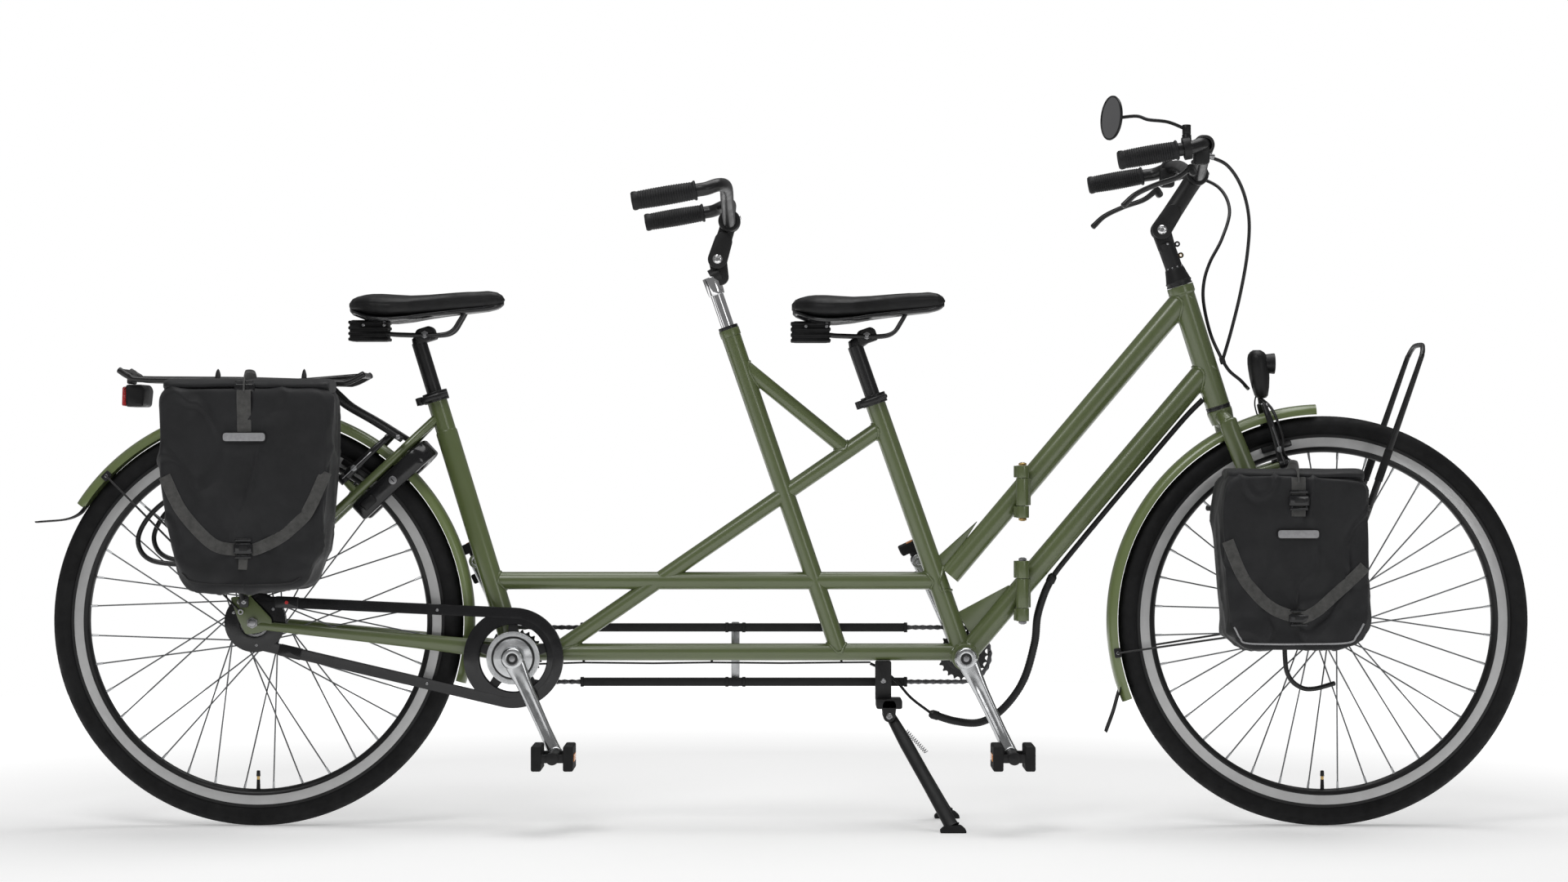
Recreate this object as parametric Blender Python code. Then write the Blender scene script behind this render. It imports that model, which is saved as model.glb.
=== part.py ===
"""Tandem bicycle with a folding main frame, modelled as separate parts on their joint axes.

Frame of the model: +X is the riding direction, +Y the bicycle's left, +Z up, metres.
The origin is on the ground, midway along the length, in the plane of the wheels.
Drive side (chain, chain guard, panniers) is the right side, at negative Y.
"""
import math

import bmesh
import bpy
from mathutils import Matrix, Vector

# ---------------------------------------------------------------- driving dimensions
GAP = 0.0003                    # clearance between pieces that touch
WHEEL_RADIUS = 0.348            # 37-622 tyre
TYRE_WIDTH = 0.037
RIM_OUTER = 0.3165
RIM_INNER = 0.289
RIM_WIDTH = 0.024
WHEEL_SIDES = 40
SPOKES = 36
SPOKE_RADIUS = 0.0010
REAR_AXLE = Vector((-0.890, 0.0, WHEEL_RADIUS))
FRONT_AXLE = Vector((0.919, 0.0, WHEEL_RADIUS))
CRANK_HEIGHT = 0.2875
STOKER_CRANK = Vector((-0.454, 0.0, CRANK_HEIGHT))
CAPTAIN_CRANK = Vector((0.309, 0.0, CRANK_HEIGHT))
CRANK_LENGTH = 0.175
CRANK_ANGLE = math.radians(-65)     # right cranks, below the forward horizontal
STOKER_SEAT_TOP = Vector((-0.590, 0.0, 0.731))
CAPTAIN_SEAT_TOP = Vector((0.155, 0.0, 0.726))
STEM_TUBE_TOP = Vector((-0.091, 0.0, 0.843))
STEM_TUBE_FOOT = Vector((0.096, 0.0, 0.298))
HEAD_TOP = Vector((0.676, 0.0, 0.917))
HEAD_FOOT = Vector((0.741, 0.0, 0.7115))
STEER_UP = (HEAD_TOP - HEAD_FOOT).normalized()
STEER_FRONT = Vector((STEER_UP.z, 0.0, -STEER_UP.x))
HINGE_X = 0.4063
HINGE_Y = -0.0330
UPPER_RAIL = 0.416              # height of the upper horizontal tube
LOWER_RAIL = 0.295
CHAIN_LINE = 0.046
CHAIN_PITCH = 0.0127
CHAINRING_TEETH = 38
SPROCKET_TEETH = 18
SYNC_TEETH = 23
CHAIN_HALF_HEIGHT = 0.0043
CHAIN_HALF_WIDTH = 0.0037
STAY_HALF_SPAN = 0.0685         # rear dropouts, from the middle plane
FORK_HALF_SPAN = 0.055
SEATPOST_RADIUS = 0.0130
SADDLE_SHIFT = Vector((-0.749, 0.0, 0.002))    # from the captain's seat to the stoker's
CAPTAIN_PIVOT = Vector((0.644, 0.0, 1.012))
CAPTAIN_CLAMP = Vector((0.704, 0.0, 1.105))
STOKER_PIVOT = Vector((-0.110, 0.0, 0.962))
STOKER_CLAMP = Vector((-0.090, 0.0, 1.027))
BAR_RADIUS = 0.011
GRIP_RADIUS = 0.0155
GRIP_Y = 0.280
STAND_PIVOT = Vector((0.181, 0.0, 0.188))
STAND_FOOT = Vector((0.283, 0.115, 0.0))
HOOP_PIVOT = Vector((0.919, 0.0, 0.348))
FRONT_BRAKE = Vector((0.847, 0.040, 0.6146))
REAR_BRAKE = Vector((-0.742, 0.042, 0.590))
STAY_DIRECTION = Vector((0.7295, 0.0, 0.684))
STAY_NORMAL = Vector((-0.684, 0.0, 0.7295))
FENDER_HALF_WIDTH = 0.021
FENDER_TOP = 0.368
FENDER_EDGE = 0.3515
FENDER_SKIN = 0.0016

GREEN = (0.122, 0.157, 0.062)
BLACK = (0.012, 0.012, 0.013)
RUBBER = (0.020, 0.020, 0.021)
SILVER = (0.62, 0.63, 0.64)
FABRIC = (0.024, 0.024, 0.026)
PAINT = (GREEN, 0.42, 0.0)
PLASTIC = (BLACK, 0.45, 0.0)
SOFT_RUBBER = (RUBBER, 0.75, 0.0)
POLISHED = (SILVER, 0.22, 1.0)
STEEL = ((0.45, 0.46, 0.47), 0.35, 1.0)
CLOTH = (FABRIC, 0.80, 0.0)
BLACK_METAL = (BLACK, 0.35, 0.3)

Y_AXIS = Vector((0.0, 1.0, 0.0))


# ---------------------------------------------------------------- solids
def skin(rings, loop=False):
    """Closed mesh through rings of points. A ring of one point closes an end; loop joins last to first."""
    bm = bmesh.new()
    rows = [[bm.verts.new(point) for point in ring] for ring in rings]
    pairs = list(zip(rows, rows[1:]))
    if loop:
        pairs.append((rows[-1], rows[0]))
    for low, high in pairs:
        count = max(len(low), len(high))
        for i in range(count):
            j = (i + 1) % count
            if len(low) == 1:
                bm.faces.new((low[0], high[j], high[i]))
            elif len(high) == 1:
                bm.faces.new((low[i], low[j], high[0]))
            else:
                bm.faces.new((low[i], low[j], high[j], high[i]))
    if not loop:
        for row in (rows[0], rows[-1]):
            if len(row) > 2:
                bm.faces.new(row)
    bmesh.ops.recalc_face_normals(bm, faces=bm.faces)
    mesh = bpy.data.meshes.new("solid")
    bm.to_mesh(mesh)
    bm.free()
    ob = bpy.data.objects.new("solid", mesh)
    bpy.context.scene.collection.objects.link(ob)
    return ob


def across(direction):
    """Two unit vectors square to a direction, the first one as near to +Y as it can be."""
    direction = direction.normalized()
    side = Y_AXIS - direction * direction.dot(Y_AXIS)
    if side.length < 0.1:
        side = Vector((0.0, 0.0, 1.0)) - direction * direction.z
    side.normalize()
    return side, direction.cross(side)


def circle(centre, direction, radius, sides, wide=None, phase=0.0):
    """Ring of points round a centre, square to a direction; wide is its half width towards Y."""
    side, rise = across(direction)
    wide = radius if wide is None else wide
    ring = []
    for i in range(sides):
        angle = phase + 2 * math.pi * i / sides
        ring.append(centre + side * (wide * math.cos(angle)) + rise * (radius * math.sin(angle)))
    return ring


def tube(start, end, radius, end_radius=None, sides=10):
    """Straight round bar from start to end."""
    start, end = Vector(start), Vector(end)
    end_radius = radius if end_radius is None else end_radius
    return skin([circle(start, end - start, radius, sides), circle(end, end - start, end_radius, sides)])


def sweep(points, radii, sides=8, wides=None):
    """Bent bar through points; radii and half widths towards Y may change along it."""
    points = [Vector(p) for p in points]
    radii = radii if isinstance(radii, (list, tuple)) else [radii] * len(points)
    wides = radii if wides is None else wides
    rings = []
    side_before = None
    for i, point in enumerate(points):
        ahead = points[min(i + 1, len(points) - 1)] - point
        behind = point - points[max(i - 1, 0)]
        tangent = (ahead.normalized() + behind.normalized()).normalized()
        if side_before is None:
            side_before = across(tangent)[0]
        side = (side_before - tangent * tangent.dot(side_before)).normalized()
        rise = tangent.cross(side)
        side_before = side
        ring = []
        for k in range(sides):
            angle = 2 * math.pi * k / sides
            ring.append(point + side * (wides[i] * math.cos(angle)) + rise * (radii[i] * math.sin(angle)))
        rings.append(ring)
    return skin(rings)


def smooth_path(points, steps):
    """Points on a Catmull-Rom curve through the given ones, with some steps to each span."""
    points = [Vector(p) for p in points]
    ends = [points[0] * 2 - points[1]] + points + [points[-1] * 2 - points[-2]]
    path = []
    for i in range(1, len(ends) - 2):
        a, b, c, d = ends[i - 1:i + 3]
        for k in range(steps):
            t = k / steps
            path.append(0.5 * (2 * b + (c - a) * t + (2 * a - 5 * b + 4 * c - d) * t ** 2
                               + (3 * b - a - 3 * c + d) * t ** 3))
    path.append(points[-1])
    return path


def turned(profile, centre, direction, sides, closed=True, phase=0.0):
    """Solid of revolution. The profile gives (radius, height along direction); closed makes a ring."""
    centre, direction = Vector(centre), Vector(direction).normalized()
    rings = []
    for radius, height in profile:
        middle = centre + direction * height
        if radius == 0.0:
            rings.append([middle])
        else:
            rings.append(circle(middle, direction, radius, sides, phase=phase))
    return skin(rings, loop=closed)


def collar(centre, direction, inner, outer, half, sides=16):
    """Plain ring of rectangular section."""
    return turned([(inner, -half), (outer, -half), (outer, half), (inner, half)], centre, direction, sides)


def disc(centre, direction, radius, half, sides=12):
    """Flat round disc or pin."""
    centre, direction = Vector(centre), Vector(direction).normalized()
    return tube(centre - direction * half, centre + direction * half, radius, sides=sides)


def plate(outline, y_low, y_high):
    """Outline of (x, z) points given thickness along Y."""
    return skin([[Vector((x, y, z)) for x, z in outline] for y in (y_low, y_high)])


def arc(x, z, radius, start, end, steps):
    """Points (x, z) on an arc, angles in degrees from +X towards +Z."""
    turn = [math.radians(start + (end - start) * i / steps) for i in range(steps + 1)]
    return [(x + radius * math.cos(a), z + radius * math.sin(a)) for a in turn]


def link(start, end, start_radius, end_radius, y_low, y_high, steps=5):
    """Flat link in an XZ plane: two round ends joined by straight flanks."""
    (x0, z0), (x1, z1) = start, end
    heading = math.degrees(math.atan2(z1 - z0, x1 - x0))
    span = math.hypot(x1 - x0, z1 - z0)
    lean = math.degrees(math.asin((start_radius - end_radius) / span))
    far = arc(x1, z1, end_radius, heading - 90 + lean, heading + 90 - lean, steps)
    near = arc(x0, z0, start_radius, heading + 90 - lean, heading + 270 + lean, steps)
    return plate(far + near, y_low, y_high)


def block(centre, size, matrix=None):
    """Rectangular block, turned by a matrix about its centre."""
    x, y, z = (s / 2 for s in size)
    turn = matrix if matrix is not None else Matrix.Identity(3)
    rings = []
    for sz in (-z, z):
        corners = [(-x, -y, sz), (x, -y, sz), (x, y, sz), (-x, y, sz)]
        rings.append([Vector(centre) + turn @ Vector(c) for c in corners])
    return skin(rings)


def basis(x_direction, y_direction=Y_AXIS):
    """Rotation matrix whose first column is x_direction and second column y_direction."""
    x = Vector(x_direction).normalized()
    y = Vector(y_direction).normalized()
    return Matrix((x, y, x.cross(y))).transposed()


def mirrored(points):
    """The same points on the other side of the middle plane."""
    return [Vector((p[0], -p[1], p[2])) for p in points]


# ---------------------------------------------------------------- assembly helpers
def combine(first, others, operation):
    """Apply one Boolean of a set of solids to the first one, and remove them."""
    if not others:
        return
    group = bpy.data.collections.new("operands")
    for ob in others:
        group.objects.link(ob)
    step = first.modifiers.new("combine", "BOOLEAN")
    step.operation = operation
    step.operand_type = "COLLECTION"
    step.collection = group
    step.solver = "EXACT"
    bpy.context.view_layer.update()
    shape = first.evaluated_get(bpy.context.evaluated_depsgraph_get())
    mesh = bpy.data.meshes.new_from_object(shape)
    first.modifiers.clear()
    first.data = mesh
    for ob in others:
        bpy.data.objects.remove(ob, do_unlink=True)
    bpy.data.collections.remove(group)


def finish(name, looks, solids, cuts=(), body=None):
    """Name one part: its solids united, cutters taken off, coloured, and set on its body's axis."""
    solids = list(solids)
    part = solids[0]
    combine(part, solids[1:], "UNION")
    combine(part, list(cuts), "DIFFERENCE")
    colour, roughness, metallic = looks
    material = bpy.data.materials.new(name)
    material.use_nodes = True
    shader = material.node_tree.nodes["Principled BSDF"]
    shader.inputs["Base Color"].default_value = (*colour, 1.0)
    shader.inputs["Roughness"].default_value = roughness
    shader.inputs["Metallic"].default_value = metallic
    part.data.materials.clear()
    part.data.materials.append(material)
    part.name = name
    part.data.name = name
    part.data.shade_smooth()
    part.data.set_sharp_from_angle(angle=math.radians(38))
    if body is not None:
        part.data.transform(Matrix.Translation(-body.location))
        part.parent = body
    return part


def axis_empty(name, pivot):
    """Empty on a joint's axis, to carry the parts that move about it."""
    empty = bpy.data.objects.new(name, None)
    empty.location = pivot
    bpy.context.scene.collection.objects.link(empty)
    return empty


# ---------------------------------------------------------------- chain paths
def pitch_radius(teeth):
    return CHAIN_PITCH / (2 * math.sin(math.pi / teeth))


def belt_outline(front, front_radius, rear, rear_radius, steps=14):
    """Outline of a chain's run round two wheels in the XZ plane."""
    span = (front - rear).length
    tilt = math.degrees(math.atan2(front.z - rear.z, front.x - rear.x))
    lean = math.degrees(math.asin((front_radius - rear_radius) / span))
    nose = arc(front.x, front.z, front_radius, tilt - 90 - lean, tilt + 90 + lean, steps)
    tail = arc(rear.x, rear.z, rear_radius, tilt + 90 + lean, tilt + 270 - lean, steps)
    return nose + tail


def belt_ring(front, front_radius, rear, rear_radius, low, high, y_low, y_high, steps=14):
    """Band that follows the chain's run, from low to high off the pitch line."""
    outer = belt_outline(front, front_radius + high, rear, rear_radius + high, steps)
    inner = belt_outline(front, front_radius + low, rear, rear_radius + low, steps)
    rings = []
    for outline, y in ((outer, y_low), (outer, y_high), (inner, y_high), (inner, y_low)):
        rings.append([Vector((x, y, z)) for x, z in outline])
    return skin(rings, loop=True)


# ---------------------------------------------------------------- wheels
def wheel(label, axle, body, hub_radius, flange_radius, flange_y, shell, axle_radius):
    """Tyre, rim, and a hub with its laced spokes."""
    flat = 1 / math.cos(math.pi / WHEEL_SIDES)
    half_turn = math.pi / WHEEL_SIDES
    middle = WHEEL_RADIUS - TYRE_WIDTH / 2
    section = []
    for i in range(7):
        angle = math.radians(-48 + 276 * i / 6)
        section.append(((middle + TYRE_WIDTH / 2 * math.sin(angle)) * flat, TYRE_WIDTH / 2 * math.cos(angle)))
    seat = RIM_OUTER + GAP
    section = [(max(radius, seat * flat), y) for radius, y in section]
    tyre = turned(section, axle, Y_AXIS, WHEEL_SIDES, phase=half_turn)
    finish(label + "_tyre", SOFT_RUBBER, [tyre], body=body)

    track = RIM_WIDTH / 2
    section = [(RIM_OUTER, track), (0.298, track), (RIM_INNER, 0.007), (RIM_INNER, -0.007),
               (0.298, -track), (RIM_OUTER, -track)]
    rim = turned(section, axle, Y_AXIS, WHEEL_SIDES, phase=half_turn)
    finish(label + "_rim", STEEL, [rim], body=body)

    hub = turned([(axle_radius, -shell), (hub_radius, -shell), (hub_radius, shell), (axle_radius, shell)],
                 axle, Y_AXIS, 12)
    flanges = [collar(axle + Y_AXIS * side * flange_y, Y_AXIS, axle_radius, flange_radius, 0.0033, 12)
               for side in (-1, 1)]
    spokes = []
    for i in range(SPOKES):
        side = -1 if i % 2 else 1
        lean = math.radians(58) * (1 if (i // 2) % 2 else -1)
        rim_angle = 2 * math.pi * i / SPOKES + math.pi / SPOKES
        hub_angle = rim_angle + lean
        layer = 0.0017 if lean > 0 else -0.0017
        root = axle + Vector((0.0, side * flange_y + layer, 0.0))
        root += Vector((math.cos(hub_angle), 0.0, math.sin(hub_angle))) * (flange_radius - 0.003)
        reach = RIM_INNER * math.cos(half_turn) - 2 * GAP
        tip = axle + Vector((math.cos(rim_angle), 0.0, math.sin(rim_angle))) * reach
        tip.y = side * 0.002 + layer / 2
        spokes.append(tube(root, tip, SPOKE_RADIUS, sides=3))
    return [hub] + flanges + spokes


def front_wheel(body):
    solids = wheel("front", FRONT_AXLE, body, 0.015, 0.024, 0.031, 0.046, 0.004)
    solids.append(disc(FRONT_AXLE, Y_AXIS, 0.0050, 0.0850, 12))
    for side in (-1, 1):
        solids.append(disc(FRONT_AXLE + Y_AXIS * side * 0.0837, Y_AXIS, 0.0085, 0.0027, 6))
    finish("front_hub", STEEL, solids, body=body)


def rear_wheel(body):
    solids = wheel("rear", REAR_AXLE, body, 0.030, 0.043, 0.027, 0.032, 0.0053)
    finish("rear_hub", STEEL, solids, body=body)


def rear_axle():
    solids = [disc(REAR_AXLE, Y_AXIS, 0.0050, 0.0790, 12)]
    for side in (-1, 1):
        solids.append(disc(REAR_AXLE + Y_AXIS * side * 0.0750, Y_AXIS, 0.0095, 0.0035, 6))
    finish("rear_axle", POLISHED, solids)


def rear_sprocket(body):
    centre = REAR_AXLE - Y_AXIS * CHAIN_LINE
    ring = pitch_radius(SPROCKET_TEETH) * 0.991 - CHAIN_HALF_HEIGHT - GAP
    teeth = collar(centre, Y_AXIS, 0.0053, ring, 0.0012, 24)
    carrier = collar(REAR_AXLE - Y_AXIS * 0.0420, Y_AXIS, 0.0053, 0.021, 0.0090, 12)
    finish("rear_sprocket", STEEL, [teeth, carrier], body=body)


# ---------------------------------------------------------------- rear half of the frame
def along_stay(distance, y=0.0, rise=0.0):
    """Point beside the seat stays: distance up the stay from the rear brake, and rise above it."""
    foot = REAR_BRAKE - STAY_NORMAL * 0.033
    point = foot + STAY_DIRECTION * distance + STAY_NORMAL * rise
    return Vector((point.x, y, point.z))


def hinge_knuckles(solids, low, high, centre_x, web_side):
    """Barrel round a hinge pin between two heights, and its web to a flange on one side."""
    middle = (low + high) / 2
    solids.append(tube((HINGE_X, HINGE_Y, low), (HINGE_X, HINGE_Y, high), 0.011))
    web_x = centre_x + web_side * 0.0087
    solids.append(block((web_x, HINGE_Y + 0.009, middle), (0.0160, 0.018, high - low)))


def hinge_flange(centre_x, height):
    """Oval plate that closes a frame tube at the fold."""
    centre = Vector((centre_x, 0.0, height))
    ring = [circle(centre + Vector((dx, 0, 0)), Vector((1, 0, 0)), 0.035, 12, wide=0.0212)
            for dx in (-0.0022, 0.0022)]
    return skin(ring)


UPPER_FOLD = 0.5695
LOWER_FOLD = 0.4045
UPPER_KNUCKLES = (0.5235, 0.5440, 0.5910, 0.6120)
LOWER_KNUCKLES = (0.3490, 0.3710, 0.4210, 0.4510)


def fold_stubs(sign):
    """Tube ends, flanges and barrels on one side of the fold: sign -1 is the rear half, +1 the front."""
    upper_dir = Vector((0.658 - 0.403, 0, 0.869 - 0.567)).normalized()
    lower_dir = Vector((0.725 - 0.407, 0, 0.781 - 0.405)).normalized()
    upper = Vector((HINGE_X, 0, UPPER_FOLD))
    lower = Vector((HINGE_X, 0, LOWER_FOLD))
    if sign < 0:
        tubes = [tube(upper + upper_dir * 0.03, (0.2845, 0, 0.4253), 0.0185),
                 tube(lower + lower_dir * 0.03, CAPTAIN_CRANK, 0.0185)]
    else:
        tubes = [tube(upper - upper_dir * 0.03, (0.688, 0, 0.9030), 0.0195),
                 tube(lower - lower_dir * 0.03, (0.727, 0, 0.7840), 0.0190)]
    keep_off = block((HINGE_X - sign * 0.05, 0, 0.49), (0.10 + 2 * GAP, 0.08, 0.42))
    combine(tubes[0], [tubes[1]], "UNION")
    combine(tubes[0], [keep_off], "DIFFERENCE")
    face = HINGE_X + sign * 0.0025
    solids = [tubes[0], hinge_flange(face, UPPER_FOLD), hinge_flange(face, LOWER_FOLD)]
    for knuckles in (UPPER_KNUCKLES, LOWER_KNUCKLES):
        if sign < 0:
            hinge_knuckles(solids, knuckles[0], knuckles[1] - GAP, HINGE_X, -1)
            hinge_knuckles(solids, knuckles[2] + GAP, knuckles[3], HINGE_X, -1)
        else:
            hinge_knuckles(solids, knuckles[1] + GAP, knuckles[2] - GAP, HINGE_X, 1)
    bores = [tube((HINGE_X, HINGE_Y, 0.33), (HINGE_X, HINGE_Y, 0.63), 0.0045, sides=12)]
    return solids, bores


def rear_frame():
    seat_up_stoker = (STOKER_SEAT_TOP - STOKER_CRANK).normalized()
    seat_up_captain = (CAPTAIN_SEAT_TOP - CAPTAIN_CRANK).normalized()
    stem_up = (STEM_TUBE_TOP - STEM_TUBE_FOOT).normalized()
    solids, bores = fold_stubs(-1)
    step = STOKER_SEAT_TOP - seat_up_stoker * 0.062
    solids += [
        tube(STOKER_SEAT_TOP, step - seat_up_stoker * 0.02, 0.0170, sides=12),
        tube(step, STOKER_CRANK, 0.0183, sides=12),
        tube(CAPTAIN_SEAT_TOP, CAPTAIN_CRANK, 0.0170, sides=12),
        tube(STEM_TUBE_TOP, STEM_TUBE_FOOT, 0.0165, 0.0150, sides=12),
        tube((-0.490, 0, UPPER_RAIL), (0.262, 0, UPPER_RAIL), 0.0150),
        tube(STOKER_CRANK + Vector((0, 0, 0.0073)), CAPTAIN_CRANK + Vector((0, 0, 0.0073)), 0.0145),
        tube((0.168, 0, 0.6765), (-0.390, 0, 0.2930), 0.0135),
        tube((-0.068, 0, 0.7830), (0.112, 0, 0.6360), 0.0125),
        plate([(-0.075, 0.792), (-0.046, 0.737), (-0.036, 0.757)], -0.004, 0.004),
        plate([(0.262, 0.455), (0.333, 0.519), (0.275, 0.428)], -0.003, 0.003),
        plate([(0.296, 0.361), (0.388, 0.410), (0.325, 0.318)], -0.003, 0.003),
    ]
    for crank in (STOKER_CRANK, CAPTAIN_CRANK):
        solids.append(disc(crank, Y_AXIS, 0.0225, 0.034, 16))
    for side in (-1, 1):
        stay = [(-0.592, side * 0.010, 0.688), (-0.655, side * 0.036, 0.626),
                (-0.718, side * 0.043, 0.567), (-0.912, side * STAY_HALF_SPAN, 0.383)]
        solids.append(sweep(stay, [0.0075, 0.0075, 0.0075, 0.0065], sides=6))
        chain_stay = [(-0.462, side * 0.0265, 0.296), (-0.520, side * 0.0300, 0.304),
                      (-0.600, side * 0.0345, 0.3135), (-0.856, side * 0.0660, 0.3410),
                      (-0.884, side * STAY_HALF_SPAN, 0.3435)]
        solids.append(sweep(chain_stay, [0.0165, 0.0150, 0.0130, 0.0075, 0.0065],
                            wides=[0.0080, 0.0075, 0.0075, 0.0060, 0.0020]))
        dropout = [(-0.928, 0.391), (-0.904, 0.392), (-0.872, 0.352), (-0.884, 0.334),
                   (-0.902, 0.328), (-0.914, 0.352)]
        solids.append(plate(dropout, side * STAY_HALF_SPAN - 0.0025, side * STAY_HALF_SPAN + 0.0025))
        boss = Vector((REAR_BRAKE.x, side * REAR_BRAKE.y, REAR_BRAKE.z))
        solids.append(tube(boss - STAY_NORMAL * 0.036, boss - STAY_NORMAL * 0.0082, 0.0065, sides=8))
    solids.append(tube((-0.640, -0.031, 0.641), (-0.640, 0.031, 0.641), 0.0055, sides=8))
    cuts = bores + [
        tube(STOKER_SEAT_TOP + seat_up_stoker * 0.02, STOKER_SEAT_TOP - seat_up_stoker * 0.20,
             SEATPOST_RADIUS + 2 * GAP),
        tube(CAPTAIN_SEAT_TOP + seat_up_captain * 0.02, CAPTAIN_SEAT_TOP - seat_up_captain * 0.20,
             SEATPOST_RADIUS + 2 * GAP),
        tube(STEM_TUBE_TOP + stem_up * 0.02, STEM_TUBE_TOP - stem_up * 0.20, 0.0116),
        disc(REAR_AXLE, Y_AXIS, 0.0055, 0.09, 12),
        disc(STOKER_CRANK, Y_AXIS, 0.0152, 0.05, 16),
        disc(CAPTAIN_CRANK, Y_AXIS, 0.0152, 0.05, 16),
    ]
    finish("rear_frame", PAINT, solids, cuts)


def hinge_pins():
    for label, knuckles in (("upper", UPPER_KNUCKLES), ("lower", LOWER_KNUCKLES)):
        foot = Vector((HINGE_X, HINGE_Y, knuckles[0]))
        head = Vector((HINGE_X, HINGE_Y, knuckles[3]))
        solids = [tube(foot - Vector((0, 0, 0.004)), head + Vector((0, 0, 0.004)), 0.0041, sides=12),
                  tube(head + Vector((0, 0, GAP)), head + Vector((0, 0, 0.0048)), 0.0075, sides=6),
                  tube(foot - Vector((0, 0, 0.0048)), foot - Vector((0, 0, GAP)), 0.0075, sides=6)]
        finish("hinge_pin_" + label, POLISHED, solids)


def fender_blade(axle, start, end, steps):
    """Arched mudguard blade round a wheel, angles in degrees from +X."""
    rings = []
    for i in range(steps + 1):
        turn = math.radians(start + (end - start) * i / steps)
        out = Vector((math.cos(turn), 0.0, math.sin(turn)))
        ring = []
        for skin_in, order in ((0.0, range(5)), (FENDER_SKIN, range(4, -1, -1))):
            for k in order:
                angle = math.pi * k / 4
                y = (FENDER_HALF_WIDTH - skin_in) * math.cos(angle)
                rise = (FENDER_TOP - FENDER_EDGE - skin_in) * math.sin(angle)
                ring.append(axle + out * (FENDER_EDGE + rise) + Y_AXIS * y)
        rings.append(ring)
    return skin(rings)


def fender_stays(axle, angle, end_y):
    """Wires from the blade's edges to beside the axle."""
    out = Vector((math.cos(math.radians(angle)), 0.0, math.sin(math.radians(angle))))
    wires = []
    for side in (-1, 1):
        path = [axle + out * 0.3560 + Y_AXIS * side * 0.0200, axle + out * 0.3450 + Y_AXIS * side * 0.0265,
                axle + out * 0.0300 + Y_AXIS * side * end_y]
        wires.append(sweep(path, 0.0018, sides=4))
    return wires


def flap(points, width):
    """Flexible flap: a strip with one short fold, given by the points of its middle line in XZ."""
    half = 0.0011
    outline = [(x, z) for x, z in points] + [(x + half, z + 2 * half) for x, z in reversed(points)]
    return plate(outline, -width / 2, width / 2)


def rear_fender():
    solids = [fender_blade(REAR_AXLE, -16.8, 147.0, 22)]
    solids.append(flap([(-1.1870, 0.5390), (-1.2050, 0.5220), (-1.2680, 0.5160)], 0.038))
    solids += fender_stays(REAR_AXLE, 136.0, 0.0772)
    finish("rear_fender", PAINT, solids)


def front_fender(body):
    solids = [fender_blade(FRONT_AXLE, 92.0, 202.0, 15)]
    solids.append(flap([(0.5735, 0.2330), (0.5640, 0.2000), (0.5490, 0.1580)], 0.038))
    solids += fender_stays(FRONT_AXLE, 188.7, 0.0635)
    finish("front_fender", PAINT, solids, body=body)


def rear_rack():
    """Carrier over the rear wheel: two rails, cross bars, legs to the dropouts, and struts to the stays."""
    solids = []
    rail = [(-1.118, 0.773), (-1.085, 0.758), (-0.900, 0.756), (-0.760, 0.752), (-0.733, 0.753), (-0.706, 0.766)]
    for side in (-1, 1):
        y = side * 0.052
        outer = side * 0.0745
        leg = [(-0.985, y, 0.756), (-0.975, side * 0.070, 0.700), (-0.905, side * 0.080, 0.386)]
        strut = [(-0.780, y, 0.753), (-0.735, y, 0.712), (-0.690, y, 0.686), (-0.642, y, 0.656)]
        hook = [(-0.944, outer, 0.560), (-1.020, outer, 0.560), (-1.065, outer, 0.525), (-1.082, outer, 0.488),
                (-1.068, outer, 0.458), (-1.025, outer, 0.447), (-0.918, side * 0.078, 0.444)]
        solids.append(sweep([(x, y, z) for x, z in rail], 0.0055, sides=6))
        solids.append(sweep(leg, 0.0050, sides=6))
        solids.append(sweep(strut, 0.0050, sides=6))
        solids.append(sweep(hook, 0.0042, sides=6))
    for x, z in ((-1.112, 0.7700), (-1.020, 0.7565), (-0.840, 0.7545), (-0.709, 0.7645)):
        solids.append(tube((x, -0.052, z), (x, 0.052, z), 0.0050, sides=6))
    solids.append(block((-1.1060, 0.0, 0.7600), (0.010, 0.050, 0.020)))
    finish("rear_rack", BLACK_METAL, solids)


def tail_light():
    solids = [block((-1.0930, 0.0, 0.7300), (0.034, 0.084, 0.038))]
    solids.append(block((-1.1125, 0.0, 0.7290), (0.008, 0.078, 0.034)))
    finish("tail_light", PLASTIC, solids)


def bag(outline, inner_y, outer_y):
    """Roll-top bag: an outline in XZ, slightly tucked in on both faces."""
    middle_x = sum(x for x, z in outline) / len(outline)
    middle_z = sum(z for x, z in outline) / len(outline)
    rings = []
    depth = outer_y - inner_y
    for part, scale in ((0.0, 0.955), (0.07, 1.0), (0.80, 1.0), (1.0, 0.93)):
        rings.append([Vector((middle_x + (x - middle_x) * scale, inner_y + depth * part,
                              middle_z + (z - middle_z) * scale)) for x, z in outline])
    return skin(rings)


def rear_pannier():
    outline = [(-1.0180, 0.7500), (-0.8810, 0.7540), (-0.7370, 0.7520), (-0.7380, 0.6030),
               (-0.7510, 0.4825), (-0.7745, 0.4140), (-0.8540, 0.4065), (-0.9635, 0.4065),
               (-0.9865, 0.4330), (-1.0070, 0.5040), (-1.0205, 0.6030)]
    finish("rear_pannier", CLOTH, [bag(outline, -0.0890, -0.2550)])


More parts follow.
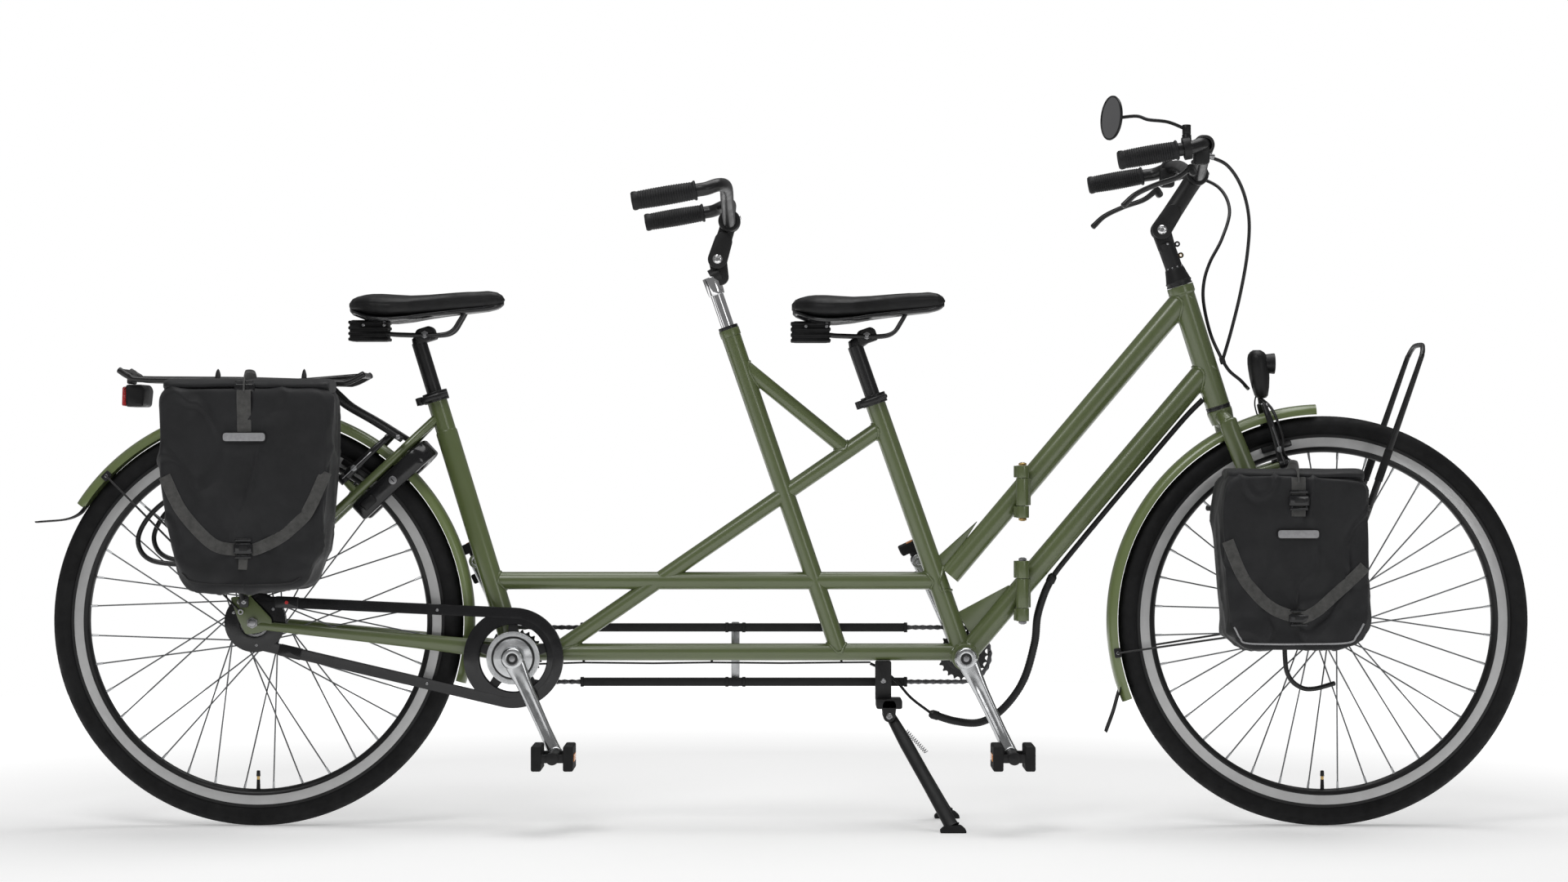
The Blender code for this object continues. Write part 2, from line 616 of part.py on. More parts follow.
def front_pannier(body):
    outline = [(0.7265, 0.6065), (0.8155, 0.6090), (0.9175, 0.6005), (0.9620, 0.5940),
               (0.9650, 0.4075), (0.9620, 0.3450), (0.9330, 0.3075), (0.7565, 0.3065),
               (0.7320, 0.3315), (0.7225, 0.4345), (0.7165, 0.5430)]
    finish("front_pannier", CLOTH, [bag(outline, -0.0900, -0.2280)], body=body)


# ---------------------------------------------------------------- transmission
def crank_point(crank, side):
    """Where a pedal's axis crosses the middle plane; the left crank is opposite the right."""
    angle = CRANK_ANGLE if side < 0 else CRANK_ANGLE + math.pi
    return crank + Vector((math.cos(angle), 0.0, math.sin(angle))) * CRANK_LENGTH


def crank_arm(crank, side):
    eye = crank_point(crank, side)
    reach = eye - crank
    path = [crank + Y_AXIS * side * 0.0670, crank + reach * 0.25 + Y_AXIS * side * 0.0720,
            crank + reach * 0.70 + Y_AXIS * side * 0.0800, eye + Y_AXIS * side * 0.0850]
    arm = sweep(path, [0.0170, 0.0125, 0.0105, 0.0120], sides=10, wides=[0.0080, 0.0070, 0.0062, 0.0065])
    hub = disc(crank + Y_AXIS * side * 0.0670, Y_AXIS, 0.0190, 0.0090, 12)
    eye_boss = disc(eye + Y_AXIS * side * 0.0850, Y_AXIS, 0.0125, 0.0070, 10)
    pin_middle = eye + Y_AXIS * side * 0.1270
    return [arm, hub, eye_boss, disc(pin_middle, Y_AXIS, 0.0055, 0.0400, 10)]


def right_crank(name, crank, body, with_ring):
    solids = crank_arm(crank, -1)
    cuts = [disc(crank - Y_AXIS * 0.0625, Y_AXIS, 0.0088, 0.0120, 12)]
    if with_ring:
        ring = pitch_radius(CHAINRING_TEETH) * 0.991 - CHAIN_HALF_HEIGHT - GAP
        solids.append(disc(crank - Y_AXIS * CHAIN_LINE, Y_AXIS, ring, 0.0012, 24))
        solids.append(disc(crank - Y_AXIS * 0.0560, Y_AXIS, 0.0420, 0.0014, 20))
        solids.append(disc(crank - Y_AXIS * 0.0520, Y_AXIS, 0.0180, 0.0080, 12))
        cuts.append(disc(crank - Y_AXIS * 0.0500, Y_AXIS, 0.0088, 0.0100, 12))
        for i in range(5):
            angle = 2 * math.pi * i / 5
            spot = crank + Vector((math.cos(angle) * 0.0500, -CHAIN_LINE, math.sin(angle) * 0.0500))
            cuts.append(disc(spot, Y_AXIS, 0.0080, 0.0040, 8))
    finish(name, POLISHED, solids, cuts, body)


def left_crank(name, crank, body):
    """Left arm with the timing chain's ring and the spindle that runs in the frame's shell."""
    ring = pitch_radius(SYNC_TEETH) * 0.991 - CHAIN_HALF_HEIGHT - GAP
    solids = crank_arm(crank, 1)
    solids += [disc(crank, Y_AXIS, 0.0085, 0.0740, 12), disc(crank, Y_AXIS, 0.0148, 0.0335, 16),
               disc(crank + Y_AXIS * CHAIN_LINE, Y_AXIS, ring, 0.0012, 24),
               disc(crank + Y_AXIS * 0.0520, Y_AXIS, 0.0160, 0.0080, 12)]
    finish(name, POLISHED, solids, body=body)


def pedal(name, crank, side, body):
    """Block pedal: two rubber blocks on end plates round a barrel with a blind bore."""
    eye = crank_point(crank, side)
    near, far = 0.0985, 0.1830
    middle = eye + Y_AXIS * side * (near + far) / 2
    turn = Matrix.Rotation(0.0 if side < 0 else math.radians(65), 3, "Y")
    solids = [disc(eye + Y_AXIS * side * (near + far + 0.003) / 2, Y_AXIS, 0.0110, (far - near + 0.003) / 2, 12)]
    for shift in (-0.0265, 0.0265):
        solids.append(block(middle + turn @ Vector((shift, 0, 0)), (0.0170, far - near - 0.002, 0.0420), turn))
    for y in (near + 0.004, far - 0.004):
        solids.append(block(eye + Y_AXIS * side * y, (0.0530, 0.0040, 0.0140), turn))
    bore = disc(eye + Y_AXIS * side * 0.1280, Y_AXIS, 0.0059, 0.0400, 10)
    finish(name, SOFT_RUBBER, solids, [bore], body)


def chains():
    front, rear = pitch_radius(CHAINRING_TEETH), pitch_radius(SPROCKET_TEETH)
    drive = belt_ring(STOKER_CRANK, front, REAR_AXLE, rear, -CHAIN_HALF_HEIGHT, CHAIN_HALF_HEIGHT,
                      -CHAIN_LINE - CHAIN_HALF_WIDTH, -CHAIN_LINE + CHAIN_HALF_WIDTH, 14)
    finish("drive_chain", STEEL, [drive])
    sync = pitch_radius(SYNC_TEETH)
    timing = belt_ring(CAPTAIN_CRANK, sync, STOKER_CRANK, sync, -CHAIN_HALF_HEIGHT, CHAIN_HALF_HEIGHT,
                       CHAIN_LINE - CHAIN_HALF_WIDTH, CHAIN_LINE + CHAIN_HALF_WIDTH, 12)
    finish("sync_chain", BLACK_METAL, [timing])


def chain_guard():
    """Closed cover round the drive chain, open only towards the inside of the run for the wheels' rims."""
    front, rear = pitch_radius(CHAINRING_TEETH), pitch_radius(SPROCKET_TEETH)
    outside, inside = -CHAIN_LINE - 0.0065, -CHAIN_LINE + 0.0065
    solids = [belt_ring(STOKER_CRANK, front, REAR_AXLE, rear, -0.0100, 0.0075, outside, inside, 12)]
    middle = Y_AXIS * -CHAIN_LINE
    solids.append(collar(STOKER_CRANK + middle, Y_AXIS, front - 0.0200, front + 0.0068, 0.0064, 22))
    solids.append(collar(REAR_AXLE + middle, Y_AXIS, 0.0250, rear + 0.0140, 0.0064, 16))
    pocket = belt_outline(STOKER_CRANK, front + 0.0058, REAR_AXLE, rear + 0.0058, 14)
    finish("chain_guard", PLASTIC, solids, [plate(pocket, outside + 0.0018, inside - 0.0018)])


def sync_chain_tubes():
    """Two square guide tubes round the timing chain's runs, held by one bracket off the bottom rail."""
    sync = pitch_radius(SYNC_TEETH)
    solids, cuts = [], []
    for height in (CRANK_HEIGHT + sync, CRANK_HEIGHT - sync):
        solids.append(block((-0.0660, CHAIN_LINE, height), (0.560, 0.0124, 0.0140)))
        cuts.append(block((-0.0660, CHAIN_LINE, height), (0.600, 0.0094, 0.0106)))
    solids.append(block((-0.0805, CHAIN_LINE + 0.0075, CRANK_HEIGHT), (0.0140, 0.0040, 2 * sync + 0.0180)))
    solids.append(block((-0.0805, 0.0353, LOWER_RAIL - 0.0005), (0.0140, 0.0400, 0.0060)))
    finish("sync_chain_tubes", PLASTIC, solids, cuts)


def ring_lock():
    """Frame lock: a horseshoe round the tyre, closed at its top end."""
    low, mouth, top = -0.022, -0.022, 0.143
    inner, outer, thick = 0.0255, 0.0500, 0.0330
    outline = [(low, outer), (top - 0.022, outer), (top, outer - 0.024), (top, -outer + 0.024),
               (top - 0.022, -outer), (mouth, -outer), (mouth, -inner), (top - 0.036, -inner),
               (top - 0.024, -inner + 0.012), (top - 0.024, inner - 0.012), (top - 0.036, inner), (low, inner)]
    rings = [[along_stay(s, y, rise) for s, y in outline] for rise in (-0.0103, -0.0103 - thick)]
    finish("ring_lock", PLASTIC, [skin(rings)])


# ---------------------------------------------------------------- stand
def kickstand_bracket():
    rail_bottom = LOWER_RAIL - 0.0145 - GAP
    solids = [block((0.1715, 0, (rail_bottom + 0.212) / 2), (0.0270, 0.0260, rail_bottom - 0.212)),
              block((0.1810, 0, 0.2080), (0.0440, 0.0690, 0.0160))]
    for side in (-1, 1):
        inner, outer = sorted((side * 0.0303, side * 0.0345))
        solids.append(link((STAND_PIVOT.x, STAND_PIVOT.z), (STAND_PIVOT.x, 0.205), 0.0100, 0.0120, inner, outer))
    finish("kickstand_bracket", BLACK_METAL, solids)


def kickstand(body):
    """Two splayed legs on one barrel, feet level with the tyres' contact."""
    solids = [disc(STAND_PIVOT, Y_AXIS, 0.0105, 0.0300, 14)]
    for side in (-1, 1):
        hip = STAND_PIVOT + Vector((0.004, side * 0.0190, -0.004))
        foot = Vector((STAND_FOOT.x, side * STAND_FOOT.y, 0.010))
        leg = foot - hip
        path = [hip, hip + leg * 0.25, hip + leg * 0.62, foot]
        solids.append(sweep(path, [0.0085, 0.0108, 0.0105, 0.0140], sides=8,
                            wides=[0.0075, 0.0075, 0.0075, 0.0085]))
        solids.append(block((STAND_FOOT.x + 0.002, side * STAND_FOOT.y, 0.0065), (0.0440, 0.0230, 0.0130)))
    finish("kickstand", BLACK_METAL, solids, body=body)


def front_stand(body):
    """Parking hoop round the front wheel, hung on the axle and stowed upwards."""
    side_y = 0.0690
    outer = [(0.919, -side_y, 0.348), (0.929, -side_y, 0.3768), (0.9850, -side_y, 0.5378),
             (1.0200, -side_y, 0.6385), (1.0690, -side_y, 0.7794), (1.0780, -side_y + 0.012, 0.8050),
             (1.0815, -side_y + 0.040, 0.8150)]
    points = outer + list(reversed(mirrored(outer)))
    radii = [0.0038, 0.0038, 0.0058, 0.0058, 0.0042, 0.0042, 0.0042]
    solids = [sweep(points, radii + radii[::-1], sides=6)]
    for side in (-1, 1):
        solids.append(disc((HOOP_PIVOT.x, side * side_y, HOOP_PIVOT.z), Y_AXIS, 0.0110, 0.0026, 16))
    finish("front_stand", BLACK_METAL, solids, [disc(HOOP_PIVOT, Y_AXIS, 0.0053, 0.09, 12)], body)


# ---------------------------------------------------------------- seats
def seat_group(label, top, crank, shift, body, qr_body):
    """Seat post with its clamp, saddle, tube collar and quick-release lever."""
    up = (top - crank).normalized()
    front = Vector((up.z, 0.0, -up.x))
    post_top = top + up * 0.094
    clamp = Vector((0.1430, 0, 0.8320)) + shift
    solids = [tube(top - up * 0.110, post_top, SEATPOST_RADIUS),
              block(clamp, (0.0340, 0.0372, 0.0260), basis(front)),
              tube(post_top - up * 0.01, clamp, 0.0115)]
    finish("seatpost_" + label, BLACK_METAL, solids, body=body)

    stations = [(0.0160, 0.0300, 0.8860, 0.8700), (0.0300, 0.0600, 0.8965, 0.8610), (0.0550, 0.0780, 0.9015, 0.8530),
                (0.0900, 0.0830, 0.9000, 0.8510), (0.1200, 0.0730, 0.8985, 0.8540), (0.1500, 0.0520, 0.9000, 0.8590),
                (0.1800, 0.0350, 0.9030, 0.8630), (0.2150, 0.0260, 0.9065, 0.8670), (0.2500, 0.0205, 0.9070, 0.8710),
                (0.2700, 0.0130, 0.9000, 0.8770), (0.2765, 0.0060, 0.8930, 0.8830)]
    rings = []
    for x, half, high, low in stations:
        ring = []
        for k in range(10):
            angle = 2 * math.pi * k / 10
            y = half * math.copysign(abs(math.cos(angle)) ** 0.7, math.cos(angle))
            z = (high + low) / 2 + (high - low) / 2 * math.copysign(abs(math.sin(angle)) ** 0.8, math.sin(angle))
            ring.append(Vector((x, y, z)) + shift)
        rings.append(ring)
    solids = [skin(rings), block(Vector((0.0480, 0, 0.8400)) + shift, (0.0680, 0.0620, 0.0420))]
    for side in (-1, 1):
        rail = [(0.0600, side * 0.0230, 0.8360), (0.1000, side * 0.0230, 0.8320), (0.1620, side * 0.0230, 0.8310),
                (0.1880, side * 0.0225, 0.8370), (0.2120, side * 0.0160, 0.8740)]
        solids.append(sweep([Vector(p) + shift for p in rail], 0.0036, sides=6))
    finish("saddle_" + label, SOFT_RUBBER, solids, body=body)

    profile = [(0.0173, -0.0110), (0.0215, -0.0110), (0.0215, 0.0060), (0.0137, 0.0060), (0.0137, 0.0004),
               (0.0173, 0.0004)]
    lug = top - front * 0.0255 - up * 0.0030
    solids = [turned(profile, top, up, 12), block(lug, (0.0140, 0.0220, 0.0130), basis(front))]
    finish("seat_collar_" + label, BLACK_METAL, solids)

    barrel = lug + Vector((0, -0.0175, 0)) - front * 0.0015
    lever = [barrel + Vector((0, -0.0030, 0)), barrel + front * 0.0130 + Vector((0, -0.0085, 0)),
             barrel + front * 0.0330 + Vector((0, -0.0095, 0)), barrel + front * 0.0480 + Vector((0, -0.0060, 0))]
    solids = [tube(barrel - up * 0.0060, barrel + up * 0.0060, 0.0062, sides=12),
              sweep(lever, [0.0040, 0.0045, 0.0045, 0.0035], sides=8, wides=[0.0020, 0.0020, 0.0020, 0.0016])]
    qr_body.location = barrel
    finish("seat_qr_" + label, BLACK_METAL, solids, body=qr_body)
    return barrel, up


# ---------------------------------------------------------------- steering and bars
def front_frame(body):
    solids, bores = fold_stubs(1)
    solids += [tube(HEAD_TOP, HEAD_FOOT, 0.0205, sides=12),
               tube(HEAD_TOP, HEAD_TOP - STEER_UP * 0.014, 0.0228, sides=12)]
    bore = tube(HEAD_TOP + STEER_UP * 0.02, HEAD_FOOT - STEER_UP * 0.02, 0.0152, sides=12)
    finish("front_frame", PAINT, solids, bores + [bore], body)


def fork(body):
    below = -STEER_UP
    crown = HEAD_FOOT + below * 0.0200
    solids = [
        tube(HEAD_FOOT + below * 0.0100, HEAD_TOP + STEER_UP * 0.0030, 0.0146, sides=12),
        disc(HEAD_FOOT + below * 0.0025, STEER_UP, 0.0195, 0.0020, 18),
        tube(HEAD_FOOT + below * 0.0050, HEAD_FOOT + below * 0.0280, 0.0215, 0.0190, sides=12),
        sweep([(0.7535, -0.0385, 0.6830), (crown.x, -0.0240, crown.z), (crown.x, 0.0240, crown.z),
               (0.7535, 0.0385, 0.6830)], [0.0130, 0.0120, 0.0120, 0.0130], sides=12),
    ]
    for side in (-1, 1):
        blade = [(0.7530, side * 0.0385, 0.6870), (0.7600, side * 0.0395, 0.6650), (0.7860, side * 0.0430, 0.6000),
                 (0.8200, side * 0.0465, 0.5100), (0.8560, side * 0.0500, 0.4300),
                 (0.8900, side * FORK_HALF_SPAN, 0.3780), (0.9080, side * FORK_HALF_SPAN, 0.3580)]
        solids.append(sweep(blade, [0.0150, 0.0160, 0.0165, 0.0150, 0.0125, 0.0100, 0.0085],
                            wides=[0.0110, 0.0120, 0.0120, 0.0110, 0.0090, 0.0060, 0.0040]))
        low, high = sorted((side * (FORK_HALF_SPAN - 0.0025), side * (FORK_HALF_SPAN + 0.0025)))
        solids.append(link((0.9060, 0.3600), (FRONT_AXLE.x, FRONT_AXLE.z), 0.0085, 0.0130, low, high))
        boss = Vector((FRONT_BRAKE.x, side * FRONT_BRAKE.y, FRONT_BRAKE.z))
        root = boss - STEER_FRONT * 0.058 + Y_AXIS * side * 0.002
        solids.append(tube(root, boss - STEER_FRONT * 0.0082, 0.0068, sides=8))
    cuts = [disc(FRONT_AXLE, Y_AXIS, 0.0053, 0.09, 12),
            tube(HEAD_TOP + STEER_UP * 0.02, HEAD_TOP - STEER_UP * 0.110, 0.0116)]
    finish("fork", PAINT, solids, cuts, body)


def brake_arms(label, brake, up, normal, axle, bodies):
    """Pair of arms on the frame's bosses, each with a pad beside the rim."""
    for side, name in ((-1, "right"), (1, "left")):
        boss = Vector((brake.x, side * brake.y, brake.z))
        path = [boss, boss + up * 0.035, boss + up * 0.075 - Y_AXIS * side * 0.001,
                boss + up * 0.105 - Y_AXIS * side * 0.010]
        pad_centre = boss + up * 0.0260
        out = Vector((pad_centre.x - axle.x, 0, pad_centre.z - axle.z)).normalized()
        pad_at = axle + out * 0.3065 + Y_AXIS * side * 0.0178
        pad = block(pad_at, (0.0520, 0.0080, 0.0110), basis(out.cross(Y_AXIS)))
        post = tube(pad_at, pad_centre + Y_AXIS * side * 0.0090, 0.0038, sides=8)
        solids = [disc(boss, normal, 0.0090, 0.0077, 14), sweep(path, [0.0078, 0.0072, 0.0055, 0.0045], sides=8,
                  wides=[0.0062, 0.0058, 0.0048, 0.0040]), post, pad]
        finish(f"{label}_brake_{name}", BLACK_METAL, solids, body=bodies[name])


def headlamp(body):
    """Lamp on a wire bracket that is held by the front brake's boss bolts."""
    shell = [(0.004, -0.0440), (0.014, -0.0400), (0.0205, -0.0100), (0.0220, 0.0150), (0.0190, 0.0300),
             (0.0080, 0.0380)]
    rings = []
    for half, height in shell:
        centre = Vector((0.8105 - height * 0.10, 0.0, 0.7700 + height))
        rings.append(circle(centre, Vector((0, 0, 1)), half * 0.82, 12, wide=half))
    solids = [skin(rings), tube((0.8150, 0, 0.7850), (0.8360, 0, 0.7850), 0.0155, 0.0175),
              tube((0.8110, 0, 0.7330), (0.8135, 0, 0.7180), 0.0035, sides=6)]
    end = FRONT_BRAKE + STEER_FRONT * 0.0105
    wire = [(end.x, end.y, end.z), (0.8440, 0.0480, 0.6600), (0.8300, 0.0300, 0.7050), (0.8150, 0.0080, 0.7240)]
    path = [Vector(p) for p in wire] + [Vector((0.8130, 0.0, 0.7245))] + list(reversed(mirrored(wire)))
    solids.append(sweep(path, 0.0024, sides=6))
    for side in (-1, 1):
        solids.append(disc((end.x, side * end.y, end.z), STEER_FRONT, 0.0065, 0.0022, 12))
    finish("headlamp", PLASTIC, solids, body=body)


def front_rack(body):
    """Low rail beside the wheel for the front bag, on the fork blade and the axle."""
    y = -0.0820
    solids = [tube((0.7130, y, 0.5410), (0.9850, y, 0.5410), 0.0048, sides=6),
              tube((0.8090, y, 0.5410), (0.8090, -0.0590, 0.5410), 0.0060, sides=6),
              sweep([(0.9300, y, 0.5410), (0.9220, y, 0.4000), (0.9190, -0.0785, 0.3582)], 0.0040, sides=6),
              disc((FRONT_AXLE.x, -0.0783, FRONT_AXLE.z), Y_AXIS, 0.0130, 0.0019, 12)]
    hook = smooth_path([(0.8420, y, 0.5410), (0.8420, y, 0.4000), (0.8430, y, 0.2940), (0.8500, y, 0.2580),
                        (0.8700, y, 0.2400), (0.8930, y, 0.2380), (0.9260, y, 0.2470)], 2)
    solids.append(sweep(hook, 0.0040, sides=6))
    finish("front_rack", BLACK_METAL, solids, [disc(FRONT_AXLE, Y_AXIS, 0.0053, 0.09, 12)], body)


def stem_head(pivot, clamp, width):
    """Upper half of an adjustable stem: two ears on the pivot and a socket for the bar."""
    rise = (clamp - pivot).normalized()
    neck = pivot + rise * 0.0330
    solids = []
    for side in (-1, 1):
        low, high = sorted((side * 0.0113, side * 0.0185))
        solids.append(link((pivot.x, pivot.z), (neck.x, neck.z), 0.0165, 0.0150, low, high))
    solids.append(tube(pivot + rise * 0.0235, clamp, width, width * 0.95))
    solids.append(disc(clamp, Y_AXIS, 0.0185, 0.0260, 12))
    solids.append(disc(pivot, Y_AXIS, 0.0085, 0.0190, 12))
    return solids


def stem_foot(pivot, below, tube_from, width):
    """Lower half of an adjustable stem: a tongue between the ears and the stem tube under it."""
    neck = pivot + below * 0.0300
    tongue = link((neck.x, neck.z), (pivot.x, pivot.z), 0.0140, 0.0155, -0.0110, 0.0110)
    return [tongue, tube(pivot + below * 0.0240, tube_from, width)]


def captain_quill(body):
    below = -STEER_UP
    base = HEAD_TOP + STEER_UP * 0.0045
    solids = stem_foot(CAPTAIN_PIVOT, below, base + STEER_UP * 0.02, 0.0148)
    solids.append(tube(base, base + STEER_UP * 0.0270, 0.0215, 0.0160, sides=12))
    solids.append(tube(base + STEER_UP * 0.01, HEAD_TOP - STEER_UP * 0.100, 0.0111))
    bolt_hole = disc(CAPTAIN_PIVOT, Y_AXIS, 0.0089, 0.03, 12)
    finish("captain_quill", BLACK_METAL, solids, [bolt_hole], body)


def bar_path(clamp, crest, grip_start, side):
    """Route of half a handlebar: out along the clamp, up and out to the crest, then back to the grip."""
    points = [clamp + Y_AXIS * side * 0.010, clamp + Y_AXIS * side * 0.045,
              clamp * 0.45 + crest * 0.55 + Y_AXIS * side * 0.125,
              Vector((crest.x, side * 0.215, crest.z)),
              Vector((crest.x * 0.75 + grip_start.x * 0.25, side * 0.262, crest.z)),
              Vector((crest.x * 0.35 + grip_start.x * 0.65, side * (GRIP_Y - 0.002), grip_start.z + 0.003)),
              Vector((grip_start.x, side * GRIP_Y, grip_start.z))]
    return smooth_path(points, 2)


CAPTAIN_CREST = Vector((0.6970, 0.0, 1.1370))
CAPTAIN_GRIP = (Vector((0.6450, 0.0, 1.1260)), Vector((0.5440, 0.0, 1.1080)))
STOKER_CREST = Vector((-0.0930, 0.0, 1.0700))
STOKER_GRIP = (Vector((-0.1390, 0.0, 1.0600)), Vector((-0.2450, 0.0, 1.0420)))
LEVER_PIVOT = Vector((0.6700, 0.2580, 1.1080))


def stoker_post(body):
    stem_up = (STEM_TUBE_TOP - STEM_TUBE_FOOT).normalized()
    below = (STEM_TUBE_TOP - STOKER_PIVOT).normalized()
    sleeve = STEM_TUBE_TOP + stem_up * 0.0620
    solids = [tube(STEM_TUBE_TOP - stem_up * 0.110, sleeve + stem_up * 0.01, 0.0110),
              tube(sleeve, sleeve + stem_up * 0.0320, 0.0140, 0.0150)]
    solids += stem_foot(STOKER_PIVOT, below, sleeve + stem_up * 0.0200, 0.0145)
    bolt_hole = disc(STOKER_PIVOT, Y_AXIS, 0.0089, 0.03, 12)
    finish("stoker_post", POLISHED, solids, [bolt_hole], body)


def stoker_handlebar(body):
    solids = stem_head(STOKER_PIVOT, STOKER_CLAMP, 0.0140)
    for side in (-1, 1):
        solids.append(sweep(bar_path(STOKER_CLAMP, STOKER_CREST, STOKER_GRIP[0], side), BAR_RADIUS))
        ends = [p + Y_AXIS * side * GRIP_Y for p in STOKER_GRIP]
        solids.append(tube(ends[0], ends[1], GRIP_RADIUS))
    finish("stoker_handlebar", BLACK_METAL, solids, body=body)


def captain_handlebar(body):
    solids = stem_head(CAPTAIN_PIVOT, CAPTAIN_CLAMP, 0.0160)
    for side in (-1, 1):
        solids.append(sweep(bar_path(CAPTAIN_CLAMP, CAPTAIN_CREST, CAPTAIN_GRIP[0], side), BAR_RADIUS))
        inner, outer = (p + Y_AXIS * side * GRIP_Y for p in CAPTAIN_GRIP)
        solids.append(tube(inner, outer + (inner - outer) * 0.05, 0.0108))
        pivot = Vector((LEVER_PIVOT.x, side * LEVER_PIVOT.y, LEVER_PIVOT.z))
        solids.append(block(pivot + Vector((0.012, 0, 0.014)), (0.026, 0.020, 0.040)))
    clamp = Vector((0.6560, -GRIP_Y, 1.1290))
    solids.append(tube(clamp, clamp + Vector((0, 0.004, 0.021)), 0.0080))
    finish("captain_handlebar", BLACK_METAL, solids, body=body)


def captain_grip(name, side, body):
    inner, outer = (p + Y_AXIS * side * GRIP_Y for p in CAPTAIN_GRIP)
    start = inner + (outer - inner) * 0.03
    grip = tube(start, outer, GRIP_RADIUS)
    bore = tube(inner - (outer - inner) * 0.1, outer + (inner - outer) * 0.04, 0.0108 + GAP)
    finish(name, SOFT_RUBBER, [grip], [bore], body)


def brake_lever(name, side, body):
    pivot = Vector((LEVER_PIVOT.x, side * LEVER_PIVOT.y, LEVER_PIVOT.z))
    start = pivot + Vector((-0.0060, 0.0, -0.0090))
    path = smooth_path([start, (0.6420, side * 0.2650, 1.0820), (0.6080, side * 0.2740, 1.0700),
                        (0.5740, side * 0.2800, 1.0540), (0.5530, side * 0.2820, 1.0350)], 2)
    low, high = sorted((side * 0.0090 + pivot.y, pivot.y - side * 0.0090))
    knuckle = link((pivot.x - 0.0015, pivot.z - 0.0170), (pivot.x - 0.0060, pivot.z - 0.0100), 0.0060, 0.0060,
                   low, high)
    finish(name, BLACK_METAL, [knuckle, sweep(path, 0.0048, sides=8)], body=body)


def mirror(body):
    """Round mirror on a short arm."""
    centre = Vector((0.5360, -0.2700, 1.1780))
    facing = Vector((-0.87, -0.35, 0.05)).normalized()
    foot = Vector((0.6560, -GRIP_Y + 0.0045, 1.1590))
    solids = [tube(foot - Vector((0, 0, 0.0070)), foot + Vector((0, 0, 0.0070)), 0.0068, sides=12),
              sweep([foot, foot + Vector((-0.030, 0, 0.012)), centre - facing * 0.010 + Vector((0.030, 0, 0.004)),
                     centre - facing * 0.004], 0.0034, sides=8),
              turned([(0.0, -0.0100), (0.0180, -0.0085), (0.0350, -0.0010), (0.0362, 0.0030), (0.0, 0.0030)],
                     centre, facing, 24, closed=False)]
    finish("mirror", PLASTIC, solids, body=body)


# ---------------------------------------------------------------- cables
def control_cables():
    """Brake cables from both levers, in loose loops, down to one clip before the head tube."""
    clip = Vector((0.7480, -0.0040, 0.7900))
    left = [(0.6950, 0.2450, 1.1180), (0.7150, 0.1800, 1.1150), (0.7500, 0.0950, 1.0850), (0.7780, 0.0450, 1.0300),
            (0.7850, 0.0180, 0.9700), (0.7720, 0.0050, 0.8850), clip]
    right = [(0.6950, -0.2450, 1.1180), (0.7180, -0.1850, 1.1100), (0.7450, -0.1100, 1.0700),
             (0.7450, -0.0600, 1.0000), (0.7250, -0.0340, 0.9400), (0.7200, -0.0300, 0.8900),
             (0.7330, -0.0260, 0.8300), clip]
    tail = [clip, (0.7600, -0.0060, 0.7720), (0.7790, -0.0060, 0.7560), (0.7930, 0.0050, 0.7420)]
    solids = [block(clip, (0.0090, 0.0090, 0.0120))]
    for route in (left, right, tail):
        solids.append(sweep(smooth_path(route, 2), 0.0024, sides=6))
    finish("control_cables", SOFT_RUBBER, solids)


def fold_conduit():
    """Cable under the front down tube and the loose conduit that spans the fold."""
    under = [(0.7120, 0.0, 0.7130), (0.6900, 0.0, 0.6930), (0.6560, 0.0, 0.6550), (0.5600, 0.0, 0.5410),
             (0.4800, 0.0, 0.4460), (0.4590, 0.0, 0.4220)]
    hose = [(0.4590, 0.0, 0.4220), (0.4460, 0.0000, 0.3950), (0.4340, 0.0020, 0.3550), (0.4290, 0.0060, 0.3080),
            (0.4100, 0.0120, 0.2440), (0.3750, 0.0160, 0.1960), (0.3370, 0.0160, 0.1740), (0.2960, 0.0120, 0.1760),
            (0.2560, 0.0080, 0.1880)]
    tail = [(0.2560, 0.0080, 0.1880), (0.2200, 0.0180, 0.2150), (0.1960, 0.0200, 0.2420), (0.1700, 0.0190, 0.2640),
            (0.1500, 0.0165, 0.2740)]
    solids = [sweep(smooth_path(under, 2), 0.0030, sides=6), sweep(smooth_path(hose, 2), 0.0068, sides=6),
              sweep(smooth_path(tail, 2), 0.0024, sides=6)]
    finish("fold_conduit", SOFT_RUBBER, solids)


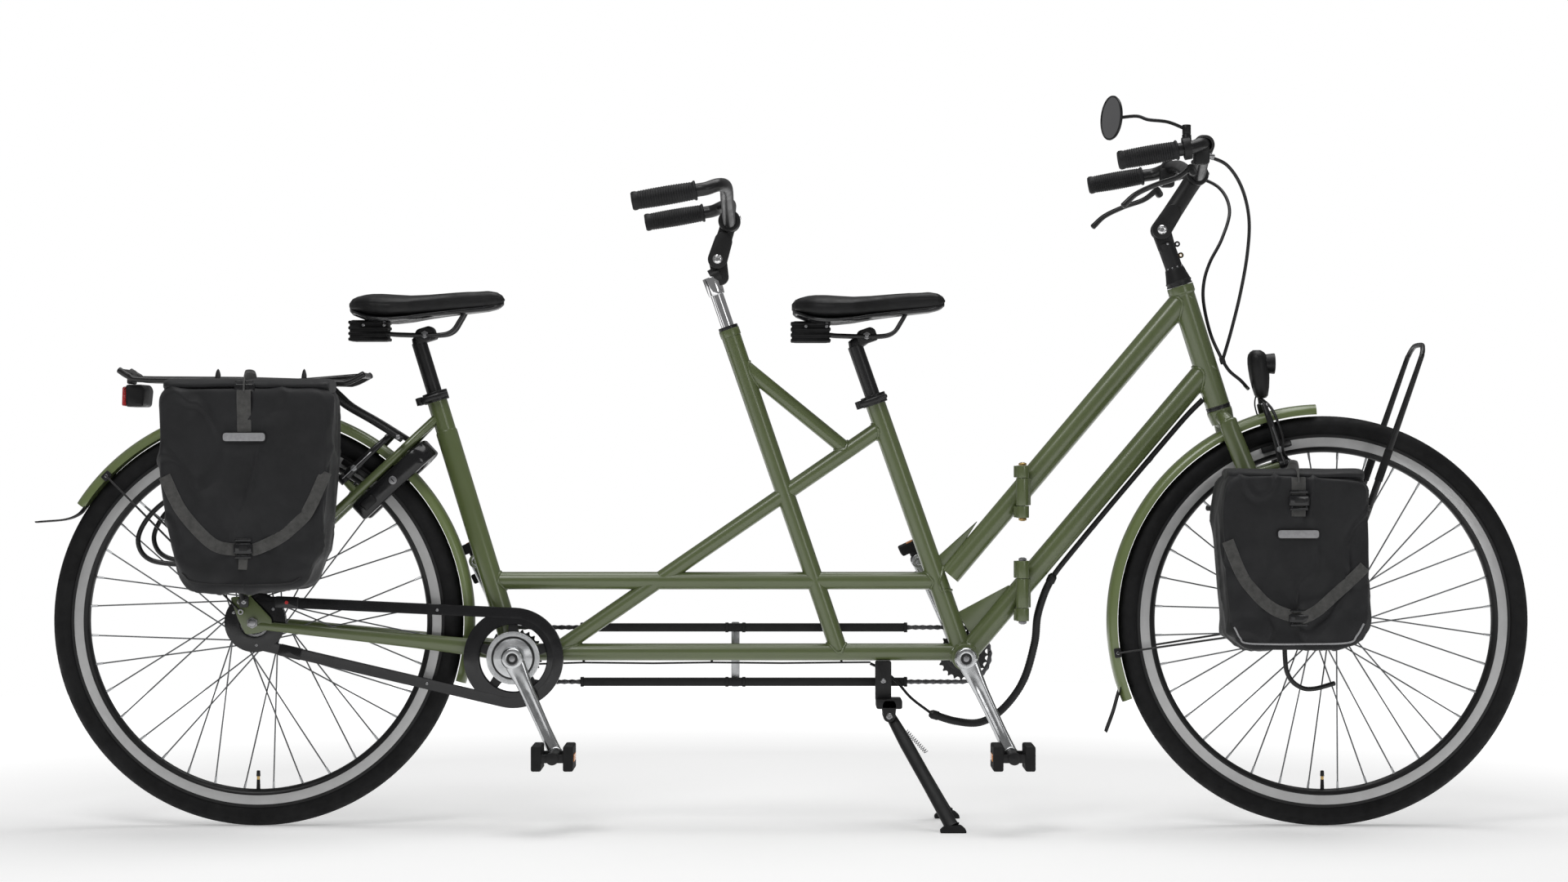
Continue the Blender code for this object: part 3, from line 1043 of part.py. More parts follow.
# ---------------------------------------------------------------- build
def build():
    for ob in list(bpy.data.objects):
        bpy.data.objects.remove(ob, do_unlink=True)

    rear_frame()
    hinge_pins()
    rear_axle()
    rear_fender()
    rear_rack()
    rear_pannier()
    tail_light()
    chains()
    chain_guard()
    sync_chain_tubes()
    ring_lock()
    kickstand_bracket()
    kickstand(axis_empty("kickstand_axis", STAND_PIVOT))
    rear_wheel(axis_empty("rear_wheel_axis", REAR_AXLE))
    rear_sprocket(axis_empty("rear_sprocket_axis", REAR_AXLE))

    for label, crank in (("captain", CAPTAIN_CRANK), ("stoker", STOKER_CRANK)):
        axis = axis_empty(label + "_crank_axis", crank)
        right_crank(label + "_crank_right", crank, axis, label == "stoker")
        left_crank(label + "_crank_left", crank, axis)
        for side, name in ((-1, "right"), (1, "left")):
            pedal_axis = axis_empty(f"pedal_{label}_{name}_axis", crank_point(crank, side))
            pedal(f"pedal_{label}_{name}", crank, side, pedal_axis)
    seats = (("captain", CAPTAIN_SEAT_TOP, CAPTAIN_CRANK, Vector((0, 0, 0))),
             ("stoker", STOKER_SEAT_TOP, STOKER_CRANK, SADDLE_SHIFT))
    for label, top, crank, shift in seats:
        seat_group(label, top, crank, shift, axis_empty(label + "_seat_axis", top),
                   axis_empty(label + "_qr_axis", top))

    front_frame(axis_empty("fold_axis", Vector((HINGE_X, HINGE_Y, UPPER_FOLD))))
    steering = axis_empty("steering_axis", HEAD_FOOT)
    fork(steering)
    front_fender(steering)
    headlamp(steering)
    front_rack(steering)
    front_pannier(steering)
    captain_quill(steering)
    front_wheel(axis_empty("front_wheel_axis", FRONT_AXLE))
    front_stand(axis_empty("front_stand_axis", HOOP_PIVOT))
    for label, brake, up, normal, axle in (("front", FRONT_BRAKE, STEER_UP, STEER_FRONT, FRONT_AXLE),
                                           ("rear", REAR_BRAKE, STAY_DIRECTION, STAY_NORMAL, REAR_AXLE)):
        pivots = {name: axis_empty(f"{label}_brake_{name}_axis", Vector((brake.x, side * brake.y, brake.z)))
                  for side, name in ((-1, "right"), (1, "left"))}
        brake_arms(label, brake, up, normal, axle, pivots)
    captain_bars = axis_empty("captain_stem_axis", CAPTAIN_PIVOT)
    captain_handlebar(captain_bars)
    for side, name in ((-1, "right"), (1, "left")):
        captain_grip("captain_grip_" + name, side, captain_bars)
        pivot = Vector((LEVER_PIVOT.x, side * LEVER_PIVOT.y, LEVER_PIVOT.z))
        brake_lever("brake_lever_" + name, side, axis_empty(f"brake_lever_{name}_axis", pivot))
    mirror(axis_empty("mirror_axis", Vector((0.6560, -GRIP_Y + 0.0045, 1.1590))))
    stoker_post(axis_empty("stoker_post_axis", STEM_TUBE_TOP))
    stoker_handlebar(axis_empty("stoker_stem_axis", STOKER_PIVOT))
    control_cables()
    fold_conduit()


build()
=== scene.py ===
import bmesh
import bpy
import numpy as np
from math import asin, atan2, copysign, cos, degrees, exp, hypot, pi, radians, sin, sqrt
from mathutils import Matrix, Vector, noise
from mathutils.bvhtree import BVHTree


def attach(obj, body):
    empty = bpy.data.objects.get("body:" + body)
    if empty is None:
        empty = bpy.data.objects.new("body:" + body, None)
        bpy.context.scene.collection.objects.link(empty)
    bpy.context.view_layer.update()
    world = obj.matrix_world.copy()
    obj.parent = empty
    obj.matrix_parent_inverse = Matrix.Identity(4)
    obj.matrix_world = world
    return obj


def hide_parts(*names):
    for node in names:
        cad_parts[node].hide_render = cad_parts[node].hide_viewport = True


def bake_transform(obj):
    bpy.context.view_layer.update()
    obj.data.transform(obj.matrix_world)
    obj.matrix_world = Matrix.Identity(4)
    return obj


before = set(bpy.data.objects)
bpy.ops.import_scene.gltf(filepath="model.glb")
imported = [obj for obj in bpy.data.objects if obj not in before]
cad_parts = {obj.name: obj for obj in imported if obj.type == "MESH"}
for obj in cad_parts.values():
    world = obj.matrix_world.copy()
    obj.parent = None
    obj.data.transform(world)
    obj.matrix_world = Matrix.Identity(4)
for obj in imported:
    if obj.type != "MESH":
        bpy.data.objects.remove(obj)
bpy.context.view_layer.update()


def mm(text, side=1):
    """Metres from words in millimetres: numbers, or points with commas. The y of a point turns with side."""
    rows = [[float(n) / 1000 for n in word.split(",")] for word in text.split()]
    if len(rows[0]) == 3:
        rows = [(x, side * y, z) for x, y, z in rows]
    return [row[0] if len(row) == 1 else tuple(row) for row in rows]


def at(x, y, z):
    """Place in metres from millimetres."""
    return Vector((x / 1000, y / 1000, z / 1000))


def mirrored(place, side):
    """The same place on the side given by the sign."""
    return Vector((place.x, side * place.y, place.z))


def heading_at(angle):
    """Unit vector in the plane of the wheels, from +X towards +Z."""
    return Vector((cos(angle), 0.0, sin(angle)))


def circle(count):
    """Cosine and sine at even steps round a circle."""
    return [(cos(2 * pi * k / count), sin(2 * pi * k / count)) for k in range(count)]


def power_of(value, power):
    """A power that keeps the sign."""
    return copysign(abs(value) ** power, value)


X_AXIS = Vector((1.0, 0.0, 0.0))
Y_AXIS = Vector((0.0, 1.0, 0.0))
Z_AXIS = Vector((0.0, 0.0, 1.0))
SIDES = ((-1, "right"), (1, "left"))

# ---------------------------------------------------------------- positions, in metres
REAR_AXLE = at(-890, 0, 348)
FRONT_AXLE = at(919, 0, 348)
STOKER_CRANK = at(-454, 0, 287.5)
CAPTAIN_CRANK = at(309, 0, 287.5)
CRANK_HEIGHT = 0.2875
CRANK_LENGTH = 0.175
CRANK_ANGLE = radians(-65)
STOKER_SEAT_TOP = at(-590, 0, 731)
CAPTAIN_SEAT_TOP = at(155, 0, 726)
STEM_TUBE_TOP = at(-91, 0, 843)
STEM_TUBE_FOOT = at(96, 0, 298)
HEAD_TOP = at(676, 0, 917)
HEAD_FOOT = at(741, 0, 711.5)
STEER_UP = (HEAD_TOP - HEAD_FOOT).normalized()
STEER_FRONT = Vector((STEER_UP.z, 0.0, -STEER_UP.x))
HINGE_X = 0.4063
HINGE_Y = -0.033
UPPER_FOLD = 0.5695
LOWER_FOLD = 0.4045
UPPER_KNUCKLES = (0.5235, 0.544, 0.591, 0.612)
LOWER_KNUCKLES = (0.349, 0.371, 0.421, 0.451)
CHAIN_LINE = 0.046
CHAIN_PITCH = 0.0127
DRIVE_TEETH = 38
SPROCKET_TEETH = 18
SYNC_TEETH = 23
SPOKE_COUNT = 36
SPOKE_LEAN = radians(58)
NIPPLE_RADIUS = 0.286
GRIP_Y = 0.28
CAPTAIN_PIVOT = at(644, 0, 1012)
CAPTAIN_CLAMP = at(704, 0, 1105)
STOKER_PIVOT = at(-110, 0, 962)
STOKER_CLAMP = at(-90, 0, 1027)
STAND_PIVOT = at(181, 0, 188)
FRONT_BRAKE = at(847, 40, 614.6)
REAR_BRAKE = at(-742, 42, 590)
STAY_DIRECTION = at(729.5, 0, 684)
STAY_NORMAL = at(-684, 0, 729.5)
SADDLE_SHIFT = at(-749, 0, 2)


# ---------------------------------------------------------------- mesh helpers
def across(direction):
    """Two unit vectors square to a direction, the first as near to +Y as it can be."""
    direction = direction.normalized()
    side = Y_AXIS - direction * direction.dot(Y_AXIS)
    if side.length < 0.1:
        side = Z_AXIS - direction * direction.z
    side.normalize()
    return side, direction.cross(side)


def curve(points, steps):
    """Catmull-Rom curve through points, with some steps to each span."""
    points = [Vector(p) for p in points]
    ends = [points[0] * 2 - points[1]] + points + [points[-1] * 2 - points[-2]]
    path = []
    for i in range(1, len(ends) - 2):
        a, b, c, d = ends[i - 1:i + 3]
        for k in range(steps):
            t = k / steps
            path.append(0.5 * (2 * b + (c - a) * t + (2 * a - 5 * b + 4 * c - d) * t ** 2
                + (3 * b - a - 3 * c + d) * t ** 3))
    path.append(points[-1])
    return path


def spread(values, count):
    """Values at even steps along a list, straight between them."""
    return list(np.interp(np.linspace(0, len(values) - 1, count), range(len(values)), values))


def rounded(points, radius, steps=4):
    """2D outline with its corners rounded."""
    result = []
    count = len(points)
    for i in range(count):
        before, here, after = (Vector(points[(i + k) % count]) for k in (-1, 0, 1))
        cut = min(radius, (before - here).length * 0.45, (after - here).length * 0.45)
        start = here + (before - here).normalized() * cut
        end = here + (after - here).normalized() * cut
        for k in range(steps + 1):
            t = k / steps
            result.append(tuple(start * (1 - t) ** 2 + here * 2 * t * (1 - t) + end * t ** 2))
    return result


def inset(points, distance):
    """2D outline moved inwards a little, corner by corner."""
    count = len(points)
    area = sum(points[i][0] * points[(i + 1) % count][1] - points[(i + 1) % count][0] * points[i][1]
        for i in range(count))
    turn = 1 if area > 0 else -1
    result = []
    for i in range(count):
        before, here, after = (Vector(points[(i + k) % count]) for k in (-1, 0, 1))
        along = ((here - before).normalized() + (after - here).normalized())
        if along.length < 1e-6:
            result.append(tuple(here))
            continue
        along.normalize()
        result.append((here.x - turn * along.y * distance, here.y + turn * along.x * distance))
    return result


def arc(x, z, radius, start, end, steps):
    """Points (x, z) on an arc, angles in degrees from +X towards +Z."""
    turn = [radians(start + (end - start) * i / steps) for i in range(steps + 1)]
    return [(x + radius * cos(a), z + radius * sin(a)) for a in turn]


def link_outline(start, end, start_radius, end_radius, steps=12):
    """Outline of a flat link with two round ends, as (x, z)."""
    (x0, z0), (x1, z1) = start, end
    heading = degrees(atan2(z1 - z0, x1 - x0))
    span = hypot(x1 - x0, z1 - z0)
    lean = degrees(asin((start_radius - end_radius) / span))
    return (arc(x1, z1, end_radius, heading - 90 + lean, heading + 90 - lean, steps)
        + arc(x0, z0, start_radius, heading + 90 - lean, heading + 270 + lean, steps))


def basis(x_direction, y_direction=Y_AXIS):
    """Rotation matrix with x_direction and y_direction as its first two columns."""
    x = Vector(x_direction).normalized()
    y = Vector(y_direction).normalized()
    return Matrix((x, y, x.cross(y))).transposed()


UPRIGHT = Matrix.Identity(3)


class Build:
    """Collects solids into one mesh piece, with a material to each."""

    def __init__(self, material):
        self.verts, self.faces, self.slots, self.materials = [], [], [], []
        self.use(material)

    def use(self, material):
        if material not in self.materials:
            self.materials.append(material)
        self.current = self.materials.index(material)
        return self

    def add(self, verts, faces):
        base = len(self.verts)
        self.verts.extend(tuple(v) for v in verts)
        self.faces.extend(tuple(base + i for i in face) for face in faces)
        self.slots.extend([self.current] * len(faces))

    def rings(self, rings, loop=False):
        rows = [list(ring) for ring in rings]
        count, sides = len(rows), len(rows[0])
        faces = []
        for i in range(count if loop else count - 1):
            low, high = i * sides, ((i + 1) % count) * sides
            for k in range(sides):
                j = (k + 1) % sides
                faces.append((low + k, low + j, high + j, high + k))
        if not loop:
            faces.append(tuple(range(sides)))
            faces.append(tuple((count - 1) * sides + k for k in range(sides)))
        self.add([p for row in rows for p in row], faces)

    def sweep(self, points, radii, sides=24, wides=None, cap=0.0, loop=False, power=1.0):
        """Bar along points; radii and half widths towards Y may change along it; cap rounds its ends."""
        points = [Vector(p) for p in points]
        radii = spread(radii, len(points)) if isinstance(radii, (list, tuple)) else [radii] * len(points)
        wides = radii if wides is None else wides
        wides = spread(wides, len(points)) if isinstance(wides, (list, tuple)) else [wides] * len(points)
        count = len(points)
        rings, side_before = [], None
        for i, point in enumerate(points):
            after = points[(i + 1) % count] if loop else points[min(i + 1, count - 1)]
            before = points[i - 1] if loop else points[max(i - 1, 0)]
            tangent = (after - before).normalized()
            if side_before is None:
                side_before = across(tangent)[0]
            side = (side_before - tangent * tangent.dot(side_before)).normalized()
            rise = tangent.cross(side)
            side_before = side
            shells = [(0.0, 1.0)]
            if cap and not loop and i in (0, count - 1):
                shells = [(sin(t), cos(t)) for t in (1.35, 1.0, 0.6, 0.25)] + [(0.0, 1.0)]
                shells = shells if i == 0 else shells[::-1]
            for out, size in shells:
                shift = tangent * (out * cap * (-1 if i == 0 else 1))
                ring = []
                for c, s in circle(sides):
                    c, s = power_of(c, power), power_of(s, power)
                    ring.append(point + shift + side * (wides[i] * size * c) + rise * (radii[i] * size * s))
                rings.append(ring)
        self.rings(rings, loop)
        return self

    def tube(self, start, end, radius, end_radius=None, sides=32, cap=0.0):
        start, end = Vector(start), Vector(end)
        return self.sweep([start, end], [radius, radius if end_radius is None else end_radius], sides,
            cap=cap)

    def lathe(self, profile, centre, axis=Y_AXIS, sides=48, closed=False, edge=0.0):
        """Solid of revolution of (radius, height) points. closed makes a ring; edge rounds the corners."""
        centre, axis = Vector(centre), Vector(axis).normalized()
        side, rise = across(axis)
        if edge:
            profile = rounded(profile, edge, 3) if closed else self.round_open(profile, edge)
        rings = []
        for radius, height in profile:
            radius = max(radius, 1e-5)
            rings.append([centre + axis * height + side * (radius * c) + rise * (radius * s)
                for c, s in circle(sides)])
        self.rings(rings, closed)
        return self

    @staticmethod
    def round_open(profile, edge):
        result = [tuple(profile[0])]
        for i in range(1, len(profile) - 1):
            before, here, after = (Vector(profile[i + k]) for k in (-1, 0, 1))
            cut = min(edge, (before - here).length * 0.45, (after - here).length * 0.45)
            start = here + (before - here).normalized() * cut
            end = here + (after - here).normalized() * cut
            for k in range(4):
                t = k / 3
                result.append(tuple(start * (1 - t) ** 2 + here * 2 * t * (1 - t) + end * t ** 2))
        result.append(tuple(profile[-1]))
        return result

    def disc(self, centre, axis, radius, half, sides=32, edge=0.0006):
        return self.lathe([(0, -half), (radius, -half), (radius, half), (0, half)], centre, axis, sides,
            edge=edge)

    def ring(self, centre, axis, inner, outer, half, sides=40, edge=0.0005):
        return self.lathe([(inner, -half), (outer, -half), (outer, half), (inner, half)], centre, axis,
            sides, closed=True, edge=edge)

    def prism(self, outline, low, high, edge=0.0008, centre=(0, 0, 0), turn=UPRIGHT):
        """Outline of (x, z) points given thickness from low to high along Y, with eased edges."""
        centre = Vector(centre)
        edge = min(edge, abs(high - low) * 0.45)
        layers = [(low, edge), (low + edge * 0.3, edge * 0.3), (low + edge, 0.0), (high - edge, 0.0),
            (high - edge * 0.3, edge * 0.3), (high, edge)]
        rings = []
        for y, shrink in layers:
            shape = inset(outline, shrink) if shrink else outline
            rings.append([centre + turn @ Vector((x, y, z)) for x, z in shape])
        self.rings(rings)
        return self

    def box(self, centre, size, turn=UPRIGHT, corner=0.002, edge=0.001):
        x, y, z = (s / 2 for s in size)
        outline = rounded([(-x, -z), (x, -z), (x, z), (-x, z)], corner, 4)
        return self.prism(outline, -y, y, edge, centre, turn)

    def finish(self, name, body, nodes=(), sharp=38):
        """The mesh as one piece that rides a body and stands for CAD nodes."""
        mesh = bpy.data.meshes.new(name)
        mesh.from_pydata(self.verts, [], self.faces)
        for material in self.materials:
            mesh.materials.append(MATERIALS[material])
        mesh.polygons.foreach_set("material_index", self.slots)
        bm = bmesh.new()
        bm.from_mesh(mesh)
        bmesh.ops.recalc_face_normals(bm, faces=bm.faces)
        bm.to_mesh(mesh)
        bm.free()
        mesh.shade_smooth()
        mesh.set_sharp_from_angle(angle=radians(sharp))
        piece = bpy.data.objects.new(name, mesh)
        bpy.context.scene.collection.objects.link(piece)
        if body:
            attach(piece, body)
        if nodes:
            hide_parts(*([nodes] if isinstance(nodes, str) else nodes))
        return piece


def weld(build, outer, inner, radius, main_start, main_end, main_radius, bead=0.0021):
    """Bead where a branch tube, running from outer to inner, enters a main tube."""
    outer, inner = Vector(outer), Vector(inner)
    start, axis = Vector(main_start), (Vector(main_end) - Vector(main_start)).normalized()
    along = (inner - outer).normalized()
    side, rise = across(along)
    points = []
    for c, s in circle(40):
        origin = outer + side * (radius * c) + rise * (radius * s)
        offset = origin - start
        a_vec = along - axis * along.dot(axis)
        b_vec = offset - axis * offset.dot(axis)
        a, b, c = a_vec.dot(a_vec), 2 * a_vec.dot(b_vec), b_vec.dot(b_vec) - main_radius ** 2
        root = b * b - 4 * a * c
        distance = (-b - sqrt(max(root, 0.0))) / (2 * a)
        points.append(origin + along * distance)
    middle = sum(points, Vector()) / len(points)
    points = [p + (p - middle).normalized() * 0.0004 - along * 0.0003 for p in points]
    size = [bead * (1 + 0.1 * sin(k * 2.4)) for k in range(40)]
    build.sweep(points, size, sides=8, loop=True)


# ---------------------------------------------------------------- materials
MATERIALS = {}


def node(tree, kind, inputs=None, **settings):
    item = tree.nodes.new(kind)
    for key, value in settings.items():
        setattr(item, key, value)
    for key, value in (inputs or {}).items():
        if isinstance(value, bpy.types.NodeSocket):
            tree.links.new(value, item.inputs[key])
        else:
            item.inputs[key].default_value = value
    return item


def scaled(colour, factor):
    return (*[min(1.0, c * factor) for c in colour], 1.0)


def material(name, colour, rough, metal=0.0, vary=0.1, scale=25.0, rough_vary=0.06, rough_scale=60.0,
        bumps=(), tint=None, edge_wear_and_highlight=0.0, **sockets):
    """Procedural finish: mottled colour and roughness. bumps has (kind, scale, strength, distance)."""
    made = bpy.data.materials.new(name)
    made.use_nodes = True
    tree = made.node_tree
    shader = tree.nodes["Principled BSDF"]
    place = node(tree, "ShaderNodeTexCoord").outputs["Object"]
    mottle = node(tree, "ShaderNodeTexNoise",
        {"Vector": place, "Scale": scale, "Detail": 6.0, "Roughness": 0.6})
    ramp = node(tree, "ShaderNodeValToRGB", {"Fac": mottle.outputs["Fac"]})
    ramp.color_ramp.elements[0].position = 0.32
    ramp.color_ramp.elements[1].position = 0.7
    ramp.color_ramp.elements[0].color = scaled(colour, 1 - vary)
    ramp.color_ramp.elements[1].color = scaled(tint or colour, 1 + vary)
    shade = ramp.outputs["Color"]
    # Convex edges found by Pointiness are lightened towards 2.2 times the colour: partly edge wear, partly a
    # painted highlight.
    if edge_wear_and_highlight:
        edges = node(tree, "ShaderNodeNewGeometry").outputs["Pointiness"]
        mask = node(tree, "ShaderNodeMapRange",
            {"Value": edges, "From Min": 0.53, "From Max": 0.62, "To Max": edge_wear_and_highlight})
        mixed = node(tree, "ShaderNodeMix", {0: mask.outputs[0], 6: shade, 7: scaled(colour, 2.2)},
            data_type="RGBA")
        shade = mixed.outputs[2]
    tree.links.new(shade, shader.inputs["Base Color"])
    gloss = node(tree, "ShaderNodeTexNoise", {"Vector": place, "Scale": rough_scale, "Detail": 4.0})
    spread_rough = node(tree, "ShaderNodeMapRange", {"Value": gloss.outputs["Fac"], "From Min": 0.3,
        "From Max": 0.7, "To Min": max(0.02, rough - rough_vary), "To Max": min(1.0, rough + rough_vary)})
    tree.links.new(spread_rough.outputs[0], shader.inputs["Roughness"])
    normal = None
    for kind, size, strength, distance in bumps:
        if kind == "noise":
            field = node(tree, "ShaderNodeTexNoise",
                {"Vector": place, "Scale": size, "Detail": 3.0}).outputs["Fac"]
        elif kind == "grain":
            field = node(tree, "ShaderNodeTexVoronoi", {"Vector": place, "Scale": size}).outputs["Distance"]
        elif kind == "weave":
            warp = node(tree, "ShaderNodeTexWave", {"Vector": place, "Scale": size}, bands_direction="X")
            weft = node(tree, "ShaderNodeTexWave", {"Vector": place, "Scale": size}, bands_direction="Z")
            field = node(tree, "ShaderNodeMath", {0: warp.outputs["Fac"], 1: weft.outputs["Fac"]},
                operation="MAXIMUM").outputs[0]
        else:
            field = node(tree, "ShaderNodeTexWave", {"Vector": place, "Scale": size, "Distortion": 0.4},
                bands_direction=kind).outputs["Fac"]
        values = {"Height": field, "Strength": strength, "Distance": distance}
        if normal is not None:
            values["Normal"] = normal
        normal = node(tree, "ShaderNodeBump", values).outputs["Normal"]
    if normal is not None:
        tree.links.new(normal, shader.inputs["Normal"])
    shader.inputs["Metallic"].default_value = metal
    for key, value in sockets.items():
        shader.inputs[key.replace("_", " ")].default_value = value
    MATERIALS[name] = made
    return made


def turned_metal(name, colour, rough, centre, metal=1.0):
    """Metal with fine machining lines in rings round a wheel's axle."""
    made = material(name, colour, rough, metal, vary=0.05, scale=40.0)
    tree = made.node_tree
    shader = tree.nodes["Principled BSDF"]
    place = tree.nodes["Texture Coordinate"].outputs["Object"]
    shifted = node(tree, "ShaderNodeVectorMath", {0: place, 1: tuple(centre)},
        operation="SUBTRACT").outputs[0]
    lines = node(tree, "ShaderNodeTexWave", {"Vector": shifted, "Scale": 900.0, "Distortion": 0.3},
        wave_type="RINGS", rings_direction="Y")
    bump = node(tree, "ShaderNodeBump",
        {"Height": lines.outputs["Fac"], "Strength": 0.25, "Distance": 0.0002})
    tree.links.new(bump.outputs["Normal"], shader.inputs["Normal"])
    return made


OLIVE = (0.101, 0.13, 0.046)
FLOOR_RADIUS = 3.6
WALL_RADIUS = 14.0
BEND_RADIUS = 2.0
WALL_HEIGHT = 9.0
ROUND_STEPS = 96
# The fender coat is the olive paint made 1.5 times lighter: partly the fenders' paler paint, partly a
# painted highlight.
for coat_name, light in (("paint", 1.0), ("fender_paint_and_highlight", 1.5)):
    material(coat_name, scaled(OLIVE, light)[:3], 0.33, vary=0.035, scale=6.0, rough_vary=0.05,
        tint=scaled(OLIVE, light * 1.03)[:3], bumps=[("noise", 110.0, 0.04, 0.0003)], Coat_Weight=0.9,
        Coat_Roughness=0.22)
# black_satin, black_cast and plastic get lightened convex edges: partly edge wear, partly a painted
# highlight.
material("black_satin", (0.009, 0.009, 0.0095), 0.34, vary=0.25, edge_wear_and_highlight=0.25, rough_vary=0.08,
    bumps=[("noise", 1400.0, 0.08, 0.0002)], Coat_Weight=0.2, Coat_Roughness=0.3, Specular_IOR_Level=0.4)
material("black_cast", (0.01, 0.01, 0.0105), 0.46, vary=0.3, edge_wear_and_highlight=0.35,
    bumps=[("noise", 700.0, 0.2, 0.0004)], Specular_IOR_Level=0.35)
material("plastic", (0.0085, 0.0085, 0.009), 0.42, vary=0.2, edge_wear_and_highlight=0.12,
    bumps=[("noise", 1100.0, 0.1, 0.0003)], Specular_IOR_Level=0.35)
material("gloss_plastic", (0.01, 0.01, 0.011), 0.18, vary=0.2, bumps=[("noise", 300.0, 0.03, 0.0003)])
material("rubber", (0.011, 0.011, 0.0115), 0.62, vary=0.3, rough_vary=0.1,
    bumps=[("noise", 900.0, 0.25, 0.0004)], Specular_IOR_Level=0.25)
material("grip_rubber", (0.014, 0.014, 0.015), 0.55, vary=0.25, bumps=[("grain", 1500.0, 0.3, 0.0003)],
    Specular_IOR_Level=0.3)
material("tyre_rubber", (0.008, 0.008, 0.0085), 0.66, vary=0.35, scale=14.0, rough_vary=0.12,
    bumps=[("noise", 1200.0, 0.25, 0.0004)], Specular_IOR_Level=0.22)
material("saddle_cover", (0.008, 0.008, 0.0085), 0.48, vary=0.3, scale=50.0, rough_vary=0.1,
    bumps=[("grain", 900.0, 0.35, 0.0003), ("noise", 160.0, 0.1, 0.0006)], Specular_IOR_Level=0.35)
material("bag_cloth", (0.014, 0.0142, 0.0155), 0.58, vary=0.22, scale=18.0, rough_vary=0.1,
    rough_scale=30.0, bumps=[("weave", 360.0, 0.22, 0.0003), ("noise", 45.0, 0.3, 0.0015)],
    Sheen_Weight=0.08, Sheen_Roughness=0.5, Specular_IOR_Level=0.28)
material("webbing", (0.088, 0.087, 0.084), 0.8, vary=0.25, scale=120.0,
    bumps=[("weave", 700.0, 0.7, 0.0005)], Sheen_Weight=0.2, Sheen_Roughness=0.5, Specular_IOR_Level=0.25)
material("piping", (0.33, 0.33, 0.34), 0.6, vary=0.1)
material("reflective", (0.3, 0.3, 0.31), 0.35, vary=0.12, scale=200.0,
    bumps=[("grain", 2200.0, 0.4, 0.0002)])
material("alloy", (0.62, 0.63, 0.64), 0.2, 1.0, vary=0.05, rough_vary=0.07,
    bumps=[("noise", 260.0, 0.04, 0.0004)])
material("alloy_matt", (0.5, 0.51, 0.52), 0.36, 1.0, vary=0.08, bumps=[("noise", 800.0, 0.1, 0.0003)])
material("chrome", (0.8, 0.8, 0.81), 0.09, 1.0, vary=0.02, rough_vary=0.04)
material("steel", (0.36, 0.36, 0.37), 0.32, 1.0, vary=0.15, rough_vary=0.1,
    bumps=[("noise", 900.0, 0.15, 0.0003)])
material("chain_steel", (0.1, 0.1, 0.105), 0.4, 1.0, vary=0.35, scale=90.0, rough_vary=0.15)
material("brass", (0.62, 0.43, 0.17), 0.3, 1.0, vary=0.12, rough_vary=0.1)
material("spoke", (0.17, 0.175, 0.18), 0.38, 1.0, vary=0.1)
material("rim_black", (0.01, 0.01, 0.0105), 0.36, vary=0.25, bumps=[("noise", 900.0, 0.06, 0.0002)],
    Specular_IOR_Level=0.4)
material("cable", (0.012, 0.012, 0.013), 0.4, vary=0.2, bumps=[("noise", 600.0, 0.08, 0.0003)],
    Specular_IOR_Level=0.35)
material("red_lens", (0.45, 0.012, 0.012), 0.12, vary=0.15, bumps=[("grain", 420.0, 0.8, 0.0012)],
    Coat_Weight=0.6, Coat_Roughness=0.05)
material("amber_lens", (0.75, 0.24, 0.02), 0.15, vary=0.1, bumps=[("grain", 420.0, 0.8, 0.0012)])
material("lamp_glass", (0.78, 0.8, 0.82), 0.06, vary=0.04, bumps=[("X", 220.0, 0.5, 0.0012)],
    Transmission_Weight=0.55, IOR=1.49)
material("mirror_glass", (0.42, 0.42, 0.43), 0.07, 1.0, vary=0.02, rough_vary=0.02)
material("red_mark", (0.55, 0.02, 0.02), 0.4, vary=0.08)
turned_metal("track_front", (0.52, 0.52, 0.52), 0.34, FRONT_AXLE, 0.7)
turned_metal("track_rear", (0.52, 0.52, 0.52), 0.34, REAR_AXLE, 0.7)
turned_metal("lathe_front", (0.55, 0.56, 0.57), 0.26, FRONT_AXLE)
turned_metal("lathe_rear", (0.5, 0.51, 0.52), 0.28, REAR_AXLE)
turned_metal("lathe_stoker", (0.62, 0.63, 0.64), 0.2, STOKER_CRANK)


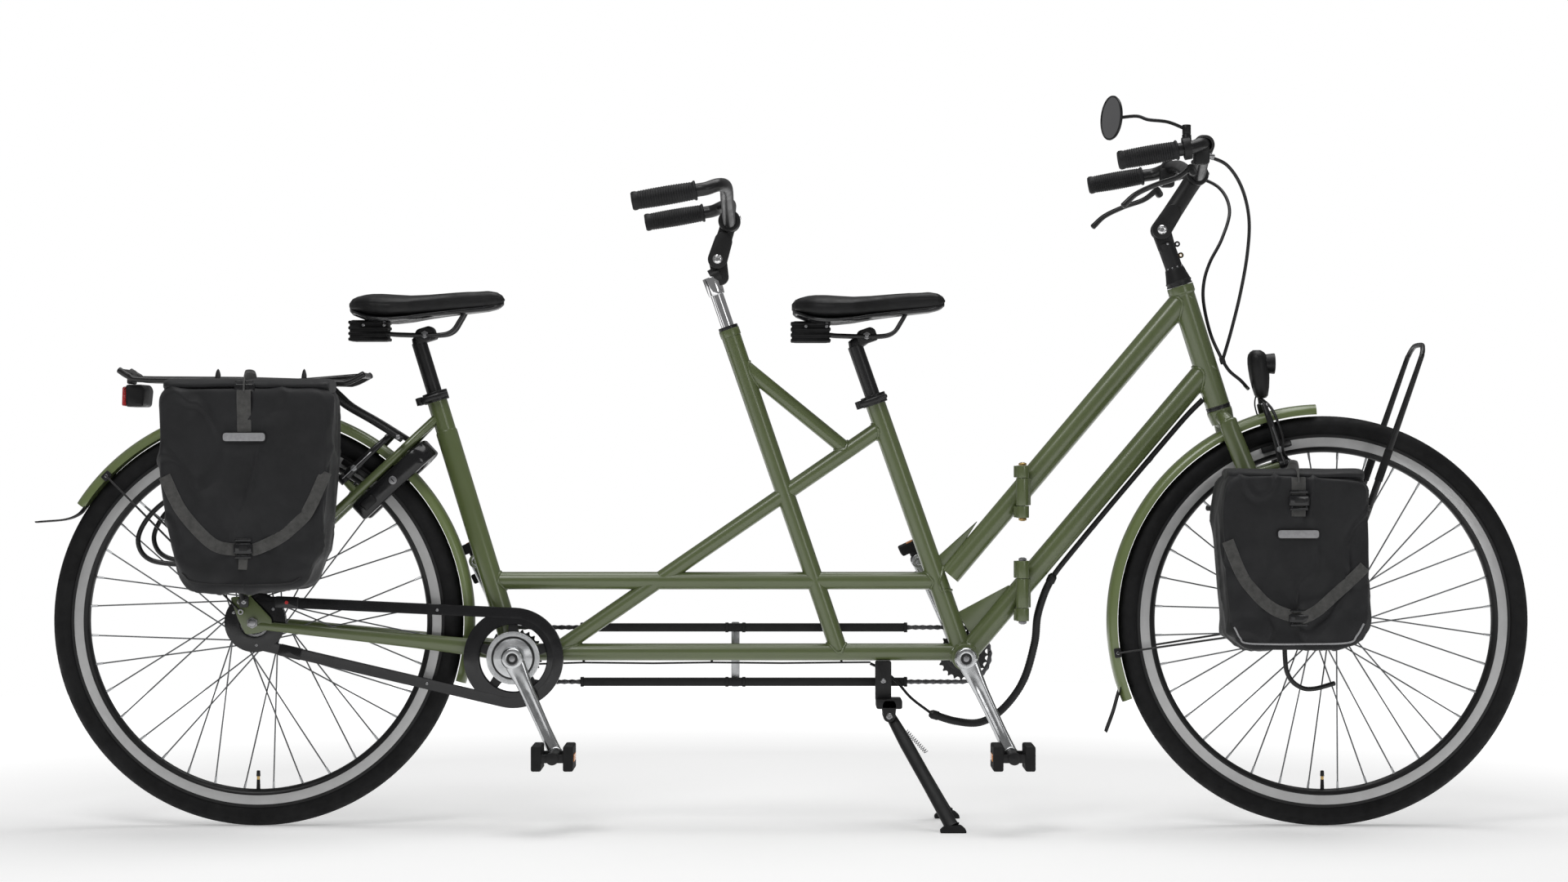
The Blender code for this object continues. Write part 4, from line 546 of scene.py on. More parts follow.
# ---------------------------------------------------------------- camera, floor and light
def studio():
    scene = bpy.context.scene
    camera = bpy.data.cameras.new("camera")
    camera.lens = 81.0
    camera.sensor_width = 36.0
    camera.clip_end = 60.0
    holder = bpy.data.objects.new("camera", camera)
    holder.location = (0.0028, -6.0, 0.6535)
    holder.rotation_euler = (radians(90), 0, 0)
    scene.collection.objects.link(holder)
    scene.camera = holder

    floor_mat = material("studio_floor", (0.92, 0.92, 0.92), 0.8, vary=0.01, scale=1.5)
    tree = floor_mat.node_tree
    radius = node(tree, "ShaderNodeVectorMath", {0: tree.nodes["Texture Coordinate"].outputs["Object"]},
        operation="LENGTH").outputs["Value"]
    glow = node(tree, "ShaderNodeMapRange",
        {"Value": radius, "From Min": 1.4, "From Max": FLOOR_RADIUS, "To Min": 0.27, "To Max": 1.0})
    tree.links.new(glow.outputs[0], tree.nodes["Principled BSDF"].inputs["Emission Strength"])
    tree.nodes["Principled BSDF"].inputs["Emission Color"].default_value = (1, 1, 1, 1)
    backdrop_mat = material("studio_backdrop", (0.0, 0.0, 0.0), 1.0, vary=0.0)
    shader = backdrop_mat.node_tree.nodes["Principled BSDF"]
    shader.inputs["Emission Color"].default_value = (1, 1, 1, 1)
    shader.inputs["Emission Strength"].default_value = 1.0
    shader.inputs["Specular IOR Level"].default_value = 0.0
    bend = [(WALL_RADIUS + BEND_RADIUS * sin(a), BEND_RADIUS - BEND_RADIUS * cos(a))
        for a in np.linspace(0, pi / 2, 9)]
    for name, profile, made in (("studio_floor", [(0.0, 0.0), (0.8, 0.0), (FLOOR_RADIUS, 0.0)], floor_mat),
            ("studio_backdrop", [(FLOOR_RADIUS, 0.0)] + bend + [(WALL_RADIUS + BEND_RADIUS, WALL_HEIGHT)],
            backdrop_mat)):
        verts, faces = [], []
        for r, z in profile:
            verts += [(r * c, r * s, z) for c, s in circle(ROUND_STEPS)]
        for low in range(0, ROUND_STEPS * (len(profile) - 1), ROUND_STEPS):
            high = low + ROUND_STEPS
            for k in range(ROUND_STEPS):
                n = (k + 1) % ROUND_STEPS
                faces.append((low + k, high + k, high + n, low + n))
        mesh = bpy.data.meshes.new(name)
        mesh.from_pydata(verts, [], faces)
        mesh.materials.append(made)
        piece = bpy.data.objects.new(name, mesh)
        scene.collection.objects.link(piece)
    piece.visible_diffuse = piece.visible_glossy = piece.visible_transmission = piece.visible_shadow = False

    world = bpy.data.worlds.new("studio")
    world.use_nodes = True
    world.node_tree.nodes["Background"].inputs["Color"].default_value = (1, 1, 1, 1)
    world.node_tree.nodes["Background"].inputs["Strength"].default_value = 0.2
    scene.world = world
    lights = [("key", (-1.6, -3.0, 4.4), (0, 0, 0.4), 2.0, 70)]
    lights.append(("top", (0.6, 0.4, 4.8), (0, 0, 0.4), 3.6, 105))
    lights.append(("fill", (3.2, -4.8, 1.6), (0, 0, 0.5), 1.4, 16))
    for name, place, aim, size, power in lights:
        light = bpy.data.lights.new(name, "AREA")
        light.size = size
        light.energy = power
        lamp = bpy.data.objects.new(name, light)
        lamp.location = place
        lamp.rotation_euler = (Vector(aim) - Vector(place)).to_track_quat("-Z", "Y").to_euler()
        scene.collection.objects.link(lamp)
    scene.view_settings.view_transform = "Standard"


studio()


# ---------------------------------------------------------------- wheels
def tyre(name, axle, body, node_name):
    """Tyre with a cut tread: a zigzag groove, two shoulder grooves and slanted sipes."""
    around, section = 720, 43
    theta = np.linspace(0, 2 * pi, around, endpoint=False)
    angle = np.radians(np.linspace(-48, 228, section))
    grid_t, grid_a = np.meshgrid(theta, angle, indexing="ij")
    across_tread = (grid_a - pi / 2) / radians(50)
    phase = grid_t * 90 / (2 * pi)
    zigzag = np.abs((phase % 1) * 2 - 1) * 2 - 1
    off = np.abs(across_tread)
    depth = np.zeros_like(grid_t)
    depth += 0.0009 * (np.abs(across_tread - 0.1 * zigzag) < 0.055)
    depth += 0.0008 * (np.abs(off - 0.44 - 0.04 * zigzag) < 0.05)
    slant = (phase + off * 0.5) % 1
    depth += 0.0008 * ((off > 0.56) & (off < 1.02) & (slant < 0.2))
    depth += 0.0006 * ((off > 0.14) & (off < 0.36) & ((slant + 0.4) % 1 < 0.14))
    side_angle = np.degrees(grid_a)
    rib = (np.abs(side_angle - 10) < 3.5) | (np.abs(side_angle - 170) < 3.5)
    depth -= 0.0004 * rib
    radius = 0.0185 - depth
    r = 0.3295 + radius * np.sin(grid_a)
    r = np.maximum(r, 0.3168)
    y = 0.0185 * np.cos(grid_a) * (radius / 0.0185)
    x, z = axle.x + r * np.cos(grid_t), axle.z + r * np.sin(grid_t)
    build = Build("tyre_rubber")
    points = np.stack([x, y, z], axis=-1)
    build.rings([[tuple(p) for p in row] for row in points], loop=True)
    return build.finish(name, body, node_name, sharp=60)


def rim(name, axle, body, node_name, track):
    build = Build("rim_black")
    well = mm("319.2,11.6 295.5,11.7 291.5,10.5 288,7.5 286.2,3.5 286.2,-3.5 288,-7.5 291.5,-10.5 "
        "295.5,-11.7 319.2,-11.6 311,-9 311,9")
    build.lathe(well, axle, Y_AXIS, 240, closed=True)
    build.use(track)
    for side in (-1, 1):
        band = [(0.3116, side * 0.0104), (0.3116, side * 0.0119), (0.311, side * 0.0121),
            (0.2962, side * 0.0121), (0.2956, side * 0.0112)]
        build.lathe(band, axle, Y_AXIS, 240, closed=True)
    valve = Vector((axle.x - 0.001, 0.0, axle.z))
    build.use("rubber").tube(valve - Z_AXIS * 0.288, valve - Z_AXIS * 0.27, 0.0034, 0.0029, 16)
    build.use("brass").tube(valve - Z_AXIS * 0.2702, valve - Z_AXIS * 0.261, 0.0027, 0.0027, 16)
    build.use("plastic").tube(valve - Z_AXIS * 0.264, valve - Z_AXIS * 0.2555, 0.0036, 0.0031, 12,
        cap=0.001)
    return build.finish(name, body, node_name)


def spokes(build, axle, flange_radius, flange_y):
    for i in range(SPOKE_COUNT):
        side = -1 if i % 2 else 1
        lean = SPOKE_LEAN * (1 if (i // 2) % 2 else -1)
        rim_angle = 2 * pi * i / SPOKE_COUNT + pi / SPOKE_COUNT
        layer = 0.0017 if lean > 0 else -0.0017
        root = axle + heading_at(rim_angle + lean) * (flange_radius - 0.003)
        root.y = side * flange_y + layer
        out = heading_at(rim_angle)
        tip = axle + out * NIPPLE_RADIUS + Y_AXIS * (side * 0.002 + layer / 2)
        inward = (root - tip).normalized()
        build.use("spoke").tube(root, tip, 0.00128, sides=10)
        build.use("alloy_matt").tube(tip, tip + inward * 0.012, 0.0021, 0.0018, 8)
        head = root + Y_AXIS * (0.0022 if layer > 0 else -0.0022)
        build.disc(head, Y_AXIS, 0.002, 0.0008, 10, edge=0.0004)


def wheels():
    tyre("front_tyre_skin", FRONT_AXLE, "front_wheel", "front_tyre")
    tyre("rear_tyre_skin", REAR_AXLE, "rear_wheel", "rear_tyre")
    rim("front_rim_band", FRONT_AXLE, "front_wheel", "front_rim", "track_front")
    rim("rear_rim_band", REAR_AXLE, "rear_wheel", "rear_rim", "track_rear")

    hub = Build("lathe_front")
    shell = mm("6,-45.5 15,-45 15.5,-36 24,-34.5 24,-27.8 15.5,-26.2 12.5,-15 12.5,15 15.5,26.2 24,27.8 "
        "24,34.5 15.5,36 15,45 6,45.5")
    hub.lathe(shell, FRONT_AXLE, Y_AXIS, 64, edge=0.0012)
    hub.use("steel").tube(FRONT_AXLE - Y_AXIS * 0.0895, FRONT_AXLE + Y_AXIS * 0.0895, 0.0047, sides=24,
        cap=0.001)
    for side in (-1, 1):
        hub.lathe(hexagon_profile(0.0085, 0.0027), FRONT_AXLE + Y_AXIS * side * 0.0837, Y_AXIS, 6,
            edge=0.0004)
        hub.use("rubber").ring(FRONT_AXLE + Y_AXIS * side * 0.0462, Y_AXIS, 0.0052, 0.0125, 0.0012)
        hub.use("steel")
    spokes(hub, FRONT_AXLE, 0.024, 0.031)
    hub.finish("front_hub_laced", "front_wheel", "front_hub")

    hub = Build("lathe_rear")
    shell = mm("6,-31.8 28,-31.6 30,-30.4 43,-30.2 43,-23.8 31.5,-23.2 28.5,-12 28.5,12 31.5,23.2 43,23.8 "
        "43,30.2 30,30.4 28,31.6 6,31.8")
    hub.lathe(shell, REAR_AXLE, Y_AXIS, 72, edge=0.0012)
    spokes(hub, REAR_AXLE, 0.043, 0.027)
    hub.finish("rear_hub_laced", "rear_wheel", "rear_hub")

    axle = Build("steel")
    axle.tube(REAR_AXLE - Y_AXIS * 0.0795, REAR_AXLE + Y_AXIS * 0.0795, 0.0048, sides=24, cap=0.001)
    for side in (-1, 1):
        axle.lathe(hexagon_profile(0.0095, 0.0035), REAR_AXLE + Y_AXIS * side * 0.075, Y_AXIS, 6,
            edge=0.0005)
        axle.tube(REAR_AXLE + Y_AXIS * side * 0.078, REAR_AXLE + Y_AXIS * side * 0.0805, 0.0075, 0.006, 24,
            cap=0.001)
    axle.finish("rear_axle_nuts", "rear_half", "rear_axle")


def hexagon_profile(radius, half):
    return [(0, -half), (radius, -half), (radius, half), (0, half)]


wheels()


# ---------------------------------------------------------------- frame
def cut_tube(build, start, end, radius, face_x):
    """Tube whose far end is cut square to the fold, at face_x."""
    start, end = Vector(start), Vector(end)
    along = (end - start).normalized()
    side, rise = across(along)
    near, far = [], []
    for c, s in circle(40):
        base = start + side * (radius * c) + rise * (radius * s)
        near.append(base)
        far.append(base + along * ((face_x - base.x) / along.x))
    build.rings([near, far])


def fold_half(build, sign):
    """Tube ends, oval flanges, barrels and weld beads on one side of the fold."""
    upper_dir = Vector((0.658 - 0.403, 0, 0.869 - 0.567)).normalized()
    lower_dir = Vector((0.725 - 0.407, 0, 0.781 - 0.405)).normalized()
    face = HINGE_X + sign * 0.0046
    if sign < 0:
        cut_tube(build, (0.2845, 0, 0.4253), at(284.5, 0, 425.3) + upper_dir, 0.0185, face)
        cut_tube(build, CAPTAIN_CRANK, CAPTAIN_CRANK + lower_dir, 0.0185, face)
    else:
        cut_tube(build, (0.688, 0, 0.903), at(688, 0, 903) - upper_dir, 0.0195, face)
        cut_tube(build, (0.727, 0, 0.784), at(727, 0, 784) - lower_dir, 0.019, face)
    turn = basis(-Y_AXIS, X_AXIS)
    for height, knuckles in ((UPPER_FOLD, UPPER_KNUCKLES), (LOWER_FOLD, LOWER_KNUCKLES)):
        centre = Vector((HINGE_X + sign * 0.0025, 0, height))
        oval = [(0.0212 * c, 0.035 * s) for c, s in circle(48)]
        build.prism(oval, -0.0022, 0.0022, 0.001, centre, turn)
        ring = [centre + X_AXIS * sign * 0.0026 + Y_AXIS * (0.0188 * c) + Z_AXIS * (0.0265 * s)
            for c, s in circle(48)]
        build.sweep(ring, 0.0017, 8, loop=True)
        spans = [(knuckles[0], knuckles[1] - 0.0003), (knuckles[2] + 0.0003, knuckles[3])]
        if sign > 0:
            spans = [(knuckles[1] + 0.0003, knuckles[2] - 0.0003)]
        for low, high in spans:
            foot = Vector((HINGE_X, HINGE_Y, low))
            build.lathe([(0.0046, 0), (0.011, 0), (0.011, high - low), (0.0046, high - low)], foot, Z_AXIS,
                40, closed=True, edge=0.0009)
            web = (HINGE_X + sign * 0.0075, HINGE_Y + 0.01, (low + high) / 2)
            build.box(web, (0.013, 0.0165, high - low - 0.001), corner=0.001, edge=0.0012)


def dome_bolt(build, place, axis, radius, height, metal="steel"):
    """Button-head bolt with a hexagon socket."""
    build.use(metal)
    build.lathe([(0, 0), (radius, 0), (radius, height * 0.35), (radius * 0.75, height * 0.85), (radius
        * 0.5, height), (radius * 0.46, height * 0.45), (0, height * 0.45)], place, axis, 20, edge=0.0002)


def rear_frame():
    seat_up_stoker = (STOKER_SEAT_TOP - STOKER_CRANK).normalized()
    seat_up_captain = (CAPTAIN_SEAT_TOP - CAPTAIN_CRANK).normalized()
    stem_up = (STEM_TUBE_TOP - STEM_TUBE_FOOT).normalized()
    step = STOKER_SEAT_TOP - seat_up_stoker * 0.062
    rail = ((-0.49, 0, 0.416), (0.262, 0, 0.416), 0.015)
    keel = (STOKER_CRANK + Z_AXIS * 0.0073, CAPTAIN_CRANK + Z_AXIS * 0.0073, 0.0145)
    diagonal = ((0.168, 0, 0.6765), (-0.39, 0, 0.293), 0.0135)
    strut = ((-0.068, 0, 0.783), (0.112, 0, 0.636), 0.0125)
    stoker_tube = (step, STOKER_CRANK, 0.0183)
    captain_tube = (CAPTAIN_SEAT_TOP, CAPTAIN_CRANK, 0.017)
    build = Build("paint")
    fold_half(build, -1)
    build.tube(STOKER_SEAT_TOP - seat_up_stoker * 0.0008, step - seat_up_stoker * 0.02, 0.017, sides=48)
    build.lathe(mm("17,0 18.3,-3.5 18.3,-377 0,-377 0,0"), step, seat_up_stoker, 48)
    build.tube(CAPTAIN_SEAT_TOP - seat_up_captain * 0.0008, CAPTAIN_CRANK, 0.017, sides=48)
    build.tube(STEM_TUBE_TOP, STEM_TUBE_FOOT, 0.0165, 0.015, sides=48)
    build.ring(STEM_TUBE_TOP - stem_up * 0.006, stem_up, 0.0118, 0.0176, 0.0062)
    for tube in (rail, keel, diagonal, strut):
        build.tube(*tube, sides=40)
    for outline, half in ((mm("-78,795 -46,737 -34,757"), 0.004), (mm("262,455 333,519 275,428"), 0.003),
            (mm("296,361 388,410 325,318"), 0.003)):
        build.prism(rounded(outline, 0.006), -half, half, 0.0009)
    for crank in (STOKER_CRANK, CAPTAIN_CRANK):
        build.lathe(mm("15.3,-34 22.5,-34 22.5,34 15.3,34"), crank, Y_AXIS, 64, closed=True, edge=0.0009)
    weld(build, (0.05, 0, 0.5954), diagonal[0], 0.0135, *captain_tube)
    weld(build, (0.2, 0, 0.416), rail[1], 0.015, *captain_tube)
    weld(build, (-0.44, 0, 0.416), rail[0], 0.015, *stoker_tube)
    weld(build, (-0.02, 0, 0.7438), strut[0], 0.0125, STEM_TUBE_TOP, STEM_TUBE_FOOT, 0.016)
    weld(build, (0.06, 0, 0.6785), strut[1], 0.0125, *diagonal)
    weld(build, STEM_TUBE_FOOT + stem_up * 0.08, STEM_TUBE_FOOT, 0.0151, *keel)
    weld(build, (-0.3, 0, 0.3548), diagonal[1], 0.0135, *keel)
    shell = (STOKER_CRANK - Y_AXIS * 0.034, STOKER_CRANK + Y_AXIS * 0.034, 0.0225)
    weld(build, *stoker_tube, *shell)
    weld(build, STOKER_CRANK + at(100, 0, 7.3), keel[0], 0.0145, *shell)
    shell = (CAPTAIN_CRANK - Y_AXIS * 0.034, CAPTAIN_CRANK + Y_AXIS * 0.034, 0.0225)
    weld(build, *captain_tube, *shell)
    weld(build, CAPTAIN_CRANK + at(-100, 0, 7.3), keel[1], 0.0145, *shell)
    weld(build, CAPTAIN_CRANK + at(318, 0, 376).normalized() * 0.1, CAPTAIN_CRANK, 0.0185, *shell)
    weld(build, (0.36, 0, 0.5147), (0.2845, 0, 0.4253), 0.0185, *captain_tube)
    for side in (-1, 1):
        stay = curve(mm("-590,8,690 -622,26,658.5 -655,36,626 -718,43,567 -815,55.7,475 -912,68.5,383",
            side), 6)
        build.sweep(stay, mm("7.5 7.5 7.5 7.5 7 6"), 24, cap=0.003)
        chain_stay = curve(mm("-462,26.5,296 -520,30,304 -600,34.5,313.5 -730,50,327.5 -856,66,341 "
            "-884,68.5,343.5", side), 6)
        build.sweep(chain_stay, mm("16.5 15 13 10 7.5 6.5"), 28, mm("8 7.5 7.5 6.8 6 2.4"), cap=0.002)
        dropout = rounded(mm("-928,391 -895,393.5 -858,354 -859,339 -880,331 -902,328 -914,352"), 0.005)
        build.prism(dropout, side * 0.0685 - 0.0025, side * 0.0685 + 0.0025, 0.0006)
        boss = mirrored(REAR_BRAKE, side)
        build.tube(boss - STAY_NORMAL * 0.036, boss - STAY_NORMAL * 0.0082, 0.0068, 0.006, 24)
        dome_bolt(build, at(-912, side * 71.2, 383.5), Y_AXIS * side, 0.005, 0.003)
        build.use("paint")
    build.tube((-0.64, -0.031, 0.641), (-0.64, 0.031, 0.641), 0.0055, sides=24)
    for x in (-0.338, -0.12, 0.1005):
        build.use("black_cast").sweep([(x, 0.0, 0.2792), (x, 0.004, 0.2775), (x, 0.008, 0.2785)], 0.0022, 8,
            cap=0.001)
    build.use("cable").sweep(mm("-430,6,273.5 -338,4,276.5 -220,4,275.2 -120,4,276.7 0,4,275.5 "
        "100.5,4,276.7 150,8,276.8"), 0.0016, 8)
    build.finish("rear_frame_tubes", "rear_half", "rear_frame")


def front_frame():
    build = Build("paint")
    fold_half(build, 1)
    build.lathe(mm("15.5,0 20.5,0 20.5,198.5 22.8,202 22.8,214.5 15.5,214.5"),
        HEAD_FOOT + STEER_UP * 0.0008, STEER_UP, 56, closed=True, edge=0.0008)
    weld(build, (0.64, 0, 0.8462), (0.688, 0, 0.903), 0.0195, HEAD_TOP, HEAD_FOOT, 0.0205, 0.0024)
    weld(build, (0.67, 0, 0.7166), (0.727, 0, 0.784), 0.019, HEAD_TOP, HEAD_FOOT, 0.0205, 0.0024)
    build.use("black_cast")
    for x, z in mm("530,507.6 625,620.2 680,685.5"):
        build.box((x, 0, z + 0.001), (0.011, 0.01, 0.0065), basis((0.646, 0, 0.763)), 0.0015)
    for height in (0.0075, 0.2135):
        build.use("black_satin").ring(HEAD_FOOT + STEER_UP * (height - 0.0065), STEER_UP, 0.016, 0.0212,
            0.0012)
    build.finish("front_frame_tubes", "front_half", "front_frame")

    for label, knuckles, metal in (("upper", UPPER_KNUCKLES, "brass"), ("lower", LOWER_KNUCKLES, "steel")):
        pin = Build("steel")
        foot = Vector((HINGE_X, HINGE_Y, knuckles[0]))
        head = Vector((HINGE_X, HINGE_Y, knuckles[3]))
        pin.tube(foot - Z_AXIS * 0.004, head + Z_AXIS * 0.004, 0.0041, sides=24)
        for end, away in ((foot, -1), (head, 1)):
            pin.use(metal).lathe(mm("0,.3 7.5,.3 7.5,3.6 5.5,4.8 0,4.8"), end, Z_AXIS * away, 6,
                edge=0.0003)
            pin.use("steel").disc(end + Z_AXIS * away * 0.005, Z_AXIS, 0.0036, 0.0006, 20)
        pin.finish("hinge_pin_%s_bolt" % label, "rear_half", "hinge_pin_" + label)


def fork():
    below = -STEER_UP
    crown = HEAD_FOOT + below * 0.02
    build = Build("steel")
    build.tube(HEAD_FOOT + below * 0.01, HEAD_TOP + STEER_UP * 0.003, 0.0146, sides=40)
    build.use("black_satin").ring(HEAD_FOOT + below * 0.0025, STEER_UP, 0.014, 0.0208, 0.002)
    build.ring(HEAD_TOP + STEER_UP * 0.0019, STEER_UP, 0.014, 0.0222, 0.0013)
    build.use("paint").lathe(mm("0,0 21.5,0 21.5,6 19.2,23.5 0,23.5"), HEAD_FOOT + below * 0.0048, below,
        48, edge=0.0012)
    build.sweep(curve([(0.7535, -0.0385, 0.683), (crown.x, -0.024, crown.z),
        (crown.x + 0.0002, 0, crown.z + 0.001), (crown.x, 0.024, crown.z), (0.7535, 0.0385, 0.683)], 5),
        mm("13 12.2 13 12.2 13"), 32, cap=0.006)
    for side in (-1, 1):
        blade = curve(mm("753,38.5,687 760,39.5,665 786,43,600 820,46.5,510 856,50,430 890,55,378 "
            "908,55,358", side), 7)
        build.use("paint").sweep(blade, mm("15 16 16.5 15 12.5 10 8.5"), 36, mm("11 12 12 11 9 6 4"),
            cap=0.006)
        low, high = sorted((side * 0.0525, side * 0.0575))
        build.prism(link_outline((0.906, 0.36), (FRONT_AXLE.x, FRONT_AXLE.z), 0.0085, 0.013), low, high,
            0.0008)
        boss = mirrored(FRONT_BRAKE, side)
        root = boss - STEER_FRONT * 0.058 + Y_AXIS * side * 0.002
        build.tube(root, boss - STEER_FRONT * 0.0082, 0.0072, 0.0062, 24)
        dome_bolt(build, at(812, side * 57.2, 542), Y_AXIS * side, 0.0048, 0.0028)
    build.finish("fork_blades", "steering", "fork")


# ---------------------------------------------------------------- mudguards
def fender(name, node_name, body, axle, start, end, stay_angle, stay_y, flap_line):
    """Rolled-edge blade with its wires, their clips, and a rubber flap."""
    # The blade takes the paler fender coat, which holds a painted highlight.
    build = Build("fender_paint_and_highlight")
    section = []
    for k in range(13):
        angle = pi * k / 12
        section.append((0.021 * cos(angle), 0.3515 + 0.0165 * sin(angle) ** 0.8))
    section[0:1] = mm("19.6,351.8 20.1,350.8 21.2,351.1")
    section[-1:] = mm("-21.2,351.1 -20.1,350.8 -19.6,351.8")
    inner = []
    for k in range(12, -1, -1):
        angle = pi * k / 12
        inner.append((0.0194 * cos(angle), 0.3515 + 0.015 * sin(angle) ** 0.8))
    section += inner[1:-1]
    rings = []
    steps = int(abs(end - start) / 1.5)
    for i in range(steps + 1):
        turn = radians(start + (end - start) * i / steps)
        out = heading_at(turn)
        tip = min(i, steps - i)
        squeeze = 1.0 if tip > 3 else sqrt(1 - ((3.4 - tip) / 3.6) ** 2 * 0.55)
        rings.append([axle + out * r + Y_AXIS * (y * squeeze) for y, r in section])
    build.rings(rings)
    direction = heading_at(radians(stay_angle))
    for side in (-1, 1):
        path = curve([axle + direction * 0.356 + Y_AXIS * side * 0.02, axle + direction * 0.345
            + Y_AXIS * side * 0.0265, axle + direction * 0.33 + Y_AXIS * side * 0.03,
            axle + direction * 0.03 + Y_AXIS * side * stay_y], 6)
        build.use("black_satin").sweep(path, 0.0018, 12, cap=0.0008)
        clip = axle + direction * 0.3545 + Y_AXIS * side * 0.0222
        build.use("black_cast").box(clip, (0.012, 0.0055, 0.016), basis(direction), 0.002)
        build.use("steel").disc(clip + Y_AXIS * side * 0.0032, Y_AXIS, 0.003, 0.0008, 14)
        build.use("steel").ring(axle + direction * 0.027 + Y_AXIS * side * stay_y, Y_AXIS, 0.0022, 0.005,
            0.0018, 20)
    build.use("rubber")
    line = curve([(x, 0, z) for x, z in flap_line], 6)
    rows = []
    for i, point in enumerate(line):
        before, after = line[max(i - 1, 0)], line[min(i + 1, len(line) - 1)]
        along = (after - before).normalized()
        normal = Vector((-along.z, 0, along.x))
        half = 0.0165 + 0.0035 * min(1.0, i / 4) - (0.004 if i == len(line) - 1 else 0)
        ring = []
        for thick, order in ((0.0009, range(9)), (-0.0009, range(8, -1, -1))):
            for k in order:
                bulge = thick + 0.0016 * (1 - (k / 4 - 1) ** 2)
                ring.append(point + Y_AXIS * (half * (k / 4 - 1)) + normal * bulge)
        rows.append(ring)
    build.rings(rows)
    build.finish(name, body, node_name, sharp=45)


def fenders():
    fender("rear_mudguard", "rear_fender", "rear_half", REAR_AXLE, -16.8, 147.0, 136.0, 0.0772,
        mm("-1183,543 -1196,529 -1220,520.5 -1268,516.5"))
    fender("front_mudguard", "front_fender", "steering", FRONT_AXLE, 92.0, 202.0, 188.7, 0.0635,
        mm("574.5,237 569,218 562,193 549.5,159"))


rear_frame()
front_frame()
fork()
fenders()


# ---------------------------------------------------------------- chains, rings and cranks
def pitch_radius(teeth):
    return CHAIN_PITCH / (2 * sin(pi / teeth))


def belt_path(front, front_radius, rear, rear_radius, steps):
    span = (front - rear).length
    tilt = degrees(atan2(front.z - rear.z, front.x - rear.x))
    lean = degrees(asin((front_radius - rear_radius) / span))
    nose = arc(front.x, front.z, front_radius, tilt - 90 - lean, tilt + 90 + lean, steps)
    tail = arc(rear.x, rear.z, rear_radius, tilt + 90 + lean, tilt + 270 - lean, steps)
    return nose + tail


def chain(name, body, node_name, front, front_radius, rear, rear_radius, y, material_name):
    """Roller chain: rollers at an even pitch with inner and outer link plates."""
    path = [Vector((x, y, z)) for x, z in belt_path(front, front_radius, rear, rear_radius, 60)]
    path.append(path[0])
    lengths = np.cumsum([0.0] + [(path[i + 1] - path[i]).length for i in range(len(path) - 1)])
    count = int(round(lengths[-1] / CHAIN_PITCH / 2)) * 2
    stations = np.linspace(0, lengths[-1], count, endpoint=False)
    points = []
    for s in stations:
        points.append(Vector((np.interp(s, lengths, [p.x for p in path]), y,
            np.interp(s, lengths, [p.z for p in path]))))
    build = Build(material_name)
    for i, point in enumerate(points):
        other = points[(i + 1) % count]
        heading = (other - point).normalized()
        turn = basis(heading)
        middle = (point + other) / 2
        half = (other - point).length / 2
        outline = []
        for end, begin in ((1, -90), (-1, 90)):
            for k in range(7):
                a = radians(begin + 180 * k / 6)
                outline.append((end * half + 0.004 * cos(a), 0.004 * sin(a)))
            outline.append((0.0, end * 0.0029))
        gap = 0.003 if i % 2 else 0.002
        for side in (-1, 1):
            low, high = sorted((side * gap, side * (gap + 0.0007)))
            build.prism(outline, low, high, 0.0001, middle, turn)
        build.disc(point, Y_AXIS, 0.003, 0.0019, 10, edge=0.0001)
        build.disc(point, Y_AXIS, 0.0017, 0.0038, 8, edge=0.0003)
    build.finish(name, body, node_name)


def toothed(teeth):
    """Outline of a chainring or sprocket, centred, as (x, z)."""
    pitch = pitch_radius(teeth)
    points = []
    for i in range(teeth):
        for share, radius in ((-0.36, pitch - 0.0078), (-0.22, pitch - 0.0062), (-0.08, pitch - 0.0032),
                (0.08, pitch - 0.0032), (0.22, pitch - 0.0062), (0.36, pitch - 0.0078)):
            angle = 2 * pi * (i + share) / teeth
            points.append((radius * cos(angle), radius * sin(angle)))
    return points


def toothed_ring(build, centre, teeth, inner):
    half = 0.001
    outline = toothed(teeth)
    angles = [atan2(z, x) for x, z in outline]
    bore = [(inner * cos(a), inner * sin(a)) for a in angles]
    rings = []
    for shape, y in ((outline, -half), (outline, half), (bore, half), (bore, -half)):
        rings.append([centre + Vector((x, y, z)) for x, z in shape])
    build.rings(rings, loop=True)


def crank_point(crank, side):
    angle = CRANK_ANGLE if side < 0 else CRANK_ANGLE + pi
    return crank + heading_at(angle) * CRANK_LENGTH


